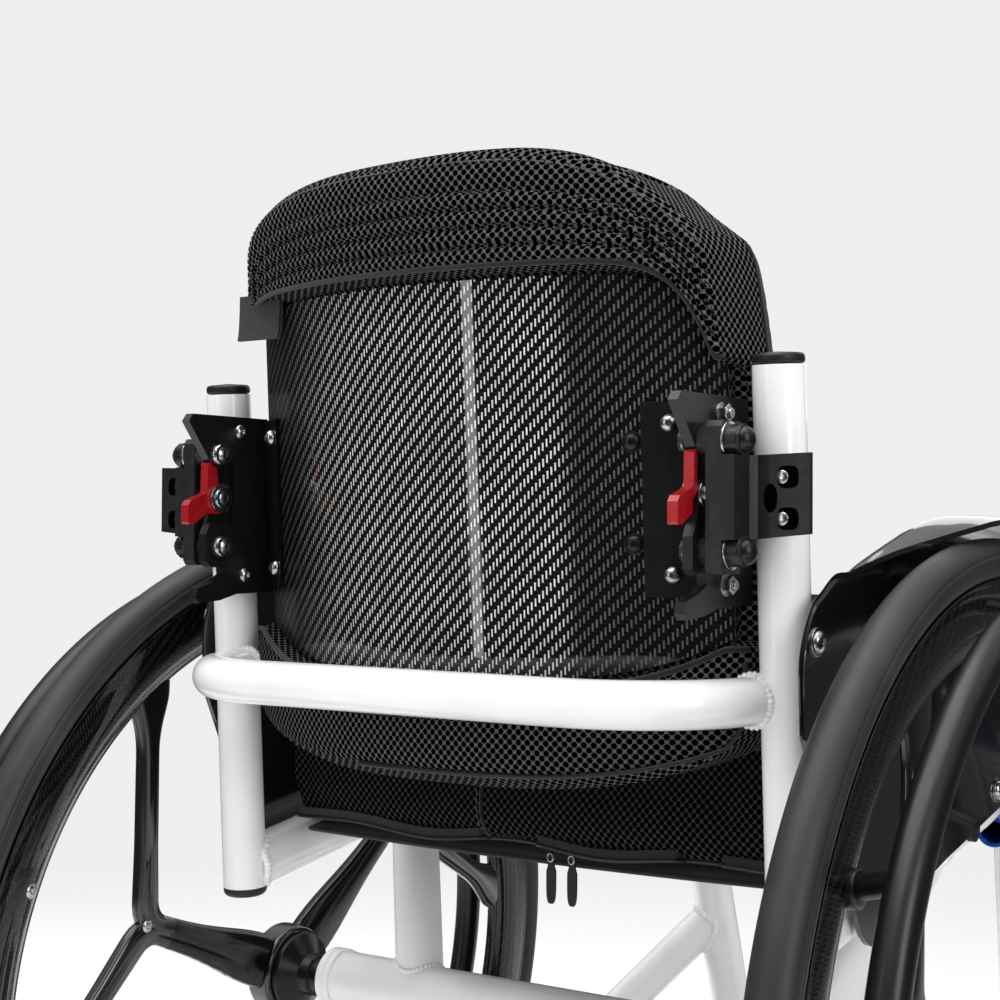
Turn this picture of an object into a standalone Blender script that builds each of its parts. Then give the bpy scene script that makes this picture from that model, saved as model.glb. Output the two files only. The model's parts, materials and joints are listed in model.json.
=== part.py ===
"""Ultralight wheelchair with a rigid white frame, carbon wheels and a padded carbon back.

The chair stands on the floor at Z = 0 and faces -Y, so the user's left is at +X.
Places are worked out as (out, fwd, up): out from the middle plane, fwd ahead of the foot
of the back canes, and up from the floor.  Every size is in metres or degrees.
"""
import math

import bmesh
import bpy
from mathutils import Matrix, Vector

LEFT = 1
RIGHT = -1
SIDES = (("left", LEFT), ("right", RIGHT))
GAP = 0.0003
RUNNING_GAP = 0.00009
MERGE_DISTANCE = 0.00002

# Sides of round pieces
WHEEL_SIDES = 40
CASTER_SIDES = 20
TUBE_SIDES = 12
ROUND_SIDES = 16
SMALL_SIDES = 10

# Back canes
SEAT_WIDTH = 0.407
CANE_DIAMETER = 0.027
CANE_OUT = (SEAT_WIDTH - CANE_DIAMETER) / 2
CANE_WALL = 0.002
CANE_FOOT_UP = 0.388
CANE_TOP_UP = 0.6955
CANE_RAKE = 3.5
CAP_HEIGHT = 0.007
PLUG_HEIGHT = 0.005
SPIGOT_LENGTH = 0.016

# Seat rails and front down tubes
RAIL_DIAMETER = 0.0318
RAIL_REAR_UP = 0.4003
SEAT_PITCH = 10.0
TAPER_START_FWD = 0.270
SEAT_FRONT_FWD = 0.458
FRONT_OUT = CANE_OUT - 0.052
FRONT_BEND_RADIUS = 0.070
DOWN_TUBE_LOW = (CANE_OUT - 0.069, 0.543, 0.135)
DOWN_TUBE_SOCKET = 0.085

# Push bar
PUSH_BAR_DIAMETER = 0.025
PUSH_BAR_UP = 0.525
PUSH_BAR_OUT = CANE_OUT - 0.015
PUSH_BAR_BACK = 0.0870
PUSH_BAR_BEND = 0.070

# Rear wheels
WHEEL_RADIUS = 0.3045
TYRE_SECTION = 0.025
CAMBER = 2.0
HUB_FWD = 0.118
HUB_OUT = CANE_OUT + 0.070
RIM_OUTER = 0.2815
RIM_INNER = 0.2445
RIM_WIDTH = 0.0225
RIM_INNER_WIDTH = 0.007
SPOKE_JUNCTION = 0.148
SPOKE_SPLAY = 35.0
SPOKE_COUNT = 3
SPOKE_ANGLE = {LEFT: 159.0, RIGHT: 151.0}
STANDOFF_ANGLE = {LEFT: 159.0, RIGHT: 145.3}
HUB_BOSS_RADIUS = 0.031
HUB_BOSS_WIDTH = 0.020
HUB_BARREL_RADIUS = 0.018
HUB_INNER_END = -0.0385
HUB_OUTER_END = 0.0252
HANDRIM_RADIUS = 0.274
HANDRIM_TUBE = 0.0196
HANDRIM_OFFSET = 0.043
STANDOFF_COUNT = 6
STANDOFF_CIRCLE = 0.2585
STANDOFF_RADIUS = 0.007
STANDOFF_START = 0.0031

# Quick-release axles
AXLE_RADIUS = 0.00635
AXLE_INNER_END = -0.098
AXLE_HEAD_RADIUS = 0.0105
AXLE_HEAD_LENGTH = 0.0105
BUTTON_RADIUS = 0.0050
BUTTON_PROUD = 0.0048
BUTTON_TRAVEL = 0.004

# Camber tube and its posts
CAMBER_TUBE_DIAMETER = 0.038
CAMBER_TUBE_WALL = 0.0025
CAMBER_TUBE_END_OUT = CANE_OUT + 0.0165
COLLAR_LENGTH = 0.0115
COLLAR_RADIUS = 0.0205
COLLAR_SLEEVE = 0.060
POST_DIAMETER = 0.032
POST_FOOT_OUT = CANE_OUT - 0.0485
POST_HEAD_FWD = 0.172

# Casters
CASTER_OUT = CANE_OUT + 0.036
CASTER_FWD = 0.440
CASTER_RADIUS = 0.0635
CASTER_WIDTH = 0.026
CASTER_CORE_RADIUS = 0.0455
CASTER_TRAIL = 0.036
CASTER_AXLE_RADIUS = 0.004
FORK_SLOT = 0.0325
FORK_LEG = 0.005
FORK_TOP_UP = 0.1505
STEM_RADIUS = 0.0063
STEM_LENGTH = 0.050
HOUSING_RADIUS = 0.0165
HOUSING_HEIGHT = 0.062
CASTER_ARM_DIAMETER = 0.030
CASTER_ARM_ROOT_UP = 0.297

# Footrest
FOOT_TUBE_DIAMETER = 0.0254
FOOT_TUBE_LOW_UP = 0.084
FOOT_TUBE_BEND = 0.040
FOOTPLATE_WIDTH = 2 * (CANE_OUT - 0.072)
FOOTPLATE_DEPTH = 0.135
FOOTPLATE_FRONT_FWD = 0.632
FOOTPLATE_THICKNESS = 0.005
FOOTPLATE_CORNER = 0.020

# Seat sling and cushion
SLING_THICKNESS = 0.003
SLING_TOP = 0.012
SLING_REAR_FWD = 0.046
SLING_FRONT_FWD = 0.425
CUSHION_WIDTH = SEAT_WIDTH - 0.021
CUSHION_DEPTH = 0.410
CUSHION_THICKNESS = 0.078
CUSHION_CROWN = 0.012
CUSHION_REAR_FWD = 0.027
CUSHION_DRAW_IN = 0.004

# Carbon back shell
SHELL_HALF_WIDTH = CANE_OUT - 0.030
SHELL_RADIUS = 0.267
SHELL_BEHIND_CANES = 0.050
SHELL_THICKNESS = 0.0045
SHELL_BOTTOM_UP = 0.532
SHELL_TOP_UP = 0.7445
SHELL_BOTTOM_RISE = 0.024
SHELL_TOP_FALL = {LEFT: 0.016, RIGHT: 0.050}
SHELL_COLUMN_SHARES = (0.0, 0.25, 0.5, 0.6875, 0.84375, 0.9375, 1.0)
SHELL_COLUMNS = tuple(share * SHELL_HALF_WIDTH for share in SHELL_COLUMN_SHARES)

# Back pad
PAD_HALF_WIDTH = CANE_OUT - 0.0145
PAD_TAPER = 0.003
PAD_FRONT = 0.0475
PAD_SIDE_FRONT = 0.078
PAD_FRONT_CORNER = 0.024
PAD_COLUMNS = SHELL_COLUMNS + (PAD_HALF_WIDTH - 0.006,)
PAD_BOTTOM_UP = 0.4725
PAD_BOTTOM_RISE = 0.020
PAD_BOTTOM_ROUNDING = 0.0475
PAD_BOTTOM_POWERS = (2.05, 2.65)
PAD_TOP_UP = 0.8129
PAD_CORNER_UP = 0.760
PAD_TOP_ROUNDING = 0.1423
PAD_TOP_POWERS = (2.39, 3.97)
PAD_TILT = 0.030
PAD_LEAN = 0.0106
PAD_LEAN_START_UP = 0.752
PAD_LEAN_END_UP = 0.790
PAD_WRAP = 0.0115
PAD_POCKET = 0.008
PAD_HEM = 0.0018
PAD_RIDGES = 4
PAD_RIDGE_PITCH = 0.0105
PAD_RIDGE_HEIGHT = 0.0024

# Back mounting hardware, placed on the canes
HOOK_OUT = CANE_OUT - 0.0282
HOOK_THICKNESS = 0.0058
TOP_PIN = (-0.057, 0.6560)
LOW_PIN = (-0.0550, 0.6012)
LEVER_PIVOT = (-0.0550, 0.630)
PIN_RADIUS = 0.004
PIN_HEAD_RADIUS = 0.006
PIN_HEAD_LENGTH = 0.005
DISC_RADIUS = 0.0078
BAR_OUT = CANE_OUT - 0.0164
BAR_THICKNESS = 0.0088
BAR_RAISED = 0.0070
BAR_REAR_FWD = -0.0647
BAR_DEPTH = 0.020
BAR_LOW_UP = 0.5900
BAR_HIGH_UP = 0.6655
NUT_RADIUS = 0.0077
NUT_LENGTH = 0.0128
FLANGE_BACK = 0.0455
FLANGE_THICKNESS = 0.003
FLANGE_OUT_END = CANE_OUT + 0.0305
FLANGE_TILT = 0.09
FLANGE_LOW_UP = 0.6065
FLANGE_HIGH_UP = 0.6485
FLANGE_INNER_OUT = {LEFT: SHELL_HALF_WIDTH - 0.021, RIGHT: SHELL_HALF_WIDTH - 0.038}
LEVER_BLADE = 0.0029
LEVER_PIN_RADIUS = 0.003
WASHER_RADIUS = 0.0085
WASHER_THICKNESS = 0.0015
REBATE_DEPTH = 0.0032

# Side guards: (fwd, up) of the edges, and how wide the fender is along its arc
GUARD_THICKNESS = 0.003
GUARD_INNER_OUT = CANE_OUT + 0.0195
GUARD_SPACER_RADIUS = 0.007
GUARD_SPACER_FWD = (0.060, 0.200)
GUARD_PLATE_RADIUS = 0.3010
GUARD_CROWN = 0.0131
GUARD_FENDER_WIDTH = 0.0535
GUARD_REAR_SHIFT = {LEFT: 0.018, RIGHT: 0.0}
GUARD_REAR_EDGE = (
    (-0.0334, 0.5088),
    (-0.0351, 0.5400),
    (-0.0314, 0.5566),
    (-0.0225, 0.5719),
    (-0.0112, 0.5786),
    (0.0040, 0.5868),
)
GUARD_FENDER = (
    (0.0174, 0.07),
    (0.0300, 0.17),
    (0.0480, 0.34),
    (0.0630, 0.60),
    (0.0780, 0.86),
    (0.1000, 1.0),
    (0.1400, 1.0),
    (0.1800, 1.0),
    (0.2200, 1.0),
    (0.2450, 0.65),
    (0.2620, 0.22),
)
GUARD_FRONT_EDGE = ((0.2850, 0.5450), (0.3000, 0.4950))
GUARD_LOW_EDGE = (
    (0.0340, 0.4020),
    (0.0450, 0.3945),
    (0.0600, 0.3970),
    (0.1000, 0.4120),
    (0.1422, 0.4244),
    (0.1710, 0.4310),
    (0.2107, 0.4404),
    (0.3060, 0.4620),
)

# Wheel locks under the seat rails
LOCK_PIVOT_FWD = 0.430
LOCK_BAR_DIAMETER = 0.021
LOCK_BAR_LENGTH = 0.112
LOCK_BAR_WALL = 0.003
LOCK_BAR_SPLAY = 15.0
LOCK_BAR_SHOULDER = 0.004
LOCK_BAR_PLUG = 0.012
LOCK_BAR_SIDES = 16
LOCK_EYE = 0.004
LOCK_WEB_WIDTH = 0.012
LOCK_PIN_RADIUS = 0.003
LOCK_PIN_SIDES = 12
LOCK_PIN_HEAD_RADIUS = 0.0055
LOCK_PIN_HEAD_LENGTH = 0.004
LOCK_HANDLE_THICKNESS = 0.005
LOCK_KNOB_REACH = 0.052
LOCK_KNOB_DEPTH = 0.010
LOCK_HANDLE_TURN = 100.0
LOCK_DROP = 0.042
LOCK_SADDLE_WALL = 0.004
LOCK_SADDLE_LENGTH = 0.028
LOCK_SADDLE_HEIGHT = 0.038

# Zip pulls of the cushion cover
ZIP_PULL_LENGTH = 0.028
ZIP_PULL_WIDTH = 0.0065
ZIP_PULL_THICKNESS = 0.0016
ZIP_PULL_OUT = (0.0166, 0.0311)

HUB_UP = WHEEL_RADIUS * math.cos(math.radians(CAMBER))
REAR_FWD = HUB_FWD - WHEEL_RADIUS
CENTRE_FWD = (REAR_FWD + FOOTPLATE_FRONT_FWD) / 2
PITCH_SLOPE = math.tan(math.radians(SEAT_PITCH))
RAKE_SLOPE = math.tan(math.radians(CANE_RAKE))

WHITE = ("white_gloss_paint", (0.86, 0.87, 0.88), 0.22, 0.0)
BLACK_METAL = ("black_anodised", (0.022, 0.022, 0.024), 0.38, 0.75)
BLACK_PLASTIC = ("black_plastic", (0.018, 0.018, 0.020), 0.45, 0.0)
RED_METAL = ("red_anodised", (0.62, 0.015, 0.03), 0.30, 0.8)
BLUE_METAL = ("blue_anodised", (0.01, 0.09, 0.50), 0.28, 0.8)
CARBON = ("gloss_carbon", (0.02, 0.021, 0.023), 0.12, 0.0)
GUARD_BLACK = ("gloss_black", (0.012, 0.012, 0.014), 0.10, 0.0)
RUBBER = ("dark_tyre", (0.055, 0.056, 0.060), 0.62, 0.0)
STEEL = ("bright_steel", (0.62, 0.63, 0.65), 0.22, 1.0)
ALLOY = ("black_hub_alloy", (0.03, 0.03, 0.033), 0.30, 0.8)
MESH_FABRIC = ("spacer_mesh", (0.02, 0.02, 0.022), 0.85, 0.0)
SLING_FABRIC = ("seat_webbing", (0.025, 0.025, 0.028), 0.9, 0.0)


def clear_scene():
    """Remove whatever the file opened with."""
    for item in list(bpy.data.objects):
        bpy.data.objects.remove(item, do_unlink=True)


def material(recipe):
    """A Principled material from (name, colour, roughness, metallic)."""
    name, colour, roughness, metallic = recipe
    if name in bpy.data.materials:
        return bpy.data.materials[name]
    made = bpy.data.materials.new(name)
    made.use_nodes = True
    shader = made.node_tree.nodes["Principled BSDF"]
    shader.inputs["Base Color"].default_value = (*colour, 1.0)
    shader.inputs["Roughness"].default_value = roughness
    shader.inputs["Metallic"].default_value = metallic
    made.diffuse_color = (*colour, 1.0)
    return made


def at(side, out, fwd, up):
    """World point from a distance out, ahead of the cane foot and above the floor."""
    return Vector((side * out, CENTRE_FWD - fwd, up))


def cane_fwd(up):
    """How far ahead of the cane foot the raked cane line is at a height."""
    return -(up - CANE_FOOT_UP) * RAKE_SLOPE


def rail_up(fwd):
    """Height of the seat rail's centre line."""
    return RAIL_REAR_UP + fwd * PITCH_SLOPE


def rail_out(fwd):
    """Distance of the seat rail's centre line from the middle plane."""
    share = (fwd - TAPER_START_FWD) / (SEAT_FRONT_FWD - TAPER_START_FWD)
    share = min(max(share, 0.0), 1.0)
    return CANE_OUT + (FRONT_OUT - CANE_OUT) * share


def shell_curve(out):
    """How far the back shell sweeps forward at a distance from its middle."""
    return SHELL_RADIUS - math.sqrt(SHELL_RADIUS ** 2 - out ** 2)


def arc_rise(out, offset):
    """Forward sweep, at a distance out, of the shell's arc moved back by an offset."""
    radius = SHELL_RADIUS + offset
    return radius - math.sqrt(radius ** 2 - out ** 2) - offset


def shell_low(out):
    """Height of the shell's lower edge."""
    share = min(abs(out) / SHELL_HALF_WIDTH, 1.0)
    return SHELL_BOTTOM_UP + SHELL_BOTTOM_RISE * share ** 4


def shell_high(out):
    """Height of the shell's upper edge, which falls away in a wide corner."""
    share = min(abs(out) / SHELL_HALF_WIDTH, 1.0)
    return SHELL_TOP_UP - SHELL_TOP_FALL[LEFT if out > 0 else RIGHT] * share ** 12


def follow(points, place):
    """Value of a polyline of (place, value) points at a place along it."""
    for (low, before), (high, after) in zip(points, points[1:]):
        if place <= high:
            return before + (after - before) * (place - low) / (high - low)
    return points[-1][1]


def smooth_step(value, low, high):
    """0 below low, 1 above high and an even ease between."""
    share = min(max((value - low) / (high - low), 0.0), 1.0)
    return share * share * (3 - 2 * share)


def finish(name, bm, recipe, frame=None, sharp=35.0):
    """Turn a closed bmesh into a named, shaded object with its material."""
    bmesh.ops.recalc_face_normals(bm, faces=bm.faces)
    mesh = bpy.data.meshes.new(name)
    bm.to_mesh(mesh)
    bm.free()
    made = bpy.data.objects.new(name, mesh)
    bpy.context.scene.collection.objects.link(made)
    dress(made, recipe, sharp)
    if frame is not None:
        made.matrix_world = frame
    return made


def dress(made, recipe, sharp=35.0):
    """Give an object its one material and smooth shading with sharp edges."""
    made.data.materials.clear()
    made.data.materials.append(material(recipe))
    made.data.shade_smooth()
    made.data.set_sharp_from_angle(angle=math.radians(sharp))


def merge_close(mesh):
    """Merge the doubled points that a cut leaves where two faces meet."""
    bm = bmesh.new()
    bm.from_mesh(mesh)
    bmesh.ops.remove_doubles(bm, verts=bm.verts, dist=MERGE_DISTANCE)
    bmesh.ops.dissolve_degenerate(bm, edges=bm.edges, dist=MERGE_DISTANCE)
    bm.to_mesh(mesh)
    bm.free()


def combine(target, tool, operation):
    """Join or cut the target with a tool, and remove the tool."""
    modifier = target.modifiers.new("shape", "BOOLEAN")
    modifier.operation = operation
    modifier.solver = "EXACT"
    modifier.object = tool
    bpy.context.view_layer.update()
    graph = bpy.context.evaluated_depsgraph_get()
    mesh = bpy.data.meshes.new_from_object(target.evaluated_get(graph))
    merge_close(mesh)
    target.modifiers.clear()
    target.data = mesh
    bpy.data.objects.remove(tool, do_unlink=True)
    return target


def join_all(target, tools, recipe, sharp=35.0):
    """Union a list of tools into the target one by one."""
    for tool in tools:
        combine(target, tool, "UNION")
    dress(target, recipe, sharp)
    return target


def cut_all(target, tools, recipe, sharp=35.0):
    """Cut a list of tools out of the target one by one."""
    for tool in tools:
        combine(target, tool, "DIFFERENCE")
    dress(target, recipe, sharp)
    return target


def with_origin(made, point):
    """Move an object's origin to a world point and keep its shape in place."""
    shift = made.matrix_world.inverted() @ point
    made.data.transform(Matrix.Translation(-shift))
    made.matrix_world = made.matrix_world @ Matrix.Translation(shift)
    return made


def empty(name, frame):
    """An empty that marks a joint's axis and carries what turns on it."""
    made = bpy.data.objects.new(name, None)
    made.empty_display_size = 0.05
    bpy.context.scene.collection.objects.link(made)
    made.matrix_world = frame
    return made


def carry(parent, child):
    """Parent a child and keep its place in the world."""
    bpy.context.view_layer.update()
    place = child.matrix_world.copy()
    child.parent = parent
    child.matrix_parent_inverse = parent.matrix_world.inverted()
    child.matrix_world = place
    return child


def turned(profile, sides, ring=False, start=0.0):
    """Turn (radius, along) points about the local X axis; a ring's profile is closed."""
    bm = bmesh.new()
    loops = []
    for radius, along in profile:
        loop = []
        for step in range(sides):
            angle = start + 2 * math.pi * step / sides
            loop.append(bm.verts.new((along, radius * math.cos(angle), radius * math.sin(angle))))
        loops.append(loop)
    pairs = list(zip(loops, loops[1:]))
    if ring:
        pairs.append((loops[-1], loops[0]))
    for low, high in pairs:
        for step in range(sides):
            after = (step + 1) % sides
            bm.faces.new((low[step], low[after], high[after], high[step]))
    if not ring:
        bm.faces.new(loops[0])
        bm.faces.new(list(reversed(loops[-1])))
    return bm


def prism(outline, low, high):
    """Extrude an outline of (point) functions: each entry gives its low and high point."""
    bm = bmesh.new()
    bottom = [bm.verts.new(low(*place)) for place in outline]
    top = [bm.verts.new(high(*place)) for place in outline]
    bm.faces.new(bottom)
    bm.faces.new(list(reversed(top)))
    count = len(outline)
    for step in range(count):
        after = (step + 1) % count
        bm.faces.new((bottom[step], top[step], top[after], bottom[after]))
    return bm


def upright_plate(side, outline, out_low, out_high):
    """A plate in the fore-and-aft plane from its (fwd, up) outline."""
    return prism(
        outline,
        lambda fwd, up: at(side, out_low, fwd, up),
        lambda fwd, up: at(side, out_high, fwd, up),
    )


def box(low, high):
    """An axis-parallel box between two corners."""
    outline = [(low.x, low.y), (high.x, low.y), (high.x, high.y), (low.x, high.y)]
    return prism(
        outline,
        lambda x, y: Vector((x, y, low.z)),
        lambda x, y: Vector((x, y, high.z)),
    )


def pointing(start, end):
    """A frame at start whose local X axis points to end."""
    along = (end - start).normalized()
    turn = Vector((1, 0, 0)).rotation_difference(along).to_matrix().to_4x4()
    return Matrix.Translation(start) @ turn


def rod(start, end, radius, sides=12):
    """A round bar between two world points, as a bmesh in world space."""
    length = (end - start).length
    bm = turned([(radius, 0.0), (radius, length)], sides)
    bm.transform(pointing(start, end))
    return bm


def bent_path(points, radii, steps=5):
    """Straight runs between points, with each inner corner rounded to its radius."""
    path = [points[0].copy()]
    for before, corner, after, radius in zip(points, points[1:-1], points[2:], radii):
        arrive = (corner - before).normalized()
        leave = (after - corner).normalized()
        turn = arrive.angle(leave)
        cut = radius * math.tan(turn / 2)
        normal = (leave - arrive * arrive.dot(leave)).normalized()
        centre = corner - arrive * cut + normal * radius
        for step in range(steps + 1):
            angle = turn * step / steps
            path.append(centre - normal * radius * math.cos(angle) + arrive * radius * math.sin(angle))
    path.append(points[-1].copy())
    return path


def tube_along(path, radius, sides=12, side_hint=Vector((1, 0, 0))):
    """Sweep a round section along a path of world points and cap both ends."""
    bm = bmesh.new()
    loops = []
    across = None
    for index, point in enumerate(path):
        ahead = path[min(index + 1, len(path) - 1)]
        behind = path[max(index - 1, 0)]
        tangent = (ahead - behind).normalized()
        seed = side_hint if across is None else across
        across = (seed - tangent * seed.dot(tangent)).normalized()
        third = tangent.cross(across)
        loop = []
        for step in range(sides):
            angle = 2 * math.pi * (step + 0.5) / sides
            offset = across * math.cos(angle) + third * math.sin(angle)
            loop.append(bm.verts.new(point + offset * radius))
        loops.append(loop)
    for low, high in zip(loops, loops[1:]):
        for step in range(sides):
            after = (step + 1) % sides
            bm.faces.new((low[step], low[after], high[after], high[step]))
    bm.faces.new(loops[0])
    bm.faces.new(list(reversed(loops[-1])))
    return bm


def tool_from(bm):
    """A helper object from a bmesh, for joining or cutting."""
    bmesh.ops.recalc_face_normals(bm, faces=bm.faces)
    mesh = bpy.data.meshes.new("tool")
    bm.to_mesh(mesh)
    bm.free()
    made = bpy.data.objects.new("tool", mesh)
    bpy.context.scene.collection.objects.link(made)
    return made


def wheel_frame(side):
    """Frame of a rear wheel: X along its axle to the outside, tilted by the camber."""
    place = at(side, HUB_OUT, HUB_FWD, HUB_UP)
    lean = math.radians(CAMBER) * side
    tilt = Matrix.Rotation(-lean, 4, "Y")
    if side == LEFT:
        return Matrix.Translation(place) @ tilt
    return Matrix.Translation(place) @ tilt @ Matrix.Rotation(math.pi, 4, "Z")


def rail_path(side):
    """Centre line of one seat rail and its front down tube."""
    start = at(side, CANE_OUT, 0.003, rail_up(0.003))
    taper = at(side, CANE_OUT, TAPER_START_FWD, rail_up(TAPER_START_FWD))
    front = at(side, FRONT_OUT, SEAT_FRONT_FWD, rail_up(SEAT_FRONT_FWD))
    low = at(side, *DOWN_TUBE_LOW)
    return bent_path([start, taper, front, low], [0.25, FRONT_BEND_RADIUS], 5)


def down_tube_point(side, up):
    """Point on the straight part of the down tube at a height."""
    front = at(side, FRONT_OUT, SEAT_FRONT_FWD, rail_up(SEAT_FRONT_FWD))
    low = at(side, *DOWN_TUBE_LOW)
    share = (up - low.z) / (front.z - low.z)
    return low.lerp(front, share)


def make_canes():
    """Two raked back canes with their top caps and bottom plugs."""
    radius = CANE_DIAMETER / 2
    bore = radius - CANE_WALL
    for label, side in SIDES:
        foot = at(side, CANE_OUT, cane_fwd(CANE_FOOT_UP), CANE_FOOT_UP)
        head = at(side, CANE_OUT, cane_fwd(CANE_TOP_UP), CANE_TOP_UP)
        frame = pointing(foot, head)
        length = (head - foot).length
        tube = turned([(radius, 0), (radius, length), (bore, length), (bore, 0)], ROUND_SIDES, ring=True)
        finish(f"back_cane_{label}", tube, WHITE, frame)
        spigot = bore - GAP
        cap = [
            (spigot, length - SPIGOT_LENGTH),
            (spigot, length + GAP),
            (radius, length + GAP),
            (radius, length + CAP_HEIGHT * 0.7),
            (radius * 0.82, length + CAP_HEIGHT),
        ]
        finish(f"cane_cap_{label}", turned(cap, ROUND_SIDES), BLACK_PLASTIC, frame)
        plug = [
            (radius * 0.86, -PLUG_HEIGHT),
            (radius, -PLUG_HEIGHT * 0.6),
            (radius, -GAP),
            (spigot, -GAP),
            (spigot, SPIGOT_LENGTH),
        ]
        finish(f"cane_plug_{label}", turned(plug, ROUND_SIDES), BLACK_PLASTIC, frame)


def clear_radius(radius, sides):
    """Radius of a faceted cutter whose flats all stay a gap outside a round piece."""
    return (radius + GAP) / math.cos(math.pi / sides)


def cane_cutter(side):
    """The cane's outside with a gap round it, for coping what meets the cane."""
    low = CANE_FOOT_UP - 0.05
    high = CANE_TOP_UP + 0.05
    foot = at(side, CANE_OUT, cane_fwd(low), low)
    head = at(side, CANE_OUT, cane_fwd(high), high)
    return tool_from(rod(foot, head, clear_radius(CANE_DIAMETER / 2, ROUND_SIDES), ROUND_SIDES))


def make_rails():
    """Seat rails that run forward, taper in and turn down into the down tubes."""
    for label, side in SIDES:
        path = rail_path(side)
        rail = finish(f"seat_rail_{label}", tube_along(path, RAIL_DIAMETER / 2, TUBE_SIDES), WHITE)
        low = at(side, *DOWN_TUBE_LOW)
        inward = (path[-2] - low).normalized()
        bore = clear_radius(FOOT_TUBE_DIAMETER / 2, TUBE_SIDES)
        socket = rod(low - inward * 0.01, low + inward * DOWN_TUBE_SOCKET, bore, TUBE_SIDES)
        cut_all(rail, [cane_cutter(side), tool_from(socket)], WHITE)


def make_push_bar():
    """Bent bar welded across the rear of the two canes."""
    fwd_end = cane_fwd(PUSH_BAR_UP) - CANE_DIAMETER * 0.3
    points = [
        at(LEFT, PUSH_BAR_OUT, fwd_end, PUSH_BAR_UP),
        at(LEFT, PUSH_BAR_OUT, -PUSH_BAR_BACK, PUSH_BAR_UP),
        at(RIGHT, PUSH_BAR_OUT, -PUSH_BAR_BACK, PUSH_BAR_UP),
        at(RIGHT, PUSH_BAR_OUT, fwd_end, PUSH_BAR_UP),
    ]
    path = bent_path(points, [PUSH_BAR_BEND, PUSH_BAR_BEND], 5)
    bar = finish("push_bar", tube_along(path, PUSH_BAR_DIAMETER / 2, TUBE_SIDES), WHITE)
    cut_all(bar, [cane_cutter(LEFT), cane_cutter(RIGHT)], WHITE)


def make_camber_tube():
    """Hollow cross tube between the wheels, with a bored plug in each end."""
    radius = CAMBER_TUBE_DIAMETER / 2
    bore = radius - CAMBER_TUBE_WALL
    length = 2 * CAMBER_TUBE_END_OUT
    right_end = at(RIGHT, CAMBER_TUBE_END_OUT, HUB_FWD, HUB_UP)
    left_end = at(LEFT, CAMBER_TUBE_END_OUT, HUB_FWD, HUB_UP)
    frame = pointing(right_end, left_end)
    tube = turned([(radius, 0), (radius, length), (bore, length), (bore, 0)], ROUND_SIDES, ring=True)
    finish("camber_tube", tube, WHITE, frame)
    sleeve = bore - GAP
    for label, side in SIDES:
        place = pointing(
            at(side, CAMBER_TUBE_END_OUT, HUB_FWD, HUB_UP),
            at(side, CAMBER_TUBE_END_OUT + 1, HUB_FWD, HUB_UP),
        )
        profile = [
            (sleeve, -COLLAR_SLEEVE),
            (sleeve, GAP),
            (COLLAR_RADIUS, GAP),
            (COLLAR_RADIUS, COLLAR_LENGTH * 0.85),
            (COLLAR_RADIUS * 0.92, COLLAR_LENGTH),
        ]
        plug = finish(f"camber_plug_{label}", turned(profile, ROUND_SIDES), WHITE, place)
        wheel = wheel_frame(side)
        start = wheel @ Vector((AXLE_INNER_END - 0.05, 0, 0))
        end = wheel @ Vector((0.02, 0, 0))
        bore = rod(start, end, clear_radius(AXLE_RADIUS, ROUND_SIDES), ROUND_SIDES)
        cut_all(plug, [tool_from(bore)], WHITE)


def make_posts():
    """Leaning posts that carry the camber tube under the seat rails."""
    for label, side in SIDES:
        foot = at(side, POST_FOOT_OUT, HUB_FWD, HUB_UP)
        head = at(side, CANE_OUT, POST_HEAD_FWD, rail_up(POST_HEAD_FWD))
        post = finish(f"axle_post_{label}", rod(foot, head, POST_DIAMETER / 2, ROUND_SIDES), WHITE)
        tube = rod(
            at(LEFT, CAMBER_TUBE_END_OUT, HUB_FWD, HUB_UP),
            at(RIGHT, CAMBER_TUBE_END_OUT, HUB_FWD, HUB_UP),
            clear_radius(CAMBER_TUBE_DIAMETER / 2, ROUND_SIDES),
            ROUND_SIDES,
        )
        rail = tube_along(rail_path(side)[:7], clear_radius(RAIL_DIAMETER / 2, TUBE_SIDES), TUBE_SIDES)
        cut_all(post, [tool_from(tube), tool_from(rail)], WHITE)
        keep_largest(post)


def keep_largest(made):
    """Drop the slivers that coping leaves beyond the tubes a piece is fitted between."""
    bm = bmesh.new()
    bm.from_mesh(made.data)
    groups = []
    waiting = set(bm.verts)
    while waiting:
        group = {waiting.pop()}
        front = list(group)
        while front:
            vert = front.pop()
            for edge in vert.link_edges:
                other = edge.other_vert(vert)
                if other in waiting:
                    waiting.remove(other)
                    group.add(other)
                    front.append(other)
        groups.append(group)
    groups.sort(key=spread, reverse=True)
    for group in groups[1:]:
        bmesh.ops.delete(bm, geom=list(group), context="VERTS")
    bm.to_mesh(made.data)
    bm.free()


def spread(group):
    """Size of a group of vertices, to tell a body from a sliver."""
    places = [vert.co for vert in group]
    return sum(max(p[axis] for p in places) - min(p[axis] for p in places) for axis in range(3))


def blade(start, end, widths, depths):
    """A spoke arm: a flat six-sided section that narrows from start to end in the wheel plane."""
    along = (end - start).normalized()
    across = Vector((1, 0, 0)).cross(along)
    bm = bmesh.new()
    loops = []
    for share, width, depth in zip((0.0, 0.5, 1.0), widths, depths):
        centre = start.lerp(end, share)
        loop = []
        for wide, deep in ((1, 0), (0.45, 1), (-0.45, 1), (-1, 0), (-0.45, -1), (0.45, -1)):
            point = centre + across * (wide * width) + Vector((deep * depth, 0, 0))
            loop.append(bm.verts.new(point))
        loops.append(loop)
    for low, high in zip(loops, loops[1:]):
        for step in range(6):
            after = (step + 1) % 6
            bm.faces.new((low[step], low[after], high[after], high[step]))
    bm.faces.new(loops[0])
    bm.faces.new(list(reversed(loops[-1])))
    return tool_from(bm)


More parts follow.
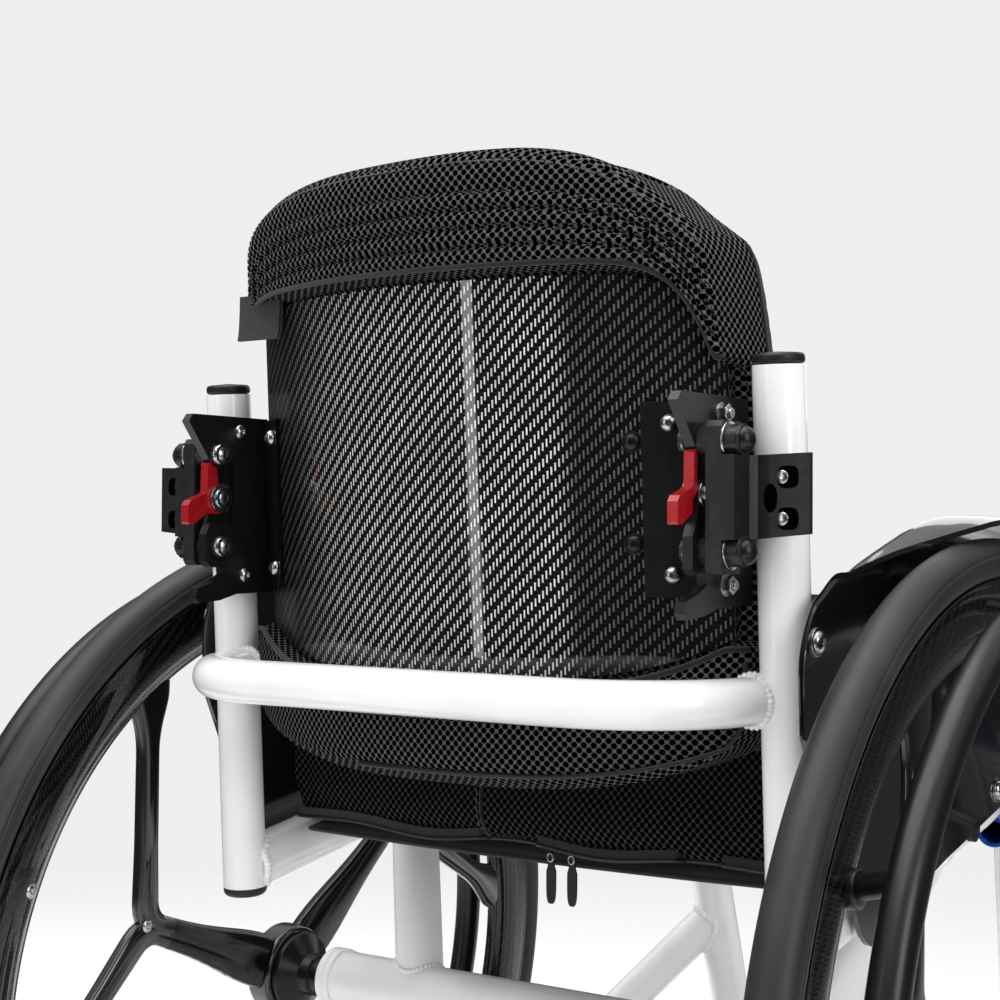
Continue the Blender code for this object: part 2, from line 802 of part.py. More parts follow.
def wheel_point(radius, angle):
    """Point in the wheel's plane at a radius and an angle up from straight ahead."""
    turn = math.radians(angle)
    return Vector((0, -radius * math.cos(turn), radius * math.sin(turn)))


def wheel_turn(side, angle):
    """The angle in a wheel's own frame of one measured up from straight ahead."""
    return angle if side == LEFT else 180 - angle


def make_rear_wheels():
    """Tyre, carbon wheel, hub, handrim, axle and button on each side."""
    for label, side in SIDES:
        frame = wheel_frame(side)
        spindle = empty(f"rear_spindle_{label}", frame)
        pieces = [
            make_tyre(label, frame),
            make_spoked_wheel(label, side, frame),
            make_hub(label, frame),
            make_handrim(label, side, frame),
            make_axle(label, frame),
            make_button(label, frame),
        ]
        for piece in pieces:
            carry(spindle, piece)


def make_tyre(label, frame):
    """Slick tyre that sits on the rim's bed."""
    small = TYRE_SECTION / 2
    middle = WHEEL_RADIUS - small
    bed = RIM_OUTER + GAP
    flat = math.acos((middle - bed) / small)
    profile = []
    steps = 7
    for step in range(steps + 1):
        angle = -math.pi + flat + (2 * math.pi - 2 * flat) * step / steps
        profile.append((middle + small * math.cos(angle), small * math.sin(angle)))
    return finish(f"rear_tyre_{label}", turned(profile, WHEEL_SIDES, ring=True), RUBBER, frame)


def make_spoked_wheel(label, side, frame):
    """Deep carbon rim, hub boss and three arms that each fork before the rim."""
    half = RIM_WIDTH / 2
    inner = RIM_INNER_WIDTH / 2
    rim = [
        (RIM_OUTER, -half * 0.88),
        (RIM_OUTER, half * 0.88),
        (RIM_OUTER - 0.0135, half),
        (RIM_INNER, inner),
        (RIM_INNER, -inner),
        (RIM_OUTER - 0.0135, -half),
    ]
    wheel = finish(f"carbon_wheel_{label}", turned(rim, WHEEL_SIDES, ring=True), CARBON)
    bore = HUB_BARREL_RADIUS + GAP
    width = HUB_BOSS_WIDTH / 2
    boss = [(bore, -width), (HUB_BOSS_RADIUS, -width), (HUB_BOSS_RADIUS, width), (bore, width)]
    tools = [tool_from(turned(boss, ROUND_SIDES, ring=True))]
    for count in range(SPOKE_COUNT):
        angle = wheel_turn(side, SPOKE_ANGLE[side] + 360 * count / SPOKE_COUNT)
        root = wheel_point(HUB_BOSS_RADIUS * 0.82, angle)
        fork = wheel_point(SPOKE_JUNCTION, angle)
        past = wheel_point(SPOKE_JUNCTION + 0.006, angle)
        tools.append(blade(root, past, (0.0190, 0.0130, 0.0100), (0.0095, 0.0075, 0.0062)))
        for turn in (SPOKE_SPLAY, -SPOKE_SPLAY):
            end = wheel_point(RIM_INNER + 0.009, angle + turn)
            tools.append(blade(fork, end, (0.0098, 0.0085, 0.0095), (0.0060, 0.0050, 0.0052)))
    join_all(wheel, tools, CARBON, 28.0)
    wheel.matrix_world = frame
    return wheel


def make_hub(label, frame):
    """Spool-shaped hub that clamps the carbon boss and turns on the axle."""
    face = HUB_BOSS_WIDTH / 2 + GAP
    bore = (AXLE_RADIUS + RUNNING_GAP) / math.cos(math.pi / ROUND_SIDES)
    barrel = HUB_BARREL_RADIUS
    profile = [
        (bore, HUB_INNER_END),
        (barrel * 0.72, HUB_INNER_END),
        (barrel * 0.80, -face - 0.012),
        (barrel + 0.009, -face - 0.004),
        (barrel + 0.009, -face),
        (barrel, -face),
        (barrel, face),
        (barrel + 0.006, face),
        (barrel + 0.006, face + 0.003),
        (barrel * 0.78, face + 0.006),
        (barrel * 0.72, HUB_OUTER_END),
        (bore, HUB_OUTER_END),
    ]
    return finish(f"wheel_hub_{label}", turned(profile, ROUND_SIDES, ring=True), ALLOY, frame)


def make_handrim(label, side, frame):
    """Hand rim on six standoffs that reach to the side of the rim."""
    profile = []
    tube = HANDRIM_TUBE / 2
    facets = 6
    for step in range(facets):
        angle = 2 * math.pi * (step + 0.5) / facets
        profile.append((HANDRIM_RADIUS + tube * math.cos(angle), HANDRIM_OFFSET + tube * math.sin(angle)))
    handrim = finish(f"handrim_{label}", turned(profile, WHEEL_SIDES, ring=True), BLACK_METAL)
    tools = []
    inner_end = RIM_WIDTH / 2 + STANDOFF_START
    for count in range(STANDOFF_COUNT):
        angle = wheel_turn(side, STANDOFF_ANGLE[side] + 360 * count / STANDOFF_COUNT)
        centre = wheel_point(STANDOFF_CIRCLE, angle)
        start = centre + Vector((inner_end, 0, 0))
        end = wheel_point(HANDRIM_RADIUS, angle) + Vector((HANDRIM_OFFSET, 0, 0))
        tools.append(tool_from(rod(start, end, STANDOFF_RADIUS, 8)))
    join_all(handrim, tools, BLACK_METAL)
    handrim.matrix_world = frame
    return handrim


def make_axle(label, frame):
    """Quick-release axle with a hollow head for its button."""
    head_in = HUB_OUTER_END + GAP
    head_out = head_in + AXLE_HEAD_LENGTH
    well = BUTTON_RADIUS + GAP
    profile = [
        (AXLE_RADIUS * 0.6, AXLE_INNER_END),
        (AXLE_RADIUS, AXLE_INNER_END + 0.004),
        (AXLE_RADIUS, head_in),
        (AXLE_HEAD_RADIUS, head_in),
        (AXLE_HEAD_RADIUS, head_out - 0.001),
        (AXLE_HEAD_RADIUS - 0.001, head_out),
        (well, head_out),
        (well, head_in),
    ]
    return finish(f"axle_{label}", turned(profile, ROUND_SIDES), STEEL, frame)


def make_button(label, frame):
    """Push button in the axle's head, free to travel inward."""
    head_out = HUB_OUTER_END + GAP + AXLE_HEAD_LENGTH
    low = HUB_OUTER_END + 2 * GAP + BUTTON_TRAVEL
    high = head_out + BUTTON_PROUD
    profile = [
        (BUTTON_RADIUS, low),
        (BUTTON_RADIUS, high - 0.001),
        (BUTTON_RADIUS * 0.7, high),
    ]
    return finish(f"axle_button_{label}", turned(profile, 16), STEEL, frame)


def make_casters():
    """Caster arm with its housing, fork, axle, core and tyre on each side."""
    for label, side in SIDES:
        make_caster_arm(label, side)
        stem_place = at(side, CASTER_OUT, CASTER_FWD, FORK_TOP_UP)
        stem = empty(f"caster_stem_{label}", Matrix.Translation(stem_place))
        hub = at(side, CASTER_OUT, CASTER_FWD - CASTER_TRAIL, CASTER_RADIUS)
        spindle = empty(f"caster_spindle_{label}", Matrix.Translation(hub))
        carry(stem, spindle)
        carry(stem, make_fork(label, side, hub))
        carry(stem, make_caster_axle(label, hub))
        for piece in make_caster_wheel(label, hub):
            carry(spindle, piece)


def make_caster_arm(label, side):
    """Tube from the down tube to an upright barrel that holds the caster's stem."""
    root = down_tube_point(side, CASTER_ARM_ROOT_UP)
    low = at(side, CASTER_OUT, CASTER_FWD, FORK_TOP_UP + GAP)
    high = low + Vector((0, 0, HOUSING_HEIGHT))
    barrel = rod(low, high, HOUSING_RADIUS, ROUND_SIDES)
    arm = finish(f"caster_arm_{label}", barrel, WHITE)
    reach = low.lerp(high, 0.5)
    tube = tool_from(rod(root, reach, CASTER_ARM_DIAMETER / 2, TUBE_SIDES))
    low_tube = at(side, *DOWN_TUBE_LOW)
    high_tube = down_tube_point(side, 0.40)
    cope = clear_radius(RAIL_DIAMETER / 2, ROUND_SIDES)
    combine(tube, tool_from(rod(low_tube, high_tube, cope, ROUND_SIDES)), "DIFFERENCE")
    keep_largest(tube)
    combine(arm, tube, "UNION")
    bore = (STEM_RADIUS + RUNNING_GAP) / math.cos(math.pi / 16)
    well = rod(low - Vector((0, 0, 0.01)), low + Vector((0, 0, STEM_LENGTH + GAP)), bore, 16)
    cut_all(arm, [tool_from(well)], WHITE)
    with_origin(arm, low)


def make_fork(label, side, hub):
    """Trailing fork with its stem; the slot between the legs clears the wheel."""
    half = FORK_SLOT / 2 + FORK_LEG
    fwd = CASTER_FWD
    top = FORK_TOP_UP
    axle_fwd = CASTER_FWD - CASTER_TRAIL
    drop = CASTER_RADIUS
    outline = [
        (fwd + 0.019, top),
        (fwd + 0.021, top - 0.010),
        (fwd + 0.006, drop + 0.030),
        (axle_fwd + 0.012, drop - 0.004),
        (axle_fwd + 0.006, drop - 0.011),
        (axle_fwd - 0.006, drop - 0.011),
        (axle_fwd - 0.012, drop - 0.004),
        (axle_fwd - 0.013, drop + 0.010),
        (fwd - 0.024, top - 0.016),
        (fwd - 0.019, top),
    ]
    low = CASTER_OUT - half
    high = CASTER_OUT + half
    fork = finish(f"caster_fork_{label}", upright_plate(side, outline, low, high), BLACK_METAL)
    crown = 0.0065
    slot = box(
        at(side, CASTER_OUT - side * FORK_SLOT / 2, fwd + 0.05, 0.0),
        at(side, CASTER_OUT + side * FORK_SLOT / 2, fwd - 0.12, top - crown),
    )
    stem_foot = at(side, CASTER_OUT, fwd, top - crown * 0.6)
    stem_head = at(side, CASTER_OUT, fwd, top + STEM_LENGTH - GAP)
    stem = tool_from(rod(stem_foot, stem_head, STEM_RADIUS, 16))
    across = Vector((half * 2, 0, 0))
    hole = tool_from(rod(hub - across, hub + across, CASTER_AXLE_RADIUS + GAP, 12))
    combine(fork, tool_from(slot), "DIFFERENCE")
    combine(fork, hole, "DIFFERENCE")
    join_all(fork, [stem], BLACK_METAL)
    return with_origin(fork, at(side, CASTER_OUT, fwd, top))


def make_caster_axle(label, hub):
    """Caster axle bolt with a head and a nut outside the fork's legs."""
    half = FORK_SLOT / 2 + FORK_LEG + GAP
    head = 0.0068
    profile = [
        (head, -half - 0.004),
        (head, -half),
        (CASTER_AXLE_RADIUS, -half),
        (CASTER_AXLE_RADIUS, half),
        (head, half),
        (head, half + 0.004),
    ]
    return finish(f"caster_axle_{label}", turned(profile, 12), STEEL, Matrix.Translation(hub))


def make_caster_wheel(label, hub):
    """Caster core that turns on the bolt, and the tyre round it."""
    frame = Matrix.Translation(hub)
    bore = (CASTER_AXLE_RADIUS + RUNNING_GAP) / math.cos(math.pi / 16)
    half = CASTER_WIDTH / 2
    core_outer = CASTER_CORE_RADIUS
    core = [
        (bore, -FORK_SLOT / 2 + GAP),
        (0.0100, -FORK_SLOT / 2 + GAP),
        (0.0140, -half * 0.45),
        (core_outer - 0.007, -half * 0.45),
        (core_outer, -half * 0.80),
        (core_outer, half * 0.80),
        (core_outer - 0.007, half * 0.45),
        (0.0140, half * 0.45),
        (0.0100, FORK_SLOT / 2 - GAP),
        (bore, FORK_SLOT / 2 - GAP),
    ]
    wheel = finish(f"caster_core_{label}", turned(core, CASTER_SIDES, ring=True), BLACK_PLASTIC, frame)
    tyre = [
        (core_outer + GAP, -half * 0.82),
        (core_outer + 0.010, -half),
        (CASTER_RADIUS - 0.003, -half * 0.75),
        (CASTER_RADIUS, 0.0),
        (CASTER_RADIUS - 0.003, half * 0.75),
        (core_outer + 0.010, half),
        (core_outer + GAP, half * 0.82),
    ]
    rubber = finish(f"caster_tyre_{label}", turned(tyre, CASTER_SIDES, ring=True), RUBBER, frame)
    return [wheel, rubber]


def make_footrest():
    """U-shaped foot tube in the down tubes' sockets, and the plate on it."""
    points = []
    for side in (LEFT, RIGHT):
        low = at(side, *DOWN_TUBE_LOW)
        upward = (down_tube_point(side, 0.40) - low).normalized()
        top = low + upward * (DOWN_TUBE_SOCKET - GAP)
        bottom = low - upward * ((low.z - FOOT_TUBE_LOW_UP) / upward.z)
        points.append((top, bottom))
    corners = [points[0][0], points[0][1], points[1][1], points[1][0]]
    path = bent_path(corners, [FOOT_TUBE_BEND, FOOT_TUBE_BEND], 5)
    across = Vector((0, 1, 0))
    finish("foot_tube", tube_along(path, FOOT_TUBE_DIAMETER / 2, TUBE_SIDES, across), BLACK_METAL)
    half = FOOTPLATE_WIDTH / 2
    front = FOOTPLATE_FRONT_FWD
    rear = front - FOOTPLATE_DEPTH
    low = FOOT_TUBE_LOW_UP + FOOT_TUBE_DIAMETER / 2 + GAP
    outline = []
    for out, fwd, first in ((half, rear, 270), (half, front, 0), (-half, front, 90), (-half, rear, 180)):
        inner_out = out - math.copysign(FOOTPLATE_CORNER, out)
        inner_fwd = fwd + (FOOTPLATE_CORNER if fwd == rear else -FOOTPLATE_CORNER)
        for step in range(4):
            angle = math.radians(first + 30 * step)
            out = inner_out + FOOTPLATE_CORNER * math.cos(angle)
            outline.append((out, inner_fwd + FOOTPLATE_CORNER * math.sin(angle)))
    plate = prism(
        outline,
        lambda out, fwd: at(LEFT, out, fwd, low),
        lambda out, fwd: at(LEFT, out, fwd, low + FOOTPLATE_THICKNESS),
    )
    made = finish("footplate", plate, BLACK_PLASTIC)
    clearance = tube_along(path, clear_radius(FOOT_TUBE_DIAMETER / 2, TUBE_SIDES), TUBE_SIDES, across)
    cut_all(made, [tool_from(clearance)], BLACK_PLASTIC)


def make_sling():
    """Seat sling stretched between the rails, just under their tops."""
    radius = RAIL_DIAMETER / 2
    low = SLING_TOP - SLING_THICKNESS
    inset = math.sqrt(radius ** 2 - low ** 2) + GAP * 4
    stops = [SLING_REAR_FWD, 0.12, TAPER_START_FWD - 0.05, TAPER_START_FWD + 0.02]
    stops += [0.34, 0.385, SLING_FRONT_FWD]
    outline = [(rail_out(fwd) - inset, fwd) for fwd in stops]
    outline += [(-out, fwd) for out, fwd in reversed(outline)]
    bm = prism(
        outline,
        lambda out, fwd: at(LEFT, out, fwd, rail_up(fwd) + low),
        lambda out, fwd: at(LEFT, out, fwd, rail_up(fwd) + SLING_TOP),
    )
    finish("seat_sling", bm, SLING_FABRIC)


def seat_point(out, along, height):
    """Point on the pitched seat: along from the cushion's rear, height above the rail tops."""
    pitch = math.radians(SEAT_PITCH)
    fwd = CUSHION_REAR_FWD + along * math.cos(pitch) - height * math.sin(pitch)
    base = rail_up(CUSHION_REAR_FWD) + (RAIL_DIAMETER / 2) / math.cos(pitch) + GAP
    up = base + along * math.sin(pitch) + height * math.cos(pitch)
    return at(LEFT, out, fwd, up)


def make_cushion():
    """Crowned seat cushion: sides drawn in between its corners, with two sewn channels."""
    across = (0.0, 0.16, 0.30, 0.36, 0.42, 0.60, 0.80, 1.0)
    along = 10
    rows = (0.0, 0.16, 0.5, 0.84, 1.0)
    pull = (0.006, 0.0, 0.002, 0.0, 0.006)
    half = CUSHION_WIDTH / 2

    def plan(u, v, inset):
        corner = 0.10
        reach = half - inset
        length = CUSHION_DEPTH / 2 - inset
        out = u * reach * math.sqrt(1 - corner * v * v) - u * CUSHION_DRAW_IN * (1 - v * v)
        back = v * length * math.sqrt(1 - corner * u * u) - v * CUSHION_DRAW_IN * (1 - u * u)
        return out, CUSHION_DEPTH / 2 + back

    def top(u, v):
        crown = CUSHION_CROWN * (1 - abs(u) ** 3) * (1 - abs(v) ** 3)
        seam = math.exp(-((abs(u) - 0.36) / 0.035) ** 2)
        fade = 1 - smooth_step(abs(v), 0.70, 0.95)
        return CUSHION_THICKNESS + crown - 0.004 * seam * fade

    bm = bmesh.new()
    us = [-share for share in reversed(across[1:])] + list(across)
    vs = [2 * step / along - 1 for step in range(along + 1)]
    rim = [(u, -1.0) for u in us] + [(1.0, v) for v in vs[1:]]
    rim += [(u, 1.0) for u in reversed(us[:-1])] + [(-1.0, v) for v in reversed(vs[1:-1])]
    top_inset = pull[-1]
    low_inset = pull[0]
    upper = {}
    lower = {}
    for u in us:
        for v in vs:
            out, back = plan(u, v, top_inset)
            upper[(u, v)] = bm.verts.new(seat_point(out, back, top(u, v)))
            out, back = plan(u, v, low_inset)
            lower[(u, v)] = bm.verts.new(seat_point(out, back, 0.0))
    for low_u, high_u in zip(us, us[1:]):
        for low_v, high_v in zip(vs, vs[1:]):
            for sheet in (upper, lower):
                corners = [(low_u, low_v), (high_u, low_v), (high_u, high_v), (low_u, high_v)]
                bm.faces.new([sheet[corner] for corner in corners])
    loops = [[lower[place] for place in rim]]
    for row, inset in zip(rows[1:-1], pull[1:-1]):
        loop = []
        for u, v in rim:
            out, back = plan(u, v, inset)
            loop.append(bm.verts.new(seat_point(out, back, top(u, v) * row)))
        loops.append(loop)
    loops.append([upper[place] for place in rim])
    for low, high in zip(loops, loops[1:]):
        for step in range(len(rim)):
            after = (step + 1) % len(rim)
            bm.faces.new((low[step], low[after], high[after], high[step]))
    finish("seat_cushion", bm, MESH_FABRIC, sharp=60.0)


def across_columns(columns, scale=1.0):
    """Column places from one edge to the other, given those from the middle outward."""
    right = [scale * place for place in columns]
    return [-place for place in reversed(right[1:])] + right


def make_shell():
    """Curved carbon back shell with wide rounded corners."""
    outs = across_columns(SHELL_COLUMNS)
    rows = (0.0, 0.35, 0.7, 1.0)
    bm = bmesh.new()
    sheets = []
    for depth in (0.0, SHELL_THICKNESS):
        sheet = []
        for row in rows:
            line = []
            for out in outs:
                up = shell_low(out) + (shell_high(out) - shell_low(out)) * row
                fwd = cane_fwd(up) - SHELL_BEHIND_CANES + shell_curve(out) + depth
                line.append(bm.verts.new(at(LEFT, out, fwd, up)))
            sheet.append(line)
        sheets.append(sheet)
    stitch_skins(bm, sheets)
    finish("back_shell", bm, CARBON, sharp=50.0)


def rounded_share(up, base, height, powers):
    """Share of full width that is left at a height inside a rounded end."""
    share = min(max((up - base) / height, 0.0), 0.999)
    return (1 - share ** powers[0]) ** (1 / powers[1])


def pad_half_width(up):
    """Half the pad's width at a height: rounded at both ends and a little narrower above the shell."""
    full = PAD_HALF_WIDTH - PAD_TAPER * smooth_step(up, SHELL_TOP_UP, SHELL_TOP_UP + 0.02)
    top = rounded_share(up, PAD_TOP_UP - PAD_TOP_ROUNDING, PAD_TOP_ROUNDING, PAD_TOP_POWERS)
    base = -PAD_BOTTOM_UP - PAD_BOTTOM_ROUNDING
    bottom = rounded_share(-up, base, PAD_BOTTOM_ROUNDING, PAD_BOTTOM_POWERS)
    return full * top * bottom


def pad_top(out):
    """Height of the pad's outline at a distance out, down to its upper corners."""
    share = min(abs(out) / (PAD_HALF_WIDTH - PAD_TAPER), 1.0)
    rise = (1 - share ** PAD_TOP_POWERS[1]) ** (1 / PAD_TOP_POWERS[0])
    return max(PAD_TOP_UP - PAD_TOP_ROUNDING * (1 - rise), PAD_CORNER_UP) - PAD_TILT * out


def pad_rings():
    """Rings of the pad: which edge curves they lie between, how far, how full and how far back."""
    below = [(0, 0.0, 0.35), (0, 0.10, 0.80), (0, 0.35, 1.0), (0, 0.70, 1.0), (0, 1.0, 1.0)]
    rings = [(span, share, full, -PAD_POCKET) for span, share, full in below]
    inside = SHELL_THICKNESS + GAP
    rings += [(1, share, 1.0, inside) for share in (0.0, 0.5, 1.0)]
    rings.append((2, 0.0, 1.0, -PAD_WRAP))
    span_height = PAD_TOP_UP - SHELL_TOP_UP
    for ridge in range(PAD_RIDGES):
        base = PAD_RIDGE_PITCH * ridge
        crest = (base + PAD_RIDGE_PITCH * 0.5) / span_height
        valley = (base + PAD_RIDGE_PITCH) / span_height
        rings.append((2, crest, 1.0, -PAD_WRAP - PAD_RIDGE_HEIGHT))
        rings.append((2, valley, 1.0, -PAD_WRAP))
    rings += [(2, 0.74, 1.0, -PAD_WRAP - 0.002), (2, 0.91, 0.95, -PAD_WRAP), (2, 1.0, 0.52, -PAD_WRAP)]
    return rings


def pad_edge(curve, out, half):
    """Height of one of the pad's four edge curves at a distance out."""
    share = abs(out) / half
    if curve == 0:
        return PAD_BOTTOM_UP + PAD_BOTTOM_RISE * share ** 3.5
    if curve == 3:
        return pad_top(out)
    return shell_low(out) if curve == 1 else shell_high(out)


def pad_up(span, share, out, half):
    """Height of a ring that lies part of the way between two edge curves."""
    margin_low = (0.0, -PAD_HEM, PAD_HEM * 3)[span]
    margin_high = (-PAD_HEM * 3, PAD_HEM, 0.0)[span]
    low = pad_edge(span, out, half) + margin_low
    high = pad_edge(span + 1, out, half) + margin_high
    return low + (high - low) * share


def make_pad():
    """Back pad in front of the shell, wrapped over its top and round its bottom."""
    bm = bmesh.new()
    loops = []
    for span, share, full, behind in pad_rings():
        half = PAD_HALF_WIDTH
        for _ in range(6):
            half = pad_half_width(pad_up(span, share, half, half))
        loops.append(pad_loop(bm, span, share, full, behind, half))
    for low, high in zip(loops, loops[1:]):
        count = len(low)
        for step in range(count):
            after = (step + 1) % count
            bm.faces.new((low[step], low[after], high[after], high[step]))
    close_loop(bm, loops[0])
    close_loop(bm, loops[-1])
    finish("back_pad", bm, MESH_FABRIC, sharp=60.0)


def pad_loop(bm, span, share, full, behind, half):
    """Vertices round one ring: the rear from side to side, then the front back again."""
    outs = across_columns(PAD_COLUMNS, half / PAD_HALF_WIDTH)
    rear = []
    front = []
    for out in outs:
        up = pad_up(span, share, out, half)
        base = cane_fwd(up) - SHELL_BEHIND_CANES
        back = base + behind + arc_rise(out, -behind) + (-behind if behind < 0 else 0.0)
        if behind > 0:
            back = base + behind + shell_curve(out)
        corner = PAD_FRONT_CORNER * smooth_step(abs(out) / half, 0.88, 1.0)
        ahead = base + PAD_FRONT + arc_rise(out, -PAD_FRONT) - PAD_FRONT - corner
        ahead = min(ahead, seat_limit(up))
        middle = (back + ahead) / 2
        depth = (ahead - back) / 2 * (full + (1 - full) * 0.8 * (out / half) ** 2)
        lean = PAD_LEAN * smooth_step(up, PAD_LEAN_START_UP, PAD_LEAN_END_UP)
        rear.append(bm.verts.new(at(LEFT, out + lean, middle - depth, up)))
        front.append(bm.verts.new(at(LEFT, out + lean, middle + depth, up)))
    sides = []
    for side in (LEFT, RIGHT):
        up = pad_up(span, share, side * half, half)
        lean = PAD_LEAN * smooth_step(up, PAD_LEAN_START_UP, PAD_LEAN_END_UP)
        fwd = cane_fwd(up) - SHELL_BEHIND_CANES + PAD_SIDE_FRONT
        sides.append(bm.verts.new(at(side, half + side * lean, min(fwd, seat_limit(up) - 0.008), up)))
    return rear + [sides[0]] + list(reversed(front)) + [sides[1]]


def seat_limit(up):
    """How far ahead the pad may reach at a height, behind the cushion's rear face."""
    return CUSHION_REAR_FWD - 0.0022 + 0.08 * smooth_step(up, 0.512, 0.560)


def close_loop(bm, loop):
    """Close a ring across from its rear row to its front row."""
    count = (len(loop) - 2) // 2
    rear = loop[:count]
    front = list(reversed(loop[count + 1:-1]))
    for step in range(count - 1):
        bm.faces.new((rear[step], rear[step + 1], front[step + 1], front[step]))
    bm.faces.new((rear[-1], loop[count], front[-1]))
    bm.faces.new((rear[0], front[0], loop[-1]))


def disc(side, centre, out_low, out_high, radius, sides=SMALL_SIDES):
    """A round boss across the chair at a (fwd, up) centre."""
    return tool_from(rod(at(side, out_low, *centre), at(side, out_high, *centre), radius, sides))


def make_shell_brackets():
    """Curved flange on the shell, with the hook plate that the pins pass through."""
    outline = [
        (0.0060, 0.6795),
        (-0.0780, 0.6795),
        (-0.0815, 0.6750),
        (-0.0640, 0.6525),
        (-0.0612, 0.6518),
        (-0.0612, 0.6200),
        (-0.0635, 0.6140),
        (-0.0665, 0.6085),
        (-0.0665, 0.5925),
        (-0.0620, 0.5890),
        (-0.0520, 0.5885),
        (-0.0515, 0.5845),
        (-0.0600, 0.5800),
        (-0.0730, 0.5765),
        (-0.0745, 0.5705),
        (-0.0715, 0.5675),
        (-0.0540, 0.5690),
        (-0.0400, 0.5725),
        (0.0060, 0.5735),
    ]
    rebate = [(-0.0435, 0.6150), (-0.0700, 0.6150), (-0.0700, 0.6510), (-0.0435, 0.6510)]
    hook_end = HOOK_OUT + HOOK_THICKNESS
    for label, side in SIDES:
        plate_shape = upright_plate(side, outline, HOOK_OUT, hook_end)
        plate = finish(f"shell_bracket_{label}", plate_shape, BLACK_METAL)
        pocket = tool_from(upright_plate(side, rebate, HOOK_OUT - 0.01, HOOK_OUT + REBATE_DEPTH))
        combine(plate, pocket, "DIFFERENCE")
        combine(plate, shell_cutter(), "DIFFERENCE")
        washer_end = HOOK_OUT - GAP
        head_end = washer_end - WASHER_THICKNESS
        nut_start = hook_end + WASHER_THICKNESS
        tools = [
            tool_from(bracket_flange(side)),
            disc(side, LEVER_PIVOT, head_end - 0.001, nut_start, LEVER_PIN_RADIUS),
            disc(side, LEVER_PIVOT, head_end, washer_end, WASHER_RADIUS),
            disc(side, LEVER_PIVOT, head_end - 0.0025, head_end + 0.0005, PIN_HEAD_RADIUS),
            disc(side, LEVER_PIVOT, hook_end - 0.0005, nut_start, WASHER_RADIUS * 0.8),
            disc(side, LEVER_PIVOT, nut_start - 0.0005, nut_start + 0.0025, PIN_HEAD_RADIUS * 0.8),
        ]
        join_all(plate, tools, BLACK_METAL)
        holes = [
            disc(side, TOP_PIN, HOOK_OUT - 0.01, hook_end + 0.01, clear_radius(PIN_RADIUS, SMALL_SIDES)),
            disc(side, LOW_PIN, HOOK_OUT - 0.01, hook_end + 0.01, clear_radius(PIN_RADIUS, SMALL_SIDES)),
        ]
        cut_all(plate, holes, BLACK_METAL)
        keep_largest(plate)


def shell_cutter():
    """The space that the back shell needs, with the gap behind it."""
    low_up = SHELL_BOTTOM_UP - 0.02
    high_up = SHELL_TOP_UP + 0.02
    outs = across_columns(SHELL_COLUMNS)
    outline = [(out, shell_curve(out) - GAP * 1.5) for out in outs]
    wide = SHELL_HALF_WIDTH + 0.010
    edge = shell_curve(wide) - GAP * 1.5
    outline = [(-wide, edge)] + outline + [(wide, edge), (wide, edge + 0.08), (-wide, edge + 0.08)]
    return tool_from(
        prism(
            outline,
            lambda out, fwd: at(LEFT, out, cane_fwd(low_up) - SHELL_BEHIND_CANES + fwd, low_up),
            lambda out, fwd: at(LEFT, out, cane_fwd(high_up) - SHELL_BEHIND_CANES + fwd, high_up),
        )
    )


def bracket_flange(side):
    """Curved strip that lies on the rear of the shell beside the hook plate."""
    inner = FLANGE_INNER_OUT[side]
    facets = [out for out in SHELL_COLUMNS if inner + FLANGE_THICKNESS < out < SHELL_HALF_WIDTH]
    outs = [inner, *facets, HOOK_OUT + HOOK_THICKNESS * 0.5]
    low_up = 0.577
    high_up = 0.678
    lift = follow_shell(outs)
    outline = [(out, rise - GAP * 1.5) for out, rise in zip(outs, lift)]
    outline += [(out, rise - GAP * 1.5 - FLANGE_THICKNESS) for out, rise in reversed(list(zip(outs, lift)))]
    return prism(
        outline,
        lambda out, fwd: at(side, out, cane_fwd(low_up) - SHELL_BEHIND_CANES + fwd, low_up),
        lambda out, fwd: at(side, out, cane_fwd(high_up) - SHELL_BEHIND_CANES + fwd, high_up),
    )


def follow_shell(outs):
    """Forward sweep of the shell's faceted rear at some distances out."""
    facets = [(out, shell_curve(out)) for out in SHELL_COLUMNS]
    facets.append((SHELL_HALF_WIDTH + 0.010, shell_curve(SHELL_HALF_WIDTH + 0.010)))
    return [follow(facets, out) for out in outs]


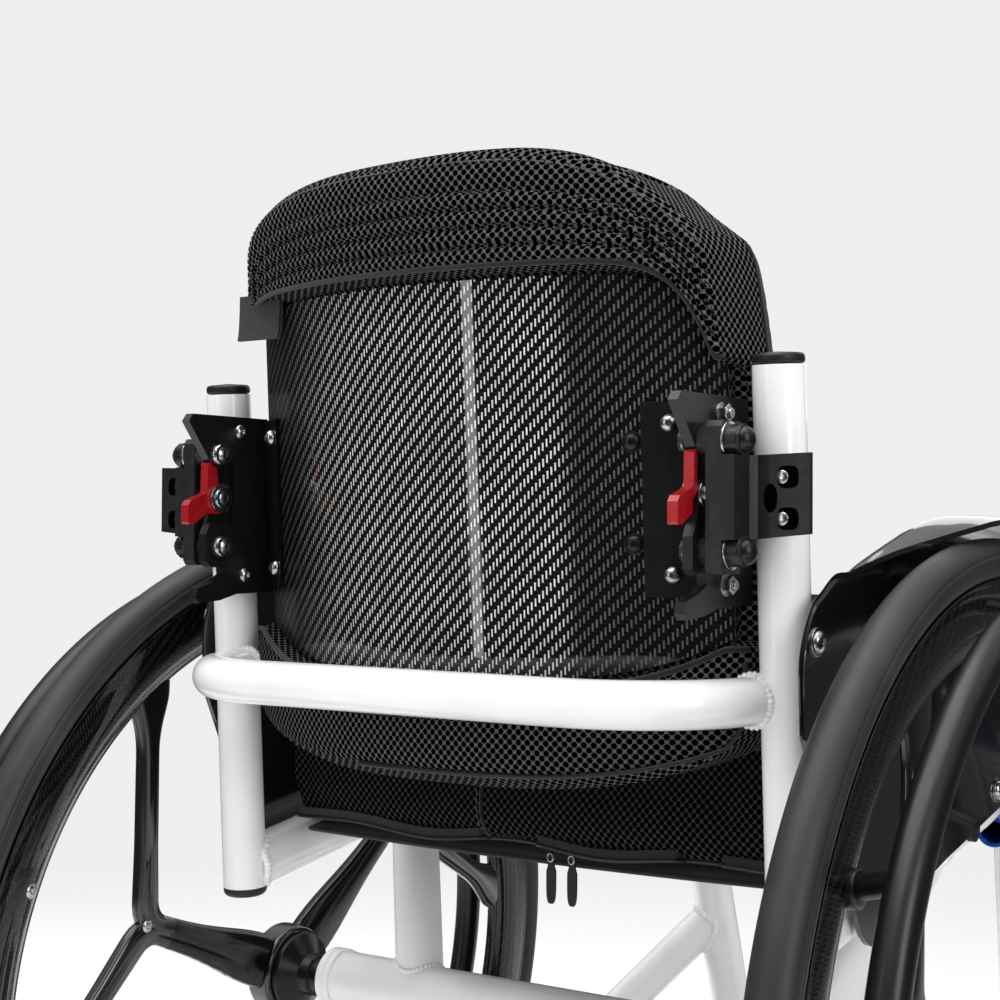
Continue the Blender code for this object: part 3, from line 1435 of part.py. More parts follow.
def make_cane_brackets():
    """Bar with two pins, acorn nuts and a bent flange that lies behind the cane."""
    rear = BAR_REAR_FWD
    ahead = BAR_REAR_FWD + BAR_DEPTH
    outline = [
        (ahead, BAR_HIGH_UP),
        (rear + 0.002, BAR_HIGH_UP),
        (rear, BAR_HIGH_UP - 0.003),
        (rear, BAR_LOW_UP + 0.003),
        (rear + 0.002, BAR_LOW_UP),
        (ahead, BAR_LOW_UP),
    ]
    hook_end = HOOK_OUT + HOOK_THICKNESS
    bar_end = BAR_OUT + BAR_THICKNESS
    raised = bar_end + BAR_RAISED
    for label, side in SIDES:
        bar = finish(f"cane_bracket_{label}", upright_plate(side, outline, BAR_OUT, bar_end), BLACK_METAL)
        tools = []
        for pin in (TOP_PIN, LOW_PIN):
            head = HOOK_OUT - GAP
            tools.append(disc(side, pin, hook_end + GAP, BAR_OUT + 0.001, DISC_RADIUS))
            tools.append(disc(side, pin, head - 0.001, BAR_OUT, PIN_RADIUS))
            tools.append(disc(side, pin, head - PIN_HEAD_LENGTH, head, PIN_HEAD_RADIUS))
            tools.append(disc(side, pin, bar_end - 0.001, bar_end + NUT_LENGTH * 0.72, NUT_RADIUS))
            tools.append(disc(side, pin, bar_end + 0.001, bar_end + NUT_LENGTH, NUT_RADIUS * 0.62))
        back = -FLANGE_BACK
        bend = [
            (bar_end - 0.001, rear),
            (raised, rear),
            (raised, back - 0.003),
            (raised + 0.003, back),
            (FLANGE_OUT_END, back),
            (FLANGE_OUT_END, back + FLANGE_THICKNESS),
            (bar_end - 0.001, back + FLANGE_THICKNESS),
        ]
        shape = prism(
            bend,
            lambda out, fwd: at(side, out, fwd, FLANGE_LOW_UP + FLANGE_TILT * (out - bar_end)),
            lambda out, fwd: at(side, out, fwd, FLANGE_HIGH_UP + FLANGE_TILT * 0.3 * (out - bar_end)),
        )
        tools.append(tool_from(shape))
        join_all(bar, tools, BLACK_METAL)
        make_saddle(label, side)


def make_saddle(label, side):
    """Block between the bent flange and the cane, hollowed to the cane's round."""
    low_up = FLANGE_LOW_UP + 0.005
    high_up = FLANGE_HIGH_UP - 0.003
    back = -FLANGE_BACK + FLANGE_THICKNESS + GAP
    reach = cane_fwd(high_up) - CANE_DIAMETER * 0.18
    outline = [
        (CANE_OUT - CANE_DIAMETER * 0.42, back),
        (CANE_OUT + CANE_DIAMETER * 0.42, back),
        (CANE_OUT + CANE_DIAMETER * 0.42, reach),
        (CANE_OUT - CANE_DIAMETER * 0.42, reach),
    ]
    block = prism(
        outline,
        lambda out, fwd: at(side, out, fwd, low_up),
        lambda out, fwd: at(side, out, fwd, high_up),
    )
    saddle = finish(f"cane_saddle_{label}", block, BLACK_METAL)
    cut_all(saddle, [cane_cutter(side)], BLACK_METAL)
    keep_largest(saddle)


def make_levers():
    """Red two-fingered release levers, each with a thin blade that turns in its hook plate."""
    fingers = [
        (-0.0618, 0.6310),
        (-0.0665, 0.6265),
        (-0.0665, 0.6205),
        (-0.0700, 0.6182),
        (-0.0770, 0.6142),
        (-0.0805, 0.6142),
        (-0.0813, 0.6155),
        (-0.0813, 0.6255),
        (-0.0790, 0.6285),
        (-0.0690, 0.6318),
        (-0.0655, 0.6335),
        (-0.0652, 0.6500),
        (-0.0640, 0.6512),
        (-0.0618, 0.6512),
    ]
    blade = [
        (-0.0475, 0.6375),
        (-0.0455, 0.6300),
        (-0.0475, 0.6225),
        (-0.0560, 0.6205),
        (-0.0680, 0.6210),
        (-0.0680, 0.6300),
        (-0.0640, 0.6320),
        (-0.0635, 0.6495),
        (-0.0580, 0.6495),
        (-0.0565, 0.6390),
    ]
    for label, side in SIDES:
        thin = upright_plate(side, blade, HOOK_OUT, HOOK_OUT + LEVER_BLADE)
        lever = finish(f"release_lever_{label}", thin, RED_METAL)
        thick = upright_plate(side, fingers, HOOK_OUT, HOOK_OUT + HOOK_THICKNESS)
        join_all(lever, [tool_from(thick)], RED_METAL)
        bore = (LEVER_PIN_RADIUS + RUNNING_GAP) / math.cos(math.pi / SMALL_SIDES)
        hole = disc(side, LEVER_PIVOT, HOOK_OUT - 0.01, HOOK_OUT + 0.01, bore)
        cut_all(lever, [hole], RED_METAL)
        with_origin(lever, at(side, HOOK_OUT + HOOK_THICKNESS / 2, *LEVER_PIVOT))


def guard_columns(side):
    """Top of each guard column as (fwd, up, share of the fender's width)."""
    columns = []
    first = GUARD_REAR_EDGE[0][0]
    last = GUARD_FENDER[0][0]
    for fwd, up in GUARD_REAR_EDGE:
        moved = GUARD_REAR_SHIFT[side] * min((last - fwd) / (last - first), 1.0)
        columns.append((fwd + moved, up, 0.03))
    for fwd, share in GUARD_FENDER:
        rise = math.sqrt(GUARD_PLATE_RADIUS ** 2 - (fwd - HUB_FWD) ** 2)
        columns.append((fwd, HUB_UP + rise, share))
    columns += [(fwd, up, 0.03) for fwd, up in GUARD_FRONT_EDGE]
    return columns


def make_guards():
    """Side guards on the rails, with a fender lip curved over the tyre."""
    inner = GUARD_INNER_OUT
    lip = ((0.12, 0.60), (0.35, 1.0), (0.70, 0.97), (1.0, 0.82))
    low_start = GUARD_LOW_EDGE[0][0]
    low_end = GUARD_LOW_EDGE[-1][0]
    for label, side in SIDES:
        columns = guard_columns(side)
        bm = bmesh.new()
        skins = []
        for depth in (0.0, GUARD_THICKNESS):
            skin = []
            for index, (fwd, up, share) in enumerate(columns):
                low_fwd = low_start + (low_end - low_start) * index / (len(columns) - 1)
                low_up = follow(GUARD_LOW_EDGE, low_fwd)
                column = []
                for row in (0.0, 0.5, 1.0):
                    place = (inner + depth, low_fwd + (fwd - low_fwd) * row, low_up + (up - low_up) * row)
                    column.append(bm.verts.new(at(side, *place)))
                outward = Vector((fwd - HUB_FWD, up - HUB_UP)).normalized()
                for wide, high in lip:
                    width = wide * share * GUARD_FENDER_WIDTH
                    curl = wide ** 0.35
                    lift = high * GUARD_CROWN * share ** 1.3 + (GUARD_THICKNESS - depth) * curl
                    reach = inner + width + depth * (1 - curl)
                    place = (reach, fwd + outward.x * lift, up + outward.y * lift)
                    column.append(bm.verts.new(at(side, *place)))
                skin.append(column)
            skins.append(skin)
        stitch_skins(bm, skins)
        guard = finish(f"side_guard_{label}", bm, GUARD_BLACK, sharp=40.0)
        touch = CANE_OUT + RAIL_DIAMETER / 2 + GAP
        spacers = []
        for fwd in GUARD_SPACER_FWD:
            spacers.append(disc(side, (fwd, rail_up(fwd)), touch, inner + 0.001, GUARD_SPACER_RADIUS))
        join_all(guard, spacers, GUARD_BLACK)
        with_origin(guard, at(side, inner, HUB_FWD, rail_up(HUB_FWD)))


def stitch_skins(bm, skins):
    """Faces of two matching grids of vertices, and the rim between them."""
    rows = len(skins[0])
    width = len(skins[0][0])
    for skin in skins:
        for first, second in zip(skin, skin[1:]):
            for step in range(width - 1):
                bm.faces.new((first[step], first[step + 1], second[step + 1], second[step]))
    rim = [(0, step) for step in range(width - 1)] + [(row, width - 1) for row in range(rows - 1)]
    rim += [(rows - 1, step) for step in range(width - 1, 0, -1)]
    rim += [(row, 0) for row in range(rows - 1, 0, -1)]
    for (row, step), (next_row, next_step) in zip(rim, rim[1:] + rim[:1]):
        bm.faces.new(
            (
                skins[0][row][step],
                skins[0][next_row][next_step],
                skins[1][next_row][next_step],
                skins[1][row][step],
            )
        )


def lock_pivot(side):
    """Pivot of a wheel lock, under the seat rail."""
    return at(side, rail_out(LOCK_PIVOT_FWD), LOCK_PIVOT_FWD, rail_up(LOCK_PIVOT_FWD) - LOCK_DROP)


def lock_frame(side):
    """Frame at the pivot: X along the folded bar to the rear, Z square to the seat."""
    back = Vector((0, math.cos(math.radians(SEAT_PITCH)), -math.sin(math.radians(SEAT_PITCH))))
    up = Vector((1, 0, 0)).cross(back)
    splay = Matrix.Rotation(-side * math.radians(LOCK_BAR_SPLAY), 3, up)
    along = splay @ back
    across = up.cross(along)
    turn = Matrix((along, across, up)).transposed().to_4x4()
    return Matrix.Translation(lock_pivot(side)) @ turn


def upright_rod(low, high, radius, sides):
    """Round bar along the local Z axis."""
    return rod(Vector((0, 0, low)), Vector((0, 0, high)), radius, sides)


def lock_pin_hole():
    """Cutter for the hole that runs on a lock's pin."""
    clear = (LOCK_PIN_RADIUS + RUNNING_GAP) / math.cos(math.pi / LOCK_PIN_SIDES)
    return upright_rod(-LOCK_DROP, LOCK_DROP, clear, LOCK_PIN_SIDES)


def make_locks():
    """Wheel locks: saddle under the rail, swinging blue bar and its thumb handle."""
    radius = LOCK_BAR_DIAMETER / 2
    for label, side in SIDES:
        frame = lock_frame(side)
        hinge = empty(f"lock_hinge_{label}", frame)
        bore = radius - LOCK_BAR_WALL
        start = radius + LOCK_BAR_SHOULDER
        profile = [
            (radius * 0.80, radius),
            (radius, start),
            (radius, LOCK_BAR_LENGTH),
            (bore, LOCK_BAR_LENGTH),
            (bore, start + LOCK_BAR_PLUG),
        ]
        bar = finish(f"lock_bar_{label}", turned(profile, LOCK_BAR_SIDES), BLUE_METAL)
        eye = upright_rod(-LOCK_EYE, LOCK_EYE, radius * 0.9, LOCK_BAR_SIDES)
        web_top = LOCK_EYE * 0.98
        web = box(
            Vector((0, -LOCK_WEB_WIDTH / 2, -web_top)),
            Vector((start + LOCK_BAR_SHOULDER, LOCK_WEB_WIDTH / 2, web_top)),
        )
        join_all(bar, [tool_from(eye), tool_from(web)], BLUE_METAL)
        cut_all(bar, [tool_from(lock_pin_hole())], BLUE_METAL)
        bar.matrix_world = frame
        handle = make_lock_handle(label, side, frame)
        make_lock_bracket(label, side, frame)
        carry(hinge, bar)
        carry(hinge, handle)


def make_lock_handle(label, side, frame):
    """Thumb handle that is bolted under the bar's eye and points in and back."""
    outline = [
        (0.050, -0.006),
        (0.050, 0.006),
        (0.012, 0.009),
        (-0.006, 0.009),
        (-0.006, -0.009),
        (0.012, -0.009),
    ]
    high = -LOCK_EYE - GAP
    low = high - LOCK_HANDLE_THICKNESS
    bm = prism(outline, lambda x, y: Vector((x, y, low)), lambda x, y: Vector((x, y, high)))
    handle = finish(f"lock_handle_{label}", bm, BLACK_PLASTIC)
    knob_low = Vector((LOCK_KNOB_REACH, 0, low - LOCK_KNOB_DEPTH))
    knob_high = Vector((LOCK_KNOB_REACH, 0, high))
    knob = tool_from(rod(knob_low, knob_high, LOCK_BAR_DIAMETER * 0.4, LOCK_PIN_SIDES))
    join_all(handle, [knob], BLACK_PLASTIC)
    cut_all(handle, [tool_from(lock_pin_hole())], BLACK_PLASTIC)
    handle.matrix_world = frame @ Matrix.Rotation(side * math.radians(LOCK_HANDLE_TURN), 4, "Z")
    return handle


def make_lock_bracket(label, side, frame):
    """Saddle under the seat rail with the pin that the bar swings on."""
    saddle = tool_from(tube_along(rail_path(side), RAIL_DIAMETER / 2 + LOCK_SADDLE_WALL, TUBE_SIDES))
    reach = LOCK_SADDLE_LENGTH / 2
    window = tool_from(box(Vector((-reach, -0.03, 0.01)), Vector((reach, 0.03, LOCK_SADDLE_HEIGHT))))
    window.matrix_world = frame
    combine(saddle, window, "INTERSECT")
    low = LOCK_EYE + GAP
    head_top = -LOCK_EYE - GAP * 2 - LOCK_HANDLE_THICKNESS
    head_low = head_top - LOCK_PIN_HEAD_LENGTH
    block = upright_rod(low, LOCK_DROP - LOCK_SADDLE_WALL, LOCK_BAR_DIAMETER * 0.465, LOCK_BAR_SIDES)
    bracket = finish(f"lock_bracket_{label}", block, BLACK_METAL)
    pin = tool_from(upright_rod(head_top, low + 0.002, LOCK_PIN_RADIUS, LOCK_PIN_SIDES))
    head = tool_from(upright_rod(head_low, head_top, LOCK_PIN_HEAD_RADIUS, LOCK_PIN_SIDES))
    join_all(bracket, [pin, head], BLACK_METAL)
    bracket.matrix_world = frame
    combine(bracket, saddle, "UNION")
    cutter = tube_along(rail_path(side), clear_radius(RAIL_DIAMETER / 2, TUBE_SIDES), TUBE_SIDES)
    cut_all(bracket, [tool_from(cutter)], BLACK_METAL)
    keep_largest(bracket)


def make_zip_pulls():
    """Two small pulls that hang from the zip along the cushion's lower rear edge."""
    names = ("zip_pull_inner", "zip_pull_outer")
    for name, out in zip(names, ZIP_PULL_OUT):
        place = seat_point(0.0, 0.010, 0.0)
        top = place.z - GAP
        low = top - ZIP_PULL_LENGTH
        half = ZIP_PULL_WIDTH / 2
        outline = [
            (-half * 0.55, top),
            (half * 0.55, top),
            (half, top - 0.008),
            (half, low + 0.002),
            (half * 0.6, low),
            (-half * 0.6, low),
            (-half, low + 0.002),
            (-half, top - 0.008),
        ]
        near = place.y - ZIP_PULL_THICKNESS / 2
        far = place.y + ZIP_PULL_THICKNESS / 2
        bm = prism(
            outline,
            lambda x, z: Vector((x - out, near, z)),
            lambda x, z: Vector((x - out, far, z)),
        )
        pull = finish(name, bm, BLACK_METAL)
        with_origin(pull, Vector((-out, place.y, top)))


def main():
    """Build every piece of the chair."""
    clear_scene()
    make_canes()
    make_rails()
    make_push_bar()
    make_camber_tube()
    make_posts()
    make_rear_wheels()
    make_casters()
    make_footrest()
    make_sling()
    make_cushion()
    make_shell()
    make_pad()
    make_shell_brackets()
    make_cane_brackets()
    make_levers()
    make_guards()
    make_locks()
    make_zip_pulls()


main()
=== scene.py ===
"""Looks of the ultralight wheelchair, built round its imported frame.

The chair faces -Y, its user's left is at +X and the floor is at Z = 0.  Places are worked out
as (out, fwd, up): out from the middle plane, fwd ahead of the foot of the back canes, and up
from the floor.  Sizes are in metres and degrees.
"""
import json
from math import acos, asin, copysign, cos, degrees, exp, pi, radians, sin, sqrt, tan

import bmesh
import bpy
from bpy.props import FloatProperty, FloatVectorProperty, IntProperty, PointerProperty
from bpy.types import Operator, Panel, PropertyGroup
from mathutils import Matrix, Vector
from mathutils.bvhtree import BVHTree


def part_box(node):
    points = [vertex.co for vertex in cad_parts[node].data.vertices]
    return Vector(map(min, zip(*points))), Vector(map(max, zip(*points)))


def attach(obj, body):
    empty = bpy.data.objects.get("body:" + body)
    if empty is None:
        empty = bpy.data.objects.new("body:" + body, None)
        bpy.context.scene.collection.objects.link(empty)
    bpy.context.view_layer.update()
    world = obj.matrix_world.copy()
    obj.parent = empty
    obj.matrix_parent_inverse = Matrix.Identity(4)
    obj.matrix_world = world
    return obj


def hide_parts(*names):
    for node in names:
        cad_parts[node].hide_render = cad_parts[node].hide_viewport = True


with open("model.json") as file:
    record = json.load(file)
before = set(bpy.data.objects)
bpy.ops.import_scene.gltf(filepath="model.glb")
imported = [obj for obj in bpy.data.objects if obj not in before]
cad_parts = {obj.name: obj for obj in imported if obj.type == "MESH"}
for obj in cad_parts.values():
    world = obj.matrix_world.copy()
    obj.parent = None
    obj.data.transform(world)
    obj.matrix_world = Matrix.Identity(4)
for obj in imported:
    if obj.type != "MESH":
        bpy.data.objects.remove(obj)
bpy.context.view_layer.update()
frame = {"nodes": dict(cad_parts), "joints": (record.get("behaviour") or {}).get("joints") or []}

bl_info = {
    "name": "Wheelchair Looks",
    "version": (1, 0, 0),
    "blender": (4, 5, 0),
    "location": "View3D > Sidebar > Wheelchair",
    "description": "Builds the fine surfaces, materials and stage of a rigid wheelchair",
    "category": "Object",
}

LEFT = 1
RIGHT = -1
SIDES = (("left", LEFT), ("right", RIGHT))
BODY = "frame"

# Directions
LEFTWARD = Vector((1, 0, 0))
REARWARD = Vector((0, 1, 0))
UPWARD = Vector((0, 0, 1))

# Sides of round pieces
WIRE_SIDES = 12
SMALL_SIDES = 48
TUBE_SIDES = 72
WIDE_SIDES = 96
WHEEL_SIDES = 256

# Places read from the frame
JOINT = {joint["name"]: joint for joint in frame["joints"]}
CANE_LOW, CANE_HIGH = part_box("back_cane_left")
TUBE_END_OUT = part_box("camber_tube")[1].x
CENTRE_FWD = 0.22275
HUB_OUT, HUB_BACK, HUB_UP = JOINT["rear_wheel_spin_left"]["pos_m"]
HUB_FWD = CENTRE_FWD - HUB_BACK
CAMBER = degrees(asin(JOINT["rear_wheel_spin_left"]["axis"][2]))
CASTER_OUT, CASTER_BACK, FORK_TOP_UP = JOINT["caster_swivel_turn_left"]["pos_m"]
CASTER_FWD = CENTRE_FWD - CASTER_BACK
_, AXLE_BACK, CASTER_RADIUS = JOINT["caster_wheel_spin_left"]["pos_m"]
CASTER_TRAIL = abs(AXLE_BACK - CASTER_BACK)

# Tubes of the frame
CANE_DIAMETER = 0.027
CANE_OUT = (CANE_LOW.x + CANE_HIGH.x) / 2
CANE_FOOT_UP = 0.388
CANE_TOP_UP = 0.6955
CANE_RAKE = 3.5
RAIL_DIAMETER = 0.0318
RAIL_REAR_UP = 0.4003
SEAT_PITCH = 10.0
TAPER_START_FWD = 0.270
SEAT_FRONT_FWD = 0.458
FRONT_OUT = 0.138
FRONT_BEND_RADIUS = 0.070
DOWN_TUBE_LOW = (0.121, 0.543, 0.135)
DOWN_TUBE_SOCKET = 0.085
PUSH_BAR_DIAMETER = 0.025
PUSH_BAR_UP = 0.525
PUSH_BAR_OUT = 0.175
PUSH_BAR_BACK = 0.087
PUSH_BAR_BEND = 0.070
CAMBER_TUBE_DIAMETER = 0.038
COLLAR_RADIUS = 0.0205
COLLAR_LENGTH = 0.0115
POST_DIAMETER = 0.032
POST_FOOT_OUT = 0.1415
POST_HEAD_FWD = 0.172
FOOT_TUBE_DIAMETER = 0.0254
FOOT_TUBE_LOW_UP = 0.084
FOOT_TUBE_BEND = 0.040
CASTER_ARM_DIAMETER = 0.030
CASTER_ARM_ROOT_UP = 0.297
CASTER_TYRE_WIDTH = 0.026
HOUSING_RADIUS = 0.0165
HOUSING_HEIGHT = 0.062
WELD_RIPPLE = 0.0026

# Rear wheels
WHEEL_RADIUS = 0.3045
TYRE_SECTION = 0.025
RIM_OUTER = 0.2815
RIM_INNER = 0.2445
RIM_WIDTH = 0.0225
RIM_INNER_WIDTH = 0.007
SPOKE_JUNCTION = 0.148
SPOKE_SPLAY = 35.0
SPOKE_COUNT = 3
SPOKE_ANGLE = {LEFT: 159.0, RIGHT: 151.0}
STANDOFF_ANGLE = {LEFT: 159.0, RIGHT: 145.3}
HUB_BOSS_RADIUS = 0.031
HUB_BOSS_WIDTH = 0.020
HUB_BARREL_RADIUS = 0.018
HUB_INNER_END = -0.0385
HUB_OUTER_END = 0.0252
HANDRIM_RADIUS = 0.274
HANDRIM_TUBE = 0.0196
HANDRIM_OFFSET = 0.043
STANDOFF_COUNT = 6
STANDOFF_CIRCLE = 0.2585
AXLE_HEAD_RADIUS = 0.0105
AXLE_HEAD_LENGTH = 0.0105
BUTTON_RADIUS = 0.0050
BUTTON_PROUD = 0.0048
TYRE_LINES = (74.0, 92.0)
WHEEL_FACES = ((1, "outer"), (-1, "inner"))

# Back shell and pad
SHELL_HALF_WIDTH = 0.160
SHELL_RADIUS = 0.267
SHELL_BEHIND_CANES = 0.050
SHELL_THICKNESS = 0.0045
SHELL_BOTTOM_UP = 0.532
SHELL_TOP_UP = 0.7445
SHELL_BOTTOM_RISE = 0.024
SHELL_TOP_FALL = {LEFT: 0.016, RIGHT: 0.050}
PAD_HALF_WIDTH = 0.1755
PAD_FRONT = 0.0475
PAD_SIDE_FRONT = 0.078
PAD_FRONT_CORNER = 0.024
PAD_COLUMNS = 72
PAD_SIDE_STEPS = 9
PAD_BOTTOM_UP = 0.4725
PAD_BOTTOM_RISE = 0.020
PAD_BOTTOM_ROUNDING = 0.0475
PAD_BOTTOM_POWERS = (2.05, 2.65)
PAD_TOP_UP = 0.8129
PAD_CORNER_UP = 0.760
PAD_TOP_ROUNDING = 0.1423
PAD_TOP_POWERS = (2.39, 3.97)
PAD_TILT = 0.030
PAD_LEAN = 0.0106
PAD_LEAN_START_UP = 0.752
PAD_LEAN_END_UP = 0.790
SIDE_SEAM = 5
PAD_HEM = 0.0018
PAD_NARROWING = 0.003
PAD_WRAP = 0.0115
PAD_POCKET = 0.008
PAD_RIDGES = 4
PAD_RIDGE_PITCH = 0.0105
STITCH_LENGTH = 0.0030
STITCH_GAP = 0.0016
STITCH_RADIUS = 0.00035

# Seat
CUSHION_WIDTH = 0.386
CUSHION_DEPTH = 0.410
CUSHION_THICKNESS = 0.078
CUSHION_CROWN = 0.012
CUSHION_REAR_FWD = 0.027
CUSHION_DRAW_IN = 0.004
CUSHION_CHANNEL = 0.004
CUSHION_MOST_PUFF = 0.0065
CUSHION_GRAIN = 0.005
CUSHION_ROUNDING = 0.006
CLOTH = {
    "quality": 6,
    "mass": 0.25,
    "tension_stiffness": 18,
    "compression_stiffness": 12,
    "shear_stiffness": 8,
    "bending_stiffness": 0.6,
    "use_pressure": True,
    "vertex_group_mass": "sewn",
}
ZIP_TAPE_WIDTH = 0.005
ZIP_TAPE_RISE = 0.0032
SLING_TOP = 0.012
SLING_SAG = 0.0022
SLING_REAR_FWD = 0.046
SLING_FRONT_FWD = 0.425

# Back mounting hardware, as places on the canes
HOOK_OUT = 0.1618
HOOK_THICKNESS = 0.0058
PINS = (("upper", (-0.057, 0.6560)), ("lower", (-0.0550, 0.6012)))
LEVER_PIVOT = (-0.0550, 0.630)
BAR_OUT = 0.1736
BAR_THICKNESS = 0.0088
FLANGE_BACK = 0.0455

# Side guards
GUARD_THICKNESS = 0.003
GUARD_INNER_OUT = 0.2095
GUARD_SPACER_FWD = (0.060, 0.200)
GUARD_PLATE_RADIUS = 0.3010
GUARD_CROWN = 0.0131
GUARD_FENDER_WIDTH = 0.0535
GUARD_BOLTS = ((-0.0208, 0.5565), (0.2282, 0.4565))
GUARD_REAR_SHIFT = {LEFT: 0.018, RIGHT: 0.0}
GUARD_REAR_EDGE = (
    (-0.0334, 0.5088), (-0.0351, 0.5400), (-0.0314, 0.5566), (-0.0225, 0.5719), (-0.0112, 0.5786),
    (0.0040, 0.5868),
)
GUARD_FENDER = (
    (0.0174, 0.07), (0.0300, 0.17), (0.0480, 0.34), (0.0630, 0.60), (0.0780, 0.86), (0.1000, 1.0),
    (0.1400, 1.0), (0.1800, 1.0), (0.2200, 1.0), (0.2450, 0.65), (0.2620, 0.22),
)
GUARD_FRONT_EDGE = ((0.2850, 0.5450), (0.3000, 0.4950))
GUARD_LIP = ((0, 0), (0.12, 0.60), (0.35, 1.0), (0.70, 0.97), (1.0, 0.82))
GUARD_LOW_EDGE = (
    (0.0340, 0.4020), (0.0450, 0.3945), (0.0600, 0.3970), (0.1000, 0.4120), (0.1422, 0.4244),
    (0.1710, 0.4310), (0.2107, 0.4404), (0.3060, 0.4620),
)

# Wheel locks
LOCK_BAR_DIAMETER = 0.021
LOCK_BAR_LENGTH = 0.112
LOCK_BAR_WALL = 0.003
LOCK_BAR_SPLAY = 15.0

# Fittings that show on the back
SHELL_BOLT_OUT = 0.1165
SHELL_BOLT_UP = (("upper", 0.6574), ("lower", 0.6045))
HOOK_BOLTS = (("upper", (-0.038, 0.6705)), ("lower", (-0.033, 0.5840)))
FLANGE_BOLT_OUT = {LEFT: 0.1440, RIGHT: 0.1335}
FLANGE_BOLT_UP = (("upper", 0.6670), ("lower", 0.5885))
TAG_SIZE = (0.034, 0.027)
TAG_PLACE = (0.1385, 0.7515)

# Camera of the photograph
CAMERA_OUT = -0.6152
CAMERA_BEHIND = 0.8623
CAMERA_UP = 0.6074
CAMERA_YAW = 35.299
CAMERA_PITCH = 1.164
CAMERA_ROLL = 0.316
CAMERA_LENS = 66.65
CAMERA_SENSOR = 36.0

PITCH_SLOPE = tan(radians(SEAT_PITCH))
RAKE_SLOPE = tan(radians(CANE_RAKE))


def at(side, out, fwd, up):
    """World point from a distance out, ahead of the cane foot and above the floor."""
    return Vector((side * out, CENTRE_FWD - fwd, up))


def cane_fwd(up):
    """How far ahead of the cane foot the raked cane line is at a height."""
    return -(up - CANE_FOOT_UP) * RAKE_SLOPE


def cane_point(side, up):
    """Point on a back cane's centre line."""
    return at(side, CANE_OUT, cane_fwd(up), up)


def cane_direction(side):
    """Direction up a back cane."""
    return cane_point(side, 0.6) - cane_point(side, 0.4)


def rail_up(fwd):
    """Height of the seat rail's centre line."""
    return RAIL_REAR_UP + fwd * PITCH_SLOPE


def clamped(value):
    """The value, held between 0 and 1."""
    return min(max(value, 0.0), 1.0)


def mixed(first, second, share):
    """The value at a share of the way from the first to the second."""
    return first + (second - first) * share


def rail_out(fwd):
    """Distance of the seat rail's centre line from the middle plane."""
    share = clamped((fwd - TAPER_START_FWD) / (SEAT_FRONT_FWD - TAPER_START_FWD))
    return mixed(CANE_OUT, FRONT_OUT, share)


def smooth_step(value, low, high):
    """0 below low, 1 above high and an even ease between."""
    share = clamped((value - low) / (high - low))
    return share * share * (3 - 2 * share)


def shares(count):
    """Even shares from 0 to 1."""
    return [step / count for step in range(count + 1)]


def smooth_line(points, steps):
    """Points of a smooth curve that passes through the given ones."""
    points = [Vector(point) for point in points]
    ends = [points[0] * 2 - points[1], *points, points[-1] * 2 - points[-2]]
    line = []
    for p0, p1, p2, p3 in zip(ends, ends[1:], ends[2:], ends[3:]):
        for t in shares(steps)[:-1]:
            bend = (p0 * 2 - p1 * 5 + p2 * 4 - p3) * t ** 2 + (p1 * 3 - p0 - p2 * 3 + p3) * t ** 3
            line.append((p1 * 2 + (p2 - p0) * t + bend) * 0.5)
    return line + [points[-1]]


def arc_point(start, pull, end, t):
    """Point on the arc from start to end that leans towards pull."""
    return start.lerp(pull, t).lerp(pull.lerp(end, t), t)


def circle(count, shift=0.0):
    """Cosines and sines of even turns, moved on by a part of a step."""
    turns = [2 * pi * (step + shift) / count for step in range(count)]
    return [(cos(turn), sin(turn)) for turn in turns]


def squared(count, power):
    """Points of a circle that is squared off a little."""
    return [[copysign(abs(part) ** power, part) for part in spot] for spot in circle(count)]


def mirrored(half, middle=()):
    """A (radius, along) profile from its inner half, the points in its middle and the half mirrored."""
    return [*half, *middle, *((radius, -along) for radius, along in reversed(half))]


def bent_path(points, radii, steps=14):
    """Straight runs between points, with each inner corner rounded to its radius."""
    path = [points[0].copy()]
    for before, corner, after, radius in zip(points, points[1:-1], points[2:], radii):
        arrive = (corner - before).normalized()
        leave = (after - corner).normalized()
        turn = arrive.angle(leave)
        normal = (leave - arrive * arrive.dot(leave)).normalized()
        centre = corner - arrive * radius * tan(turn / 2) + normal * radius
        for angle in (turn * share for share in shares(steps)):
            path.append(centre - normal * radius * cos(angle) + arrive * radius * sin(angle))
    return path + [points[-1].copy()]


def bridge(bm, low, high, closed=True):
    """Faces between two matching rows of vertices."""
    for step in range(len(low) if closed else len(low) - 1):
        after = (step + 1) % len(low)
        bm.faces.new((low[step], low[after], high[after], high[step]))


def loft(loops, closed=False):
    """Skin a list of matching closed loops of points, capped at its ends unless it is closed too."""
    bm = bmesh.new()
    rows = [[bm.verts.new(point) for point in loop] for loop in loops]
    for low, high in zip(rows, rows[1:] + (rows[:1] if closed else [])):
        bridge(bm, low, high)
    if not closed:
        bm.faces.new(rows[0])
        bm.faces.new(rows[-1][::-1])
    return bm


def turned(profile, sides=TUBE_SIDES, ring=False, place=None):
    """Turn (radius, along) points about X, in a place if one is given; a ring's profile is closed."""
    spots = circle(sides)
    loops = [[Vector((along, radius * c, radius * s)) for c, s in spots] for radius, along in profile]
    bm = loft(loops, ring)
    if place is not None:
        bm.transform(place)
    return bm


def rounded(profile, radius, steps=3):
    """A profile whose corners are cut to small arcs, for soft machined edges."""
    points = [Vector((*point, 0)) for point in profile]
    made = [points[0]]
    for before, corner, after in zip(points, points[1:], points[2:]):
        reach = min(radius, (corner - before).length * 0.45, (after - corner).length * 0.45)
        start = corner + (before - corner).normalized() * reach
        end = corner + (after - corner).normalized() * reach
        made += [arc_point(start, corner, end, t) for t in shares(steps)]
    return [(point.x, point.y) for point in made + points[-1:]]


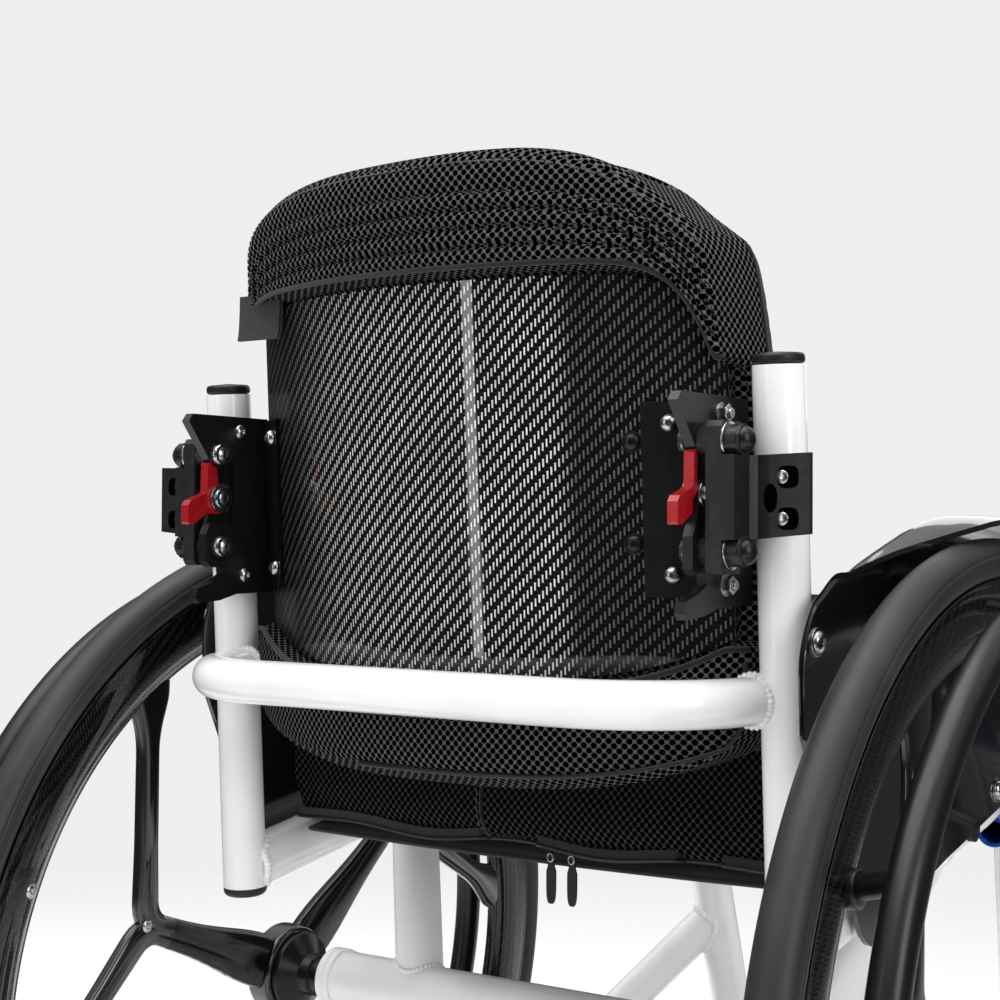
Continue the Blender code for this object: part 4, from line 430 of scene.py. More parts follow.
def pointing(start, end):
    """A frame at start whose local X axis points to end."""
    along = (end - start).normalized()
    turn = LEFTWARD.rotation_difference(along).to_matrix().to_4x4()
    return Matrix.Translation(start) @ turn


def rod(start, end, radius, sides=TUBE_SIDES, edge=0.0):
    """A round bar between two world points, with softened ends if an edge is given."""
    length = (end - start).length
    profile = [(radius, 0.0), (radius, length)]
    if edge:
        profile = rounded([(0.0005, 0.0), *profile, (0.0005, length)], edge)
    return turned(profile, sides, place=pointing(start, end))


def tangents(path, closed=False):
    """Direction along a path at each of its points."""
    behind = [path[-1 if closed else 0], *path[:-1]]
    ahead = [*path[1:], path[0 if closed else -1]]
    return [(after - before).normalized() for before, after in zip(behind, ahead)]


def tube_along(path, radius, sides=TUBE_SIDES, hint=LEFTWARD, closed=False):
    """Sweep a round section along a path; the radius may be a list, one for each point."""
    loops = []
    across = hint
    spots = circle(sides, 0.5)
    sizes = radius if isinstance(radius, list) else [radius] * len(path)
    for point, tangent, size in zip(path, tangents(path, closed), sizes):
        across = (across - tangent * across.dot(tangent)).normalized()
        third = tangent.cross(across)
        loops.append([point + (across * c + third * s) * size for c, s in spots])
    return loft(loops, closed)


def ribbon(path, normal, width, thickness):
    """A flat strip along a path that lies square to a direction."""
    lift = normal * thickness
    loops = []
    for point, tangent in zip(path, tangents(path)):
        across = tangent.cross(normal).normalized() * (width / 2)
        loops.append([point - across, point - across + lift, point + across + lift, point + across])
    return loft(loops)


def merged(parts):
    """Put several bmeshes into one."""
    total = bmesh.new()
    for part in parts:
        mesh = bpy.data.meshes.new("part")
        part.to_mesh(mesh)
        part.free()
        total.from_mesh(mesh)
        bpy.data.meshes.remove(mesh)
    return total


def add_piece(name, bm, finish, body=BODY, stands_for=None, sharp=40.0, bevel=0.0):
    """Turn a bmesh into a shaded piece that rides on a body and may stand for a CAD node."""
    bmesh.ops.recalc_face_normals(bm, faces=bm.faces)
    mesh = bpy.data.meshes.new(name)
    bm.to_mesh(mesh)
    bm.free()
    made = bpy.data.objects.new(name, mesh)
    bpy.context.scene.collection.objects.link(made)
    finishes = finish if isinstance(finish, tuple) else (finish,)
    for one in finishes:
        mesh.materials.append(bpy.data.materials[one])
    shade(made, sharp, bevel)
    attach(made, body)
    if stands_for:
        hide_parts(stands_for)
    return made


def shade(made, sharp, bevel):
    """Smooth faces between sharp edges, and edges as soft as every machined or moulded one's."""
    made.data.shade_smooth()
    made.data.set_sharp_from_angle(angle=radians(sharp))
    if bevel:
        soft = made.modifiers.new("edges", "BEVEL")
        soft.width = bevel
        soft.segments = 2
        soft.limit_method = "ANGLE"
        soft.angle_limit = radians(32)
        soft.harden_normals = True


def dress_node(node, finish, bevel=0.0):
    """Give a CAD node that is kept its finish and softened edges."""
    made = frame["nodes"][node]
    made.data.materials.clear()
    made.data.materials.append(bpy.data.materials[finish])
    shade(made, 35, bevel)


def wheel_frame(side):
    """Frame of a rear wheel: X along its axle to the outside, tilted by the camber."""
    place = Matrix.Translation(at(side, HUB_OUT, HUB_FWD, HUB_UP))
    tilt = Matrix.Rotation(-radians(CAMBER) * side, 4, "Y")
    return place @ tilt @ Matrix.Rotation(0.0 if side == LEFT else pi, 4, "Z")


def wheel_point(radius, angle, along=0.0):
    """Point of a wheel at a radius and an angle up from straight ahead."""
    turn = radians(angle)
    return Vector((along, -radius * cos(turn), radius * sin(turn)))


def wheel_turn(side, angle):
    """The angle in a wheel's own frame of one measured up from straight ahead."""
    return angle if side == LEFT else 180 - angle


class Nodes:
    """Short calls that add nodes to one shader tree and link them."""

    def __init__(self, tree):
        self.tree = tree

    def add(self, kind, *values, **settings):
        """A node with its settings, and values for its sockets in their order."""
        node = self.tree.nodes.new(kind)
        for key, value in settings.items():
            setattr(node, key, value)
        for socket, value in zip(node.inputs, values):
            self.feed(socket, value)
        return node

    def feed(self, socket, value):
        """Link a socket, or set its number or its red, green and blue."""
        if isinstance(value, bpy.types.NodeSocket):
            self.tree.links.new(value, socket)
        elif value is not None:
            socket.default_value = (*value, 1.0) if socket.type == "RGBA" else value

    def fill(self, sockets, values):
        """Feed several sockets by their names."""
        for name, value in values.items():
            self.feed(sockets[name], value)

    def math(self, operation, first, second=None):
        """One sum on values."""
        return self.add("ShaderNodeMath", first, second, operation=operation).outputs[0]

    def times(self, first, second):
        """One value times another."""
        return self.math("MULTIPLY", first, second)

    def between(self, share, first, second):
        """The value at a share of the way from the first to the second."""
        return self.math("ADD", first, self.times(share, self.math("SUBTRACT", second, first)))

    def vector(self, operation, first, second=None):
        """One sum on vectors."""
        node = self.add("ShaderNodeVectorMath", first, second, operation=operation)
        return node.outputs["Value" if operation == "LENGTH" else "Vector"]

    def scaled(self, vector, size):
        """A vector times a number."""
        return self.add("ShaderNodeVectorMath", vector, None, None, size, operation="SCALE").outputs[0]

    def split(self, vector):
        """The three parts of a vector."""
        return self.add("ShaderNodeSeparateXYZ", vector).outputs

    def flat(self, across, along):
        """A flat vector of two values."""
        return self.add("ShaderNodeCombineXYZ", across, along).outputs[0]

    def place(self, kind="Object"):
        """Coordinates of the shaded point."""
        return self.add("ShaderNodeTexCoord").outputs[kind]

    def ease(self, value, low, high, start=0.0, end=1.0):
        """A value eased from one span to another."""
        kind = "ShaderNodeMapRange"
        return self.add(kind, value, low, high, start, end, interpolation_type="SMOOTHSTEP").outputs[0]

    def noise(self, place, scale, detail):
        """Cloudy grain."""
        return self.add("ShaderNodeTexNoise", place, None, scale, detail, 0.55).outputs[0]

    def mix(self, share, first, second):
        """A colour between two."""
        node = self.add("ShaderNodeMix", share, data_type="RGBA")
        self.feed(node.inputs[6], first)
        self.feed(node.inputs[7], second)
        return node.outputs[2]

    def bump(self, height, strength, distance):
        """A surface normal tilted by a height."""
        return self.add("ShaderNodeBump", strength, distance, None, height).outputs[0]

    def group(self, name, **values):
        """One of the shared effects."""
        node = self.add("ShaderNodeGroup", node_tree=bpy.data.node_groups[name])
        self.fill(node.inputs, values)
        return node.outputs


def effect(name, numbers, results):
    """A new shared effect with its numbers going in and its results coming out."""
    tree = bpy.data.node_groups.new(name, "ShaderNodeTree")
    for label, value in numbers.items():
        socket = tree.interface.new_socket(label, in_out="INPUT", socket_type="NodeSocketFloat")
        socket.default_value = value
    for label in results:
        tree.interface.new_socket(label, in_out="OUTPUT", socket_type="NodeSocketFloat")
    nodes = Nodes(tree)
    return nodes, nodes.add("NodeGroupInput").outputs, nodes.add("NodeGroupOutput").inputs


def face_place(nodes):
    """Flat coordinates on whichever plane a face looks along, for cloth and laid fibre."""
    x, y, z = nodes.split(nodes.place())
    out, back, up = nodes.split(nodes.vector("ABSOLUTE", nodes.place("Normal")))
    sideways = nodes.math("GREATER_THAN", out, nodes.math("MAXIMUM", back, up))
    level = nodes.math("GREATER_THAN", up, nodes.math("MAXIMUM", out, back))
    return nodes.flat(nodes.between(sideways, x, y), nodes.between(level, z, y))


def make_surface_marks():
    """Faint smudges, fine grain and settled dust that every surface shares."""
    nodes, source, target = effect("surface marks", {"Grain Size": 900.0}, ["Smudge", "Grain", "Dust"])
    place = nodes.place()
    up = nodes.split(nodes.add("ShaderNodeNewGeometry").outputs["Normal"])[2]
    speck = nodes.ease(nodes.noise(place, 420.0, 3.0), 0.52, 0.78)
    nodes.fill(target, {
        "Smudge": nodes.ease(nodes.noise(place, 14.0, 4.0), 0.38, 0.72),
        "Grain": nodes.noise(place, source["Grain Size"], 2.0),
        "Dust": nodes.times(speck, nodes.ease(up, 0.25, 1.0)),
    })


def make_edge_wear():
    """Where handling has rubbed the finish on outside corners."""
    nodes, source, target = effect("edge wear", {"Width": 0.03}, ["Wear"])
    point = nodes.add("ShaderNodeNewGeometry").outputs["Pointiness"]
    rubbed = nodes.ease(point, 0.52, nodes.math("ADD", 0.52, source["Width"]))
    broken = nodes.ease(nodes.noise(nodes.place(), 160.0, 4.0), 0.35, 0.65)
    nodes.feed(target["Wear"], nodes.times(rubbed, broken))


def make_twill():
    """Two-by-two twill of carbon tows: a glint painted along the tows' edges, and their swell."""
    nodes, source, target = effect("twill", {"Tow": 0.0021}, ["Lit", "Height"])
    place = face_place(nodes)
    first, second, _ = nodes.split(nodes.scaled(place, nodes.math("DIVIDE", 1.0, source["Tow"])))
    total = nodes.math("ADD", nodes.math("FLOOR", first), nodes.math("FLOOR", second))
    warp = nodes.math("LESS_THAN", nodes.math("FLOORED_MODULO", total, 4.0), 2.0)
    rises = [nodes.math("FRACT", part) for part in (first, second)]
    across, along = (nodes.math("ABSOLUTE", nodes.math("SUBTRACT", rise, 0.5)) for rise in rises)
    gap = nodes.between(warp, along, across)
    stretch = nodes.math("ADD", 0.4, nodes.times(warp, 7.0))
    squeeze = nodes.math("SUBTRACT", 7.8, stretch)
    # Painted glint: a light line down one edge of each tow, streaked along its threads, patchy, and nearly
    # only on warp tows, stands in for the light the tows catch.
    threads = nodes.noise(nodes.flat(nodes.times(first, stretch), nodes.times(second, squeeze)), 1.0, 2.0)
    streak = nodes.ease(threads, 0.30, 0.70, 0.45, 1.0)
    side = nodes.between(warp, rises[1], rises[0])
    edge = nodes.times(nodes.ease(side, 0.46, 0.64), nodes.ease(side, 1.0, 0.88))
    patch = nodes.ease(nodes.noise(place, 30.0, 2.0), 0.35, 0.65, 0.80, 1.0)
    bright = nodes.math("ADD", 0.008, nodes.times(warp, 0.992))
    nodes.fill(target, {
        "Lit": nodes.times(nodes.times(nodes.times(edge, streak), patch), bright),
        "Height": nodes.math("SUBTRACT", 1.0, nodes.times(gap, gap)),
    })


def make_mesh_cloth():
    """Spacer mesh: staggered oval holes between raised yarn."""
    nodes, source, target = effect("mesh cloth", {"Pitch": 0.0046, "Tall": 1.08}, ["Hole", "Height", "Yarn"])
    place = face_place(nodes)
    tall = nodes.times(source["Pitch"], source["Tall"])
    count = nodes.flat(nodes.math("DIVIDE", 1.0, source["Pitch"]), nodes.math("DIVIDE", 1.0, tall))
    cells = nodes.vector("MULTIPLY", place, count)
    reach = []
    for shift in (0.0, 0.5):
        cell = nodes.vector("FRACTION", nodes.vector("ADD", cells, (shift, shift, 0.0)))
        reach.append(nodes.vector("LENGTH", nodes.vector("SUBTRACT", cell, (0.5, 0.5, 0.0))))
    near = nodes.math("MINIMUM", *reach)
    nodes.fill(target, {
        "Hole": nodes.ease(near, 0.35, 0.27),
        "Height": nodes.ease(near, 0.18, 0.40),
        "Yarn": nodes.noise(place, 2600.0, 2.0),
    })


def make_knit():
    """Fine close knit or weave for plain cloth and webbing."""
    nodes, source, target = effect("knit", {"Pitch": 0.0011}, ["Height"])
    place = face_place(nodes)
    across, along, _ = nodes.split(nodes.scaled(place, nodes.math("DIVIDE", 2 * pi, source["Pitch"])))
    weave = nodes.times(nodes.math("SINE", across), nodes.math("SINE", along))
    nodes.feed(target["Height"], nodes.math("ADD", weave, nodes.noise(place, 1900.0, 2.0)))


def new_material(name):
    """An empty material with its shader."""
    made = bpy.data.materials.new(name)
    made.use_nodes = True
    made.node_tree.nodes.clear()
    nodes = Nodes(made.node_tree)
    shader = nodes.add("ShaderNodeBsdfPrincipled")
    nodes.add("ShaderNodeOutputMaterial", shader.outputs[0])
    return nodes, shader.inputs


def tinted(colour, factor, lift=0.0):
    """A colour made lighter or darker."""
    return tuple(part * factor + lift for part in colour)


def coated(name, colour, roughness, metallic=0.0, coat=0.0, wear=0.0, worn=(0.5, 0.5, 0.5), grain=0.02,
           specular=0.5):
    """Paint, plating, anodising or moulded plastic, smudged and worn a little."""
    nodes, shader = new_material(name)
    marks = nodes.group("surface marks")
    base = nodes.mix(marks["Smudge"], colour, tinted(colour, 0.90))
    base = nodes.mix(nodes.times(marks["Dust"], 0.05), base, (0.45, 0.44, 0.42))
    if wear:
        base = nodes.mix(nodes.times(nodes.group("edge wear")["Wear"], wear), base, worn)
    nodes.fill(shader, {
        "Base Color": base,
        "Roughness": nodes.math("ADD", roughness, nodes.times(marks["Smudge"], roughness * 0.25)),
        "Metallic": metallic,
        "Specular IOR Level": specular,
        "Coat Weight": coat,
        "Coat Roughness": 0.06,
        "Normal": nodes.bump(marks["Grain"], grain, 0.0004),
    })


def carbon(name, tow, glint_colour, bowed=False):
    """Clear-coated carbon twill with a glint painted in the glint colour along its tows, painted dimmer where
    a bowed sheet turns aside from the lights.
    """
    nodes, shader = new_material(name)
    weave = nodes.group("twill", Tow=tow)
    painted_glint = weave["Lit"]
    coat = 1.0
    if bowed:
        aside = nodes.split(nodes.place("Normal"))[0]
        # Painted shade: the painted glint is dimmed on both sides where the bowed sheet turns aside, and its
        # clear coat is thinned there.
        painted_glint = nodes.times(painted_glint, nodes.ease(aside, -0.335, -0.285, 0.16, 1.0))
        painted_glint = nodes.times(painted_glint, nodes.ease(aside, 0.16, 0.46, 1.0, 0.10))
        coat = nodes.ease(aside, 0.20, 0.46, 1.0, 0.10)
    nodes.fill(shader, {
        # Base colour: the painted glint over near-black carbon.
        "Base Color": nodes.mix(painted_glint, (0.0008, 0.0009, 0.0011), glint_colour),
        "Roughness": 0.40,
        "Specular IOR Level": 0.10,
        "Coat Weight": coat,
        "Coat Roughness": nodes.ease(nodes.group("surface marks")["Smudge"], 0.0, 1.0, 0.03, 0.06),
        "Normal": nodes.bump(weave["Height"], 0.6, 0.0008),
    })


def mesh_fabric(name, pitch, yarn):
    """Black spacer mesh whose holes are painted near-black: painted shade in the deep ground seen through
    them.
    """
    nodes, shader = new_material(name)
    cloth = nodes.group("mesh cloth", Pitch=pitch)
    thread = nodes.mix(cloth["Yarn"], yarn, tinted(yarn, 1.5))
    dust = nodes.times(nodes.group("surface marks")["Dust"], 0.08)
    dusty = nodes.mix(dust, thread, (0.3, 0.3, 0.3))
    solid = nodes.math("SUBTRACT", 1.0, cloth["Hole"])
    nodes.fill(shader, {
        # Painted shade: the holes are painted near-black and lose their gloss and sheen.
        "Base Color": nodes.mix(cloth["Hole"], dusty, (0.0004, 0.0004, 0.0004)),
        "Roughness": 0.88,
        "Specular IOR Level": nodes.times(solid, 0.08),
        "Sheen Weight": nodes.times(solid, 0.03),
        "Sheen Roughness": 0.5,
        "Normal": nodes.bump(cloth["Height"], 0.9, 0.0014),
    })


def plain_cloth(name, colour, pitch, sheen=0.25):
    """Close-knit cloth, webbing or thread."""
    nodes, shader = new_material(name)
    nodes.fill(shader, {
        "Base Color": nodes.mix(nodes.group("surface marks")["Smudge"], colour, tinted(colour, 1.25)),
        "Roughness": 0.85,
        "Specular IOR Level": 0.15,
        "Sheen Weight": sheen,
        "Normal": nodes.bump(nodes.group("knit", Pitch=pitch)["Height"], 0.6, 0.0004),
    })


def rubber(name, colour):
    """Dry tyre rubber with a faint bloom."""
    nodes, shader = new_material(name)
    marks = nodes.group("surface marks", **{"Grain Size": 1400.0})
    nodes.fill(shader, {
        "Base Color": nodes.mix(marks["Smudge"], colour, tinted(colour, 1.35, 0.01)),
        "Roughness": nodes.ease(marks["Grain"], 0.2, 0.8, 0.40, 0.52),
        "Specular IOR Level": 0.45,
        "Normal": nodes.bump(marks["Grain"], 0.25, 0.0003),
    })


def make_materials(look):
    """Every finish on the chair."""
    make_surface_marks()
    make_edge_wear()
    make_twill()
    make_mesh_cloth()
    make_knit()
    coated("white paint", look.white, 0.20, coat=0.6, grain=0.015)
    coated("black metal", (0.005, 0.005, 0.006), 0.28, wear=0.05, worn=(0.06, 0.06, 0.06), grain=0.05)
    coated("satin metal", (0.010, 0.010, 0.011), 0.38, wear=0.08, worn=(0.10, 0.10, 0.10), grain=0.16)
    coated("black alloy", (0.012, 0.012, 0.013), 0.24, 0.4, wear=0.1, worn=(0.1, 0.1, 0.1))
    coated("black plastic", (0.009, 0.009, 0.010), 0.40, grain=0.08)
    coated("blue metal", (0.008, 0.07, 0.42), 0.26, 0.85, wear=0.2, worn=(0.3, 0.35, 0.5))
    coated("red metal", look.red, 0.24, 0.15, coat=0.3, wear=0.06, worn=(0.6, 0.12, 0.12))
    coated("steel", (0.60, 0.61, 0.63), 0.20, 1.0, grain=0.03)
    coated("arm lacquer", (0.005, 0.005, 0.006), 0.16, coat=1.0, grain=0.01)
    coated("guard", (0.008, 0.008, 0.009), 0.10, coat=1.0, grain=0.01)
    rubber("tyre", look.tyre)
    # Painted glints: white on the shell's carbon, faint on the wheels' carbon.
    carbon("shell carbon", look.tow, (1.0, 1.0, 1.0), bowed=True)
    carbon("wheel carbon", look.tow, (0.022, 0.0225, 0.024))
    mesh_fabric("mesh", look.mesh_pitch, (0.080, 0.080, 0.084))
    mesh_fabric("seat mesh", look.mesh_pitch, (0.030, 0.030, 0.032))
    plain_cloth("side knit", (0.020, 0.020, 0.022), 0.0012, sheen=0.1)
    plain_cloth("piping", (0.012, 0.012, 0.013), 0.0010)
    plain_cloth("thread", (0.075, 0.075, 0.08), 0.0006, sheen=0.4)
    plain_cloth("webbing", (0.020, 0.020, 0.022), 0.0016)
    coated("zip", (0.018, 0.018, 0.020), 0.35, 0.2)
    # Painted shade: near-black without gloss, for the mouths of the flange's slots.
    coated("hollow", (0.001, 0.001, 0.001), 0.9, specular=0.0)


def weld_bead(name, start, along, radius, meet, meet_along, meet_radius, least=0.0, bead=0.0024):
    """Rippled bead where the end of a tube is welded to a round tube that it meets."""
    along = along.normalized()
    meet_along = meet_along.normalized()
    across = along.cross(meet_along)
    across = across.normalized() if across.length > 0.01 else along.orthogonal().normalized()
    third = along.cross(across)
    flat_along = along - meet_along * along.dot(meet_along)
    a = flat_along.dot(flat_along)
    path = []
    for c, s in circle(round(2 * pi * radius / WELD_RIPPLE) * 4):
        point = start + (across * c + third * s) * radius
        offset = point - meet
        offset -= meet_along * offset.dot(meet_along)
        b = offset.dot(flat_along)
        inside = b * b - a * (offset.dot(offset) - meet_radius ** 2)
        reach = (-b + sqrt(inside)) / a if inside > 0 else least
        path.append(point + along * max(reach, least))
    sizes = [bead * (1 + 0.16 * sin(pi * step / 2)) for step in range(len(path))]
    add_piece(name, tube_along(path, sizes, WIRE_SIDES, across, closed=True), "white paint")


def make_canes(look):
    """Back canes with their caps and plugs."""
    radius = CANE_DIAMETER / 2
    for label, side in SIDES:
        foot = cane_point(side, CANE_FOOT_UP)
        head = cane_point(side, CANE_TOP_UP)
        up_cane = pointing(foot, head)
        top = (head - foot).length
        cane = rod(foot, head, radius, WIDE_SIDES)
        add_piece(f"cane_{label}", cane, "white paint", stands_for=f"back_cane_{label}")
        cap = [(0.0005, top + 0.0003), (radius, top + 0.0003), (radius, top + 0.0058), (0.0005, top + 0.0068)]
        cap = turned(rounded(cap, 0.0032, 6), place=up_cane)
        add_piece(f"cap_{label}", cap, "black plastic", stands_for=f"cane_cap_{label}")
        drop = (foot.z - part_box(f"cane_plug_{label}")[0].z) * 0.96
        plug = [(0.0005, -drop), (radius * 0.86, -drop), (radius, -drop * 0.6), (radius, -0.0003)]
        plug = turned(rounded(plug, 0.0012) + [(0.0005, -0.0003)], place=up_cane)
        add_piece(f"plug_{label}", plug, "black plastic", stands_for=f"cane_plug_{label}")


def rail_path(side, steps=18):
    """Centre line of one seat rail and its front down tube."""
    start = at(side, CANE_OUT, 0.003, rail_up(0.003))
    taper = at(side, CANE_OUT, TAPER_START_FWD, rail_up(TAPER_START_FWD))
    front = at(side, FRONT_OUT, SEAT_FRONT_FWD, rail_up(SEAT_FRONT_FWD))
    low = at(side, *DOWN_TUBE_LOW)
    return bent_path([start, taper, front, low], [0.25, FRONT_BEND_RADIUS], steps)


def down_tube_point(side, up):
    """Point on the straight part of the down tube at a height."""
    front = at(side, FRONT_OUT, SEAT_FRONT_FWD, rail_up(SEAT_FRONT_FWD))
    low = at(side, *DOWN_TUBE_LOW)
    return low.lerp(front, (up - low.z) / (front.z - low.z))


def down_tube_up(side):
    """Direction up the straight part of a down tube."""
    return (down_tube_point(side, 0.40) - at(side, *DOWN_TUBE_LOW)).normalized()


def make_rails(look):
    """Seat rails that run into the down tubes, welded to the canes."""
    radius = RAIL_DIAMETER / 2
    for label, side in SIDES:
        path = rail_path(side)
        rail = tube_along(path, radius)
        add_piece(f"rail_{label}", rail, "white paint", stands_for=f"seat_rail_{label}")
        start = at(side, CANE_OUT, 0.0, rail_up(0.0))
        weld_bead(f"rail_weld_{label}", start, path[1] - path[0], radius * 0.99, cane_point(side, 0.4),
                  cane_direction(side), CANE_DIAMETER / 2, 0.0035)
        low = at(side, *DOWN_TUBE_LOW)
        upward = down_tube_up(side)
        clamp = rod(low - upward * 0.001, low + upward * 0.014, radius + 0.0022, edge=0.001)
        add_piece(f"foot_clamp_{label}", clamp, "black metal")
        screw_at = low + upward * 0.0065 + LEFTWARD * (side * (radius + 0.0020))
        add_screw(f"foot_clamp_screw_{label}", screw_at, LEFTWARD * side, 0.0035, 0.0028)


def make_push_bar(look):
    """Bent bar welded behind the two canes."""
    fwd_end = cane_fwd(PUSH_BAR_UP) - CANE_DIAMETER * 0.3
    runs = ((LEFT, fwd_end), (LEFT, -PUSH_BAR_BACK), (RIGHT, -PUSH_BAR_BACK), (RIGHT, fwd_end))
    points = [at(side, PUSH_BAR_OUT, fwd, PUSH_BAR_UP) for side, fwd in runs]
    path = bent_path(points, [PUSH_BAR_BEND, PUSH_BAR_BEND], 24)
    bar = tube_along(path, PUSH_BAR_DIAMETER / 2)
    add_piece("bent_push_bar", bar, "white paint", stands_for="push_bar")
    for label, side in SIDES:
        start = at(side, PUSH_BAR_OUT, cane_fwd(PUSH_BAR_UP), PUSH_BAR_UP)
        weld_bead(f"push_bar_weld_{label}", start, REARWARD, PUSH_BAR_DIAMETER / 2,
                  cane_point(side, PUSH_BAR_UP), cane_direction(side), CANE_DIAMETER / 2, CANE_DIAMETER * 0.3)


def make_camber_tube(look):
    """Cross tube between the wheels, its collars and the posts that carry it."""
    radius = CAMBER_TUBE_DIAMETER / 2
    right_end, left_end = (at(side, TUBE_END_OUT, HUB_FWD, HUB_UP) for side in (RIGHT, LEFT))
    tube = rod(right_end, left_end, radius, WIDE_SIDES)
    add_piece("cross_tube", tube, "white paint", stands_for="camber_tube")
    wide = COLLAR_RADIUS
    end = COLLAR_LENGTH
    profile = [
        (radius, -0.0004), (wide, -0.0004), (wide, end * 0.36), (wide - 0.0007, end * 0.40),
        (wide, end * 0.44), (wide, end * 0.86), (wide * 0.90, end), (0.0070, end),
        (0.0068, end - 0.004), (0.0005, end - 0.004),
    ]
    for label, side in SIDES:
        place = pointing(*(at(side, TUBE_END_OUT + reach, HUB_FWD, HUB_UP) for reach in (0, 1)))
        collar = turned(rounded(profile, 0.0005, 2), WIDE_SIDES, place=place)
        add_piece(f"collar_{label}", collar, "white paint", stands_for=f"camber_plug_{label}")
        screw_at = place @ (LEFTWARD * (end * 0.62)) - UPWARD * (wide - 0.0008)
        add_screw(f"collar_screw_{label}", screw_at, -UPWARD, 0.0030, 0.0018)
        foot = at(side, POST_FOOT_OUT, HUB_FWD, HUB_UP)
        head = at(side, CANE_OUT, POST_HEAD_FWD, rail_up(POST_HEAD_FWD))
        post = rod(foot, head, POST_DIAMETER / 2)
        add_piece(f"post_{label}", post, "white paint", stands_for=f"axle_post_{label}")
        weld_bead(f"post_foot_weld_{label}", foot, head - foot, POST_DIAMETER / 2, foot, LEFTWARD, radius,
                  bead=0.0019)
        path = rail_path(side)
        weld_bead(f"post_head_weld_{label}", head, foot - head, POST_DIAMETER / 2, head, path[1] - path[0],
                  RAIL_DIAMETER / 2, bead=0.0019)


def standing(profile, sides, place, along):
    """A profile turned about an axis that stands on a place."""
    return turned(profile, sides, place=pointing(place, place + along))


def add_screw(name, place, along, radius, height):
    """Socket-head screw that stands on a face."""
    profile = [
        (0.0003, 0.0), (radius, 0.0), (radius, height * 0.72), (radius * 0.86, height),
        (radius * 0.56, height), (radius * 0.54, height * 0.35), (0.0003, height * 0.30),
    ]
    add_piece(name, standing(rounded(profile, radius * 0.10, 2), 36, place, along), "steel")


def add_button_head(name, place, along, radius, height, finish="steel", body=BODY):
    """Domed screw head with a socket in it."""
    profile = [(0.0003, 0.0), (radius, 0.0)]
    for angle in (radians(8 + 60 * share) for share in shares(8)):
        profile.append((radius * cos(angle), height * sin(angle)))
    profile += [(radius * 0.36, height * 0.55), (0.0003, height * 0.5)]
    add_piece(name, standing(profile, SMALL_SIDES, place, along), finish, body)


def add_washer(name, place, along, inner, outer, height, finish="steel", body=BODY):
    """Flat washer."""
    profile = rounded([(inner, 0.0), (outer, 0.0), (outer, height), (inner, height)], 0.0003, 2)
    add_piece(name, standing(profile, 60, place, along), finish, body)


def make_casters(look):
    """Caster arms, housings, forks, bolts, cores and tyres."""
    radius = CASTER_ARM_DIAMETER / 2
    for label, side in SIDES:
        root = down_tube_point(side, CASTER_ARM_ROOT_UP)
        low = at(side, CASTER_OUT, CASTER_FWD, FORK_TOP_UP + 0.0003)
        high = low + UPWARD * HOUSING_HEIGHT
        reach = low.lerp(high, 0.5)
        arm = rod(root, reach, radius)
        add_piece(f"arm_tube_{label}", arm, "white paint", stands_for=f"caster_arm_{label}")
        add_piece(f"housing_{label}", rod(low, high, HOUSING_RADIUS, edge=0.0012), "white paint")
        weld_bead(f"arm_root_weld_{label}", root, reach - root, radius, root, down_tube_up(side),
                  RAIL_DIAMETER / 2)
        weld_bead(f"arm_end_weld_{label}", reach, root - reach, radius, reach, UPWARD, HOUSING_RADIUS)
        wide = HOUSING_RADIUS * 0.86
        cap = rounded([(0.0004, 0.0), (wide, 0.0), (wide, 0.0012), (0.0004, 0.0035)], 0.0008)
        add_piece(f"housing_cap_{label}", standing(cap, 60, high, UPWARD), "black plastic")
        dress_node(f"caster_fork_{label}", "black metal", 0.0012)
        make_caster_wheel(label, at(side, CASTER_OUT, CASTER_FWD - CASTER_TRAIL, CASTER_RADIUS))


def make_caster_wheel(label, hub):
    """Bolt, core and tyre of one caster."""
    place = Matrix.Translation(hub)
    spinner = f"caster_wheel_{label}"
    low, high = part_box(f"caster_axle_{label}")
    half = (high.x - low.x) / 2 - 0.004
    bolt = mirrored([(0.0004, -half - 0.004), (0.0066, -half - 0.004), (0.0068, -half), (0.0040, -half)])
    made = turned(rounded(bolt, 0.0007, 2), SMALL_SIDES, place=place)
    add_piece(f"caster_bolt_{label}", made, "steel", f"caster_swivel_{label}", f"caster_axle_{label}")
    low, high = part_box(f"caster_core_{label}")
    wide = (high.x - low.x) / 2
    rim = (high.z - low.z) / 2
    core = mirrored([(0.0046, -wide), (0.0096, -wide), (0.0140, -0.0062), (rim - 0.008, -0.0056),
                     (rim - 0.004, -0.0098), (rim, -0.0102)])
    made = turned(rounded(core, 0.0018, 4), WIDE_SIDES, place=place)
    add_piece(f"caster_hub_{label}", made, "black plastic", spinner, f"caster_core_{label}")
    half = CASTER_TYRE_WIDTH / 2
    tread = CASTER_RADIUS
    tyre = mirrored([(rim + 0.0003, -half * 0.82), (rim + 0.010, -half), (tread - 0.003, -half * 0.75),
                     (tread - 0.0006, -half * 0.3)], [(tread, 0.0)])
    made = turned(rounded(tyre, 0.0035, 5), WIDE_SIDES, place=place)
    add_piece(f"caster_tread_{label}", made, "tyre", spinner, f"caster_tyre_{label}")


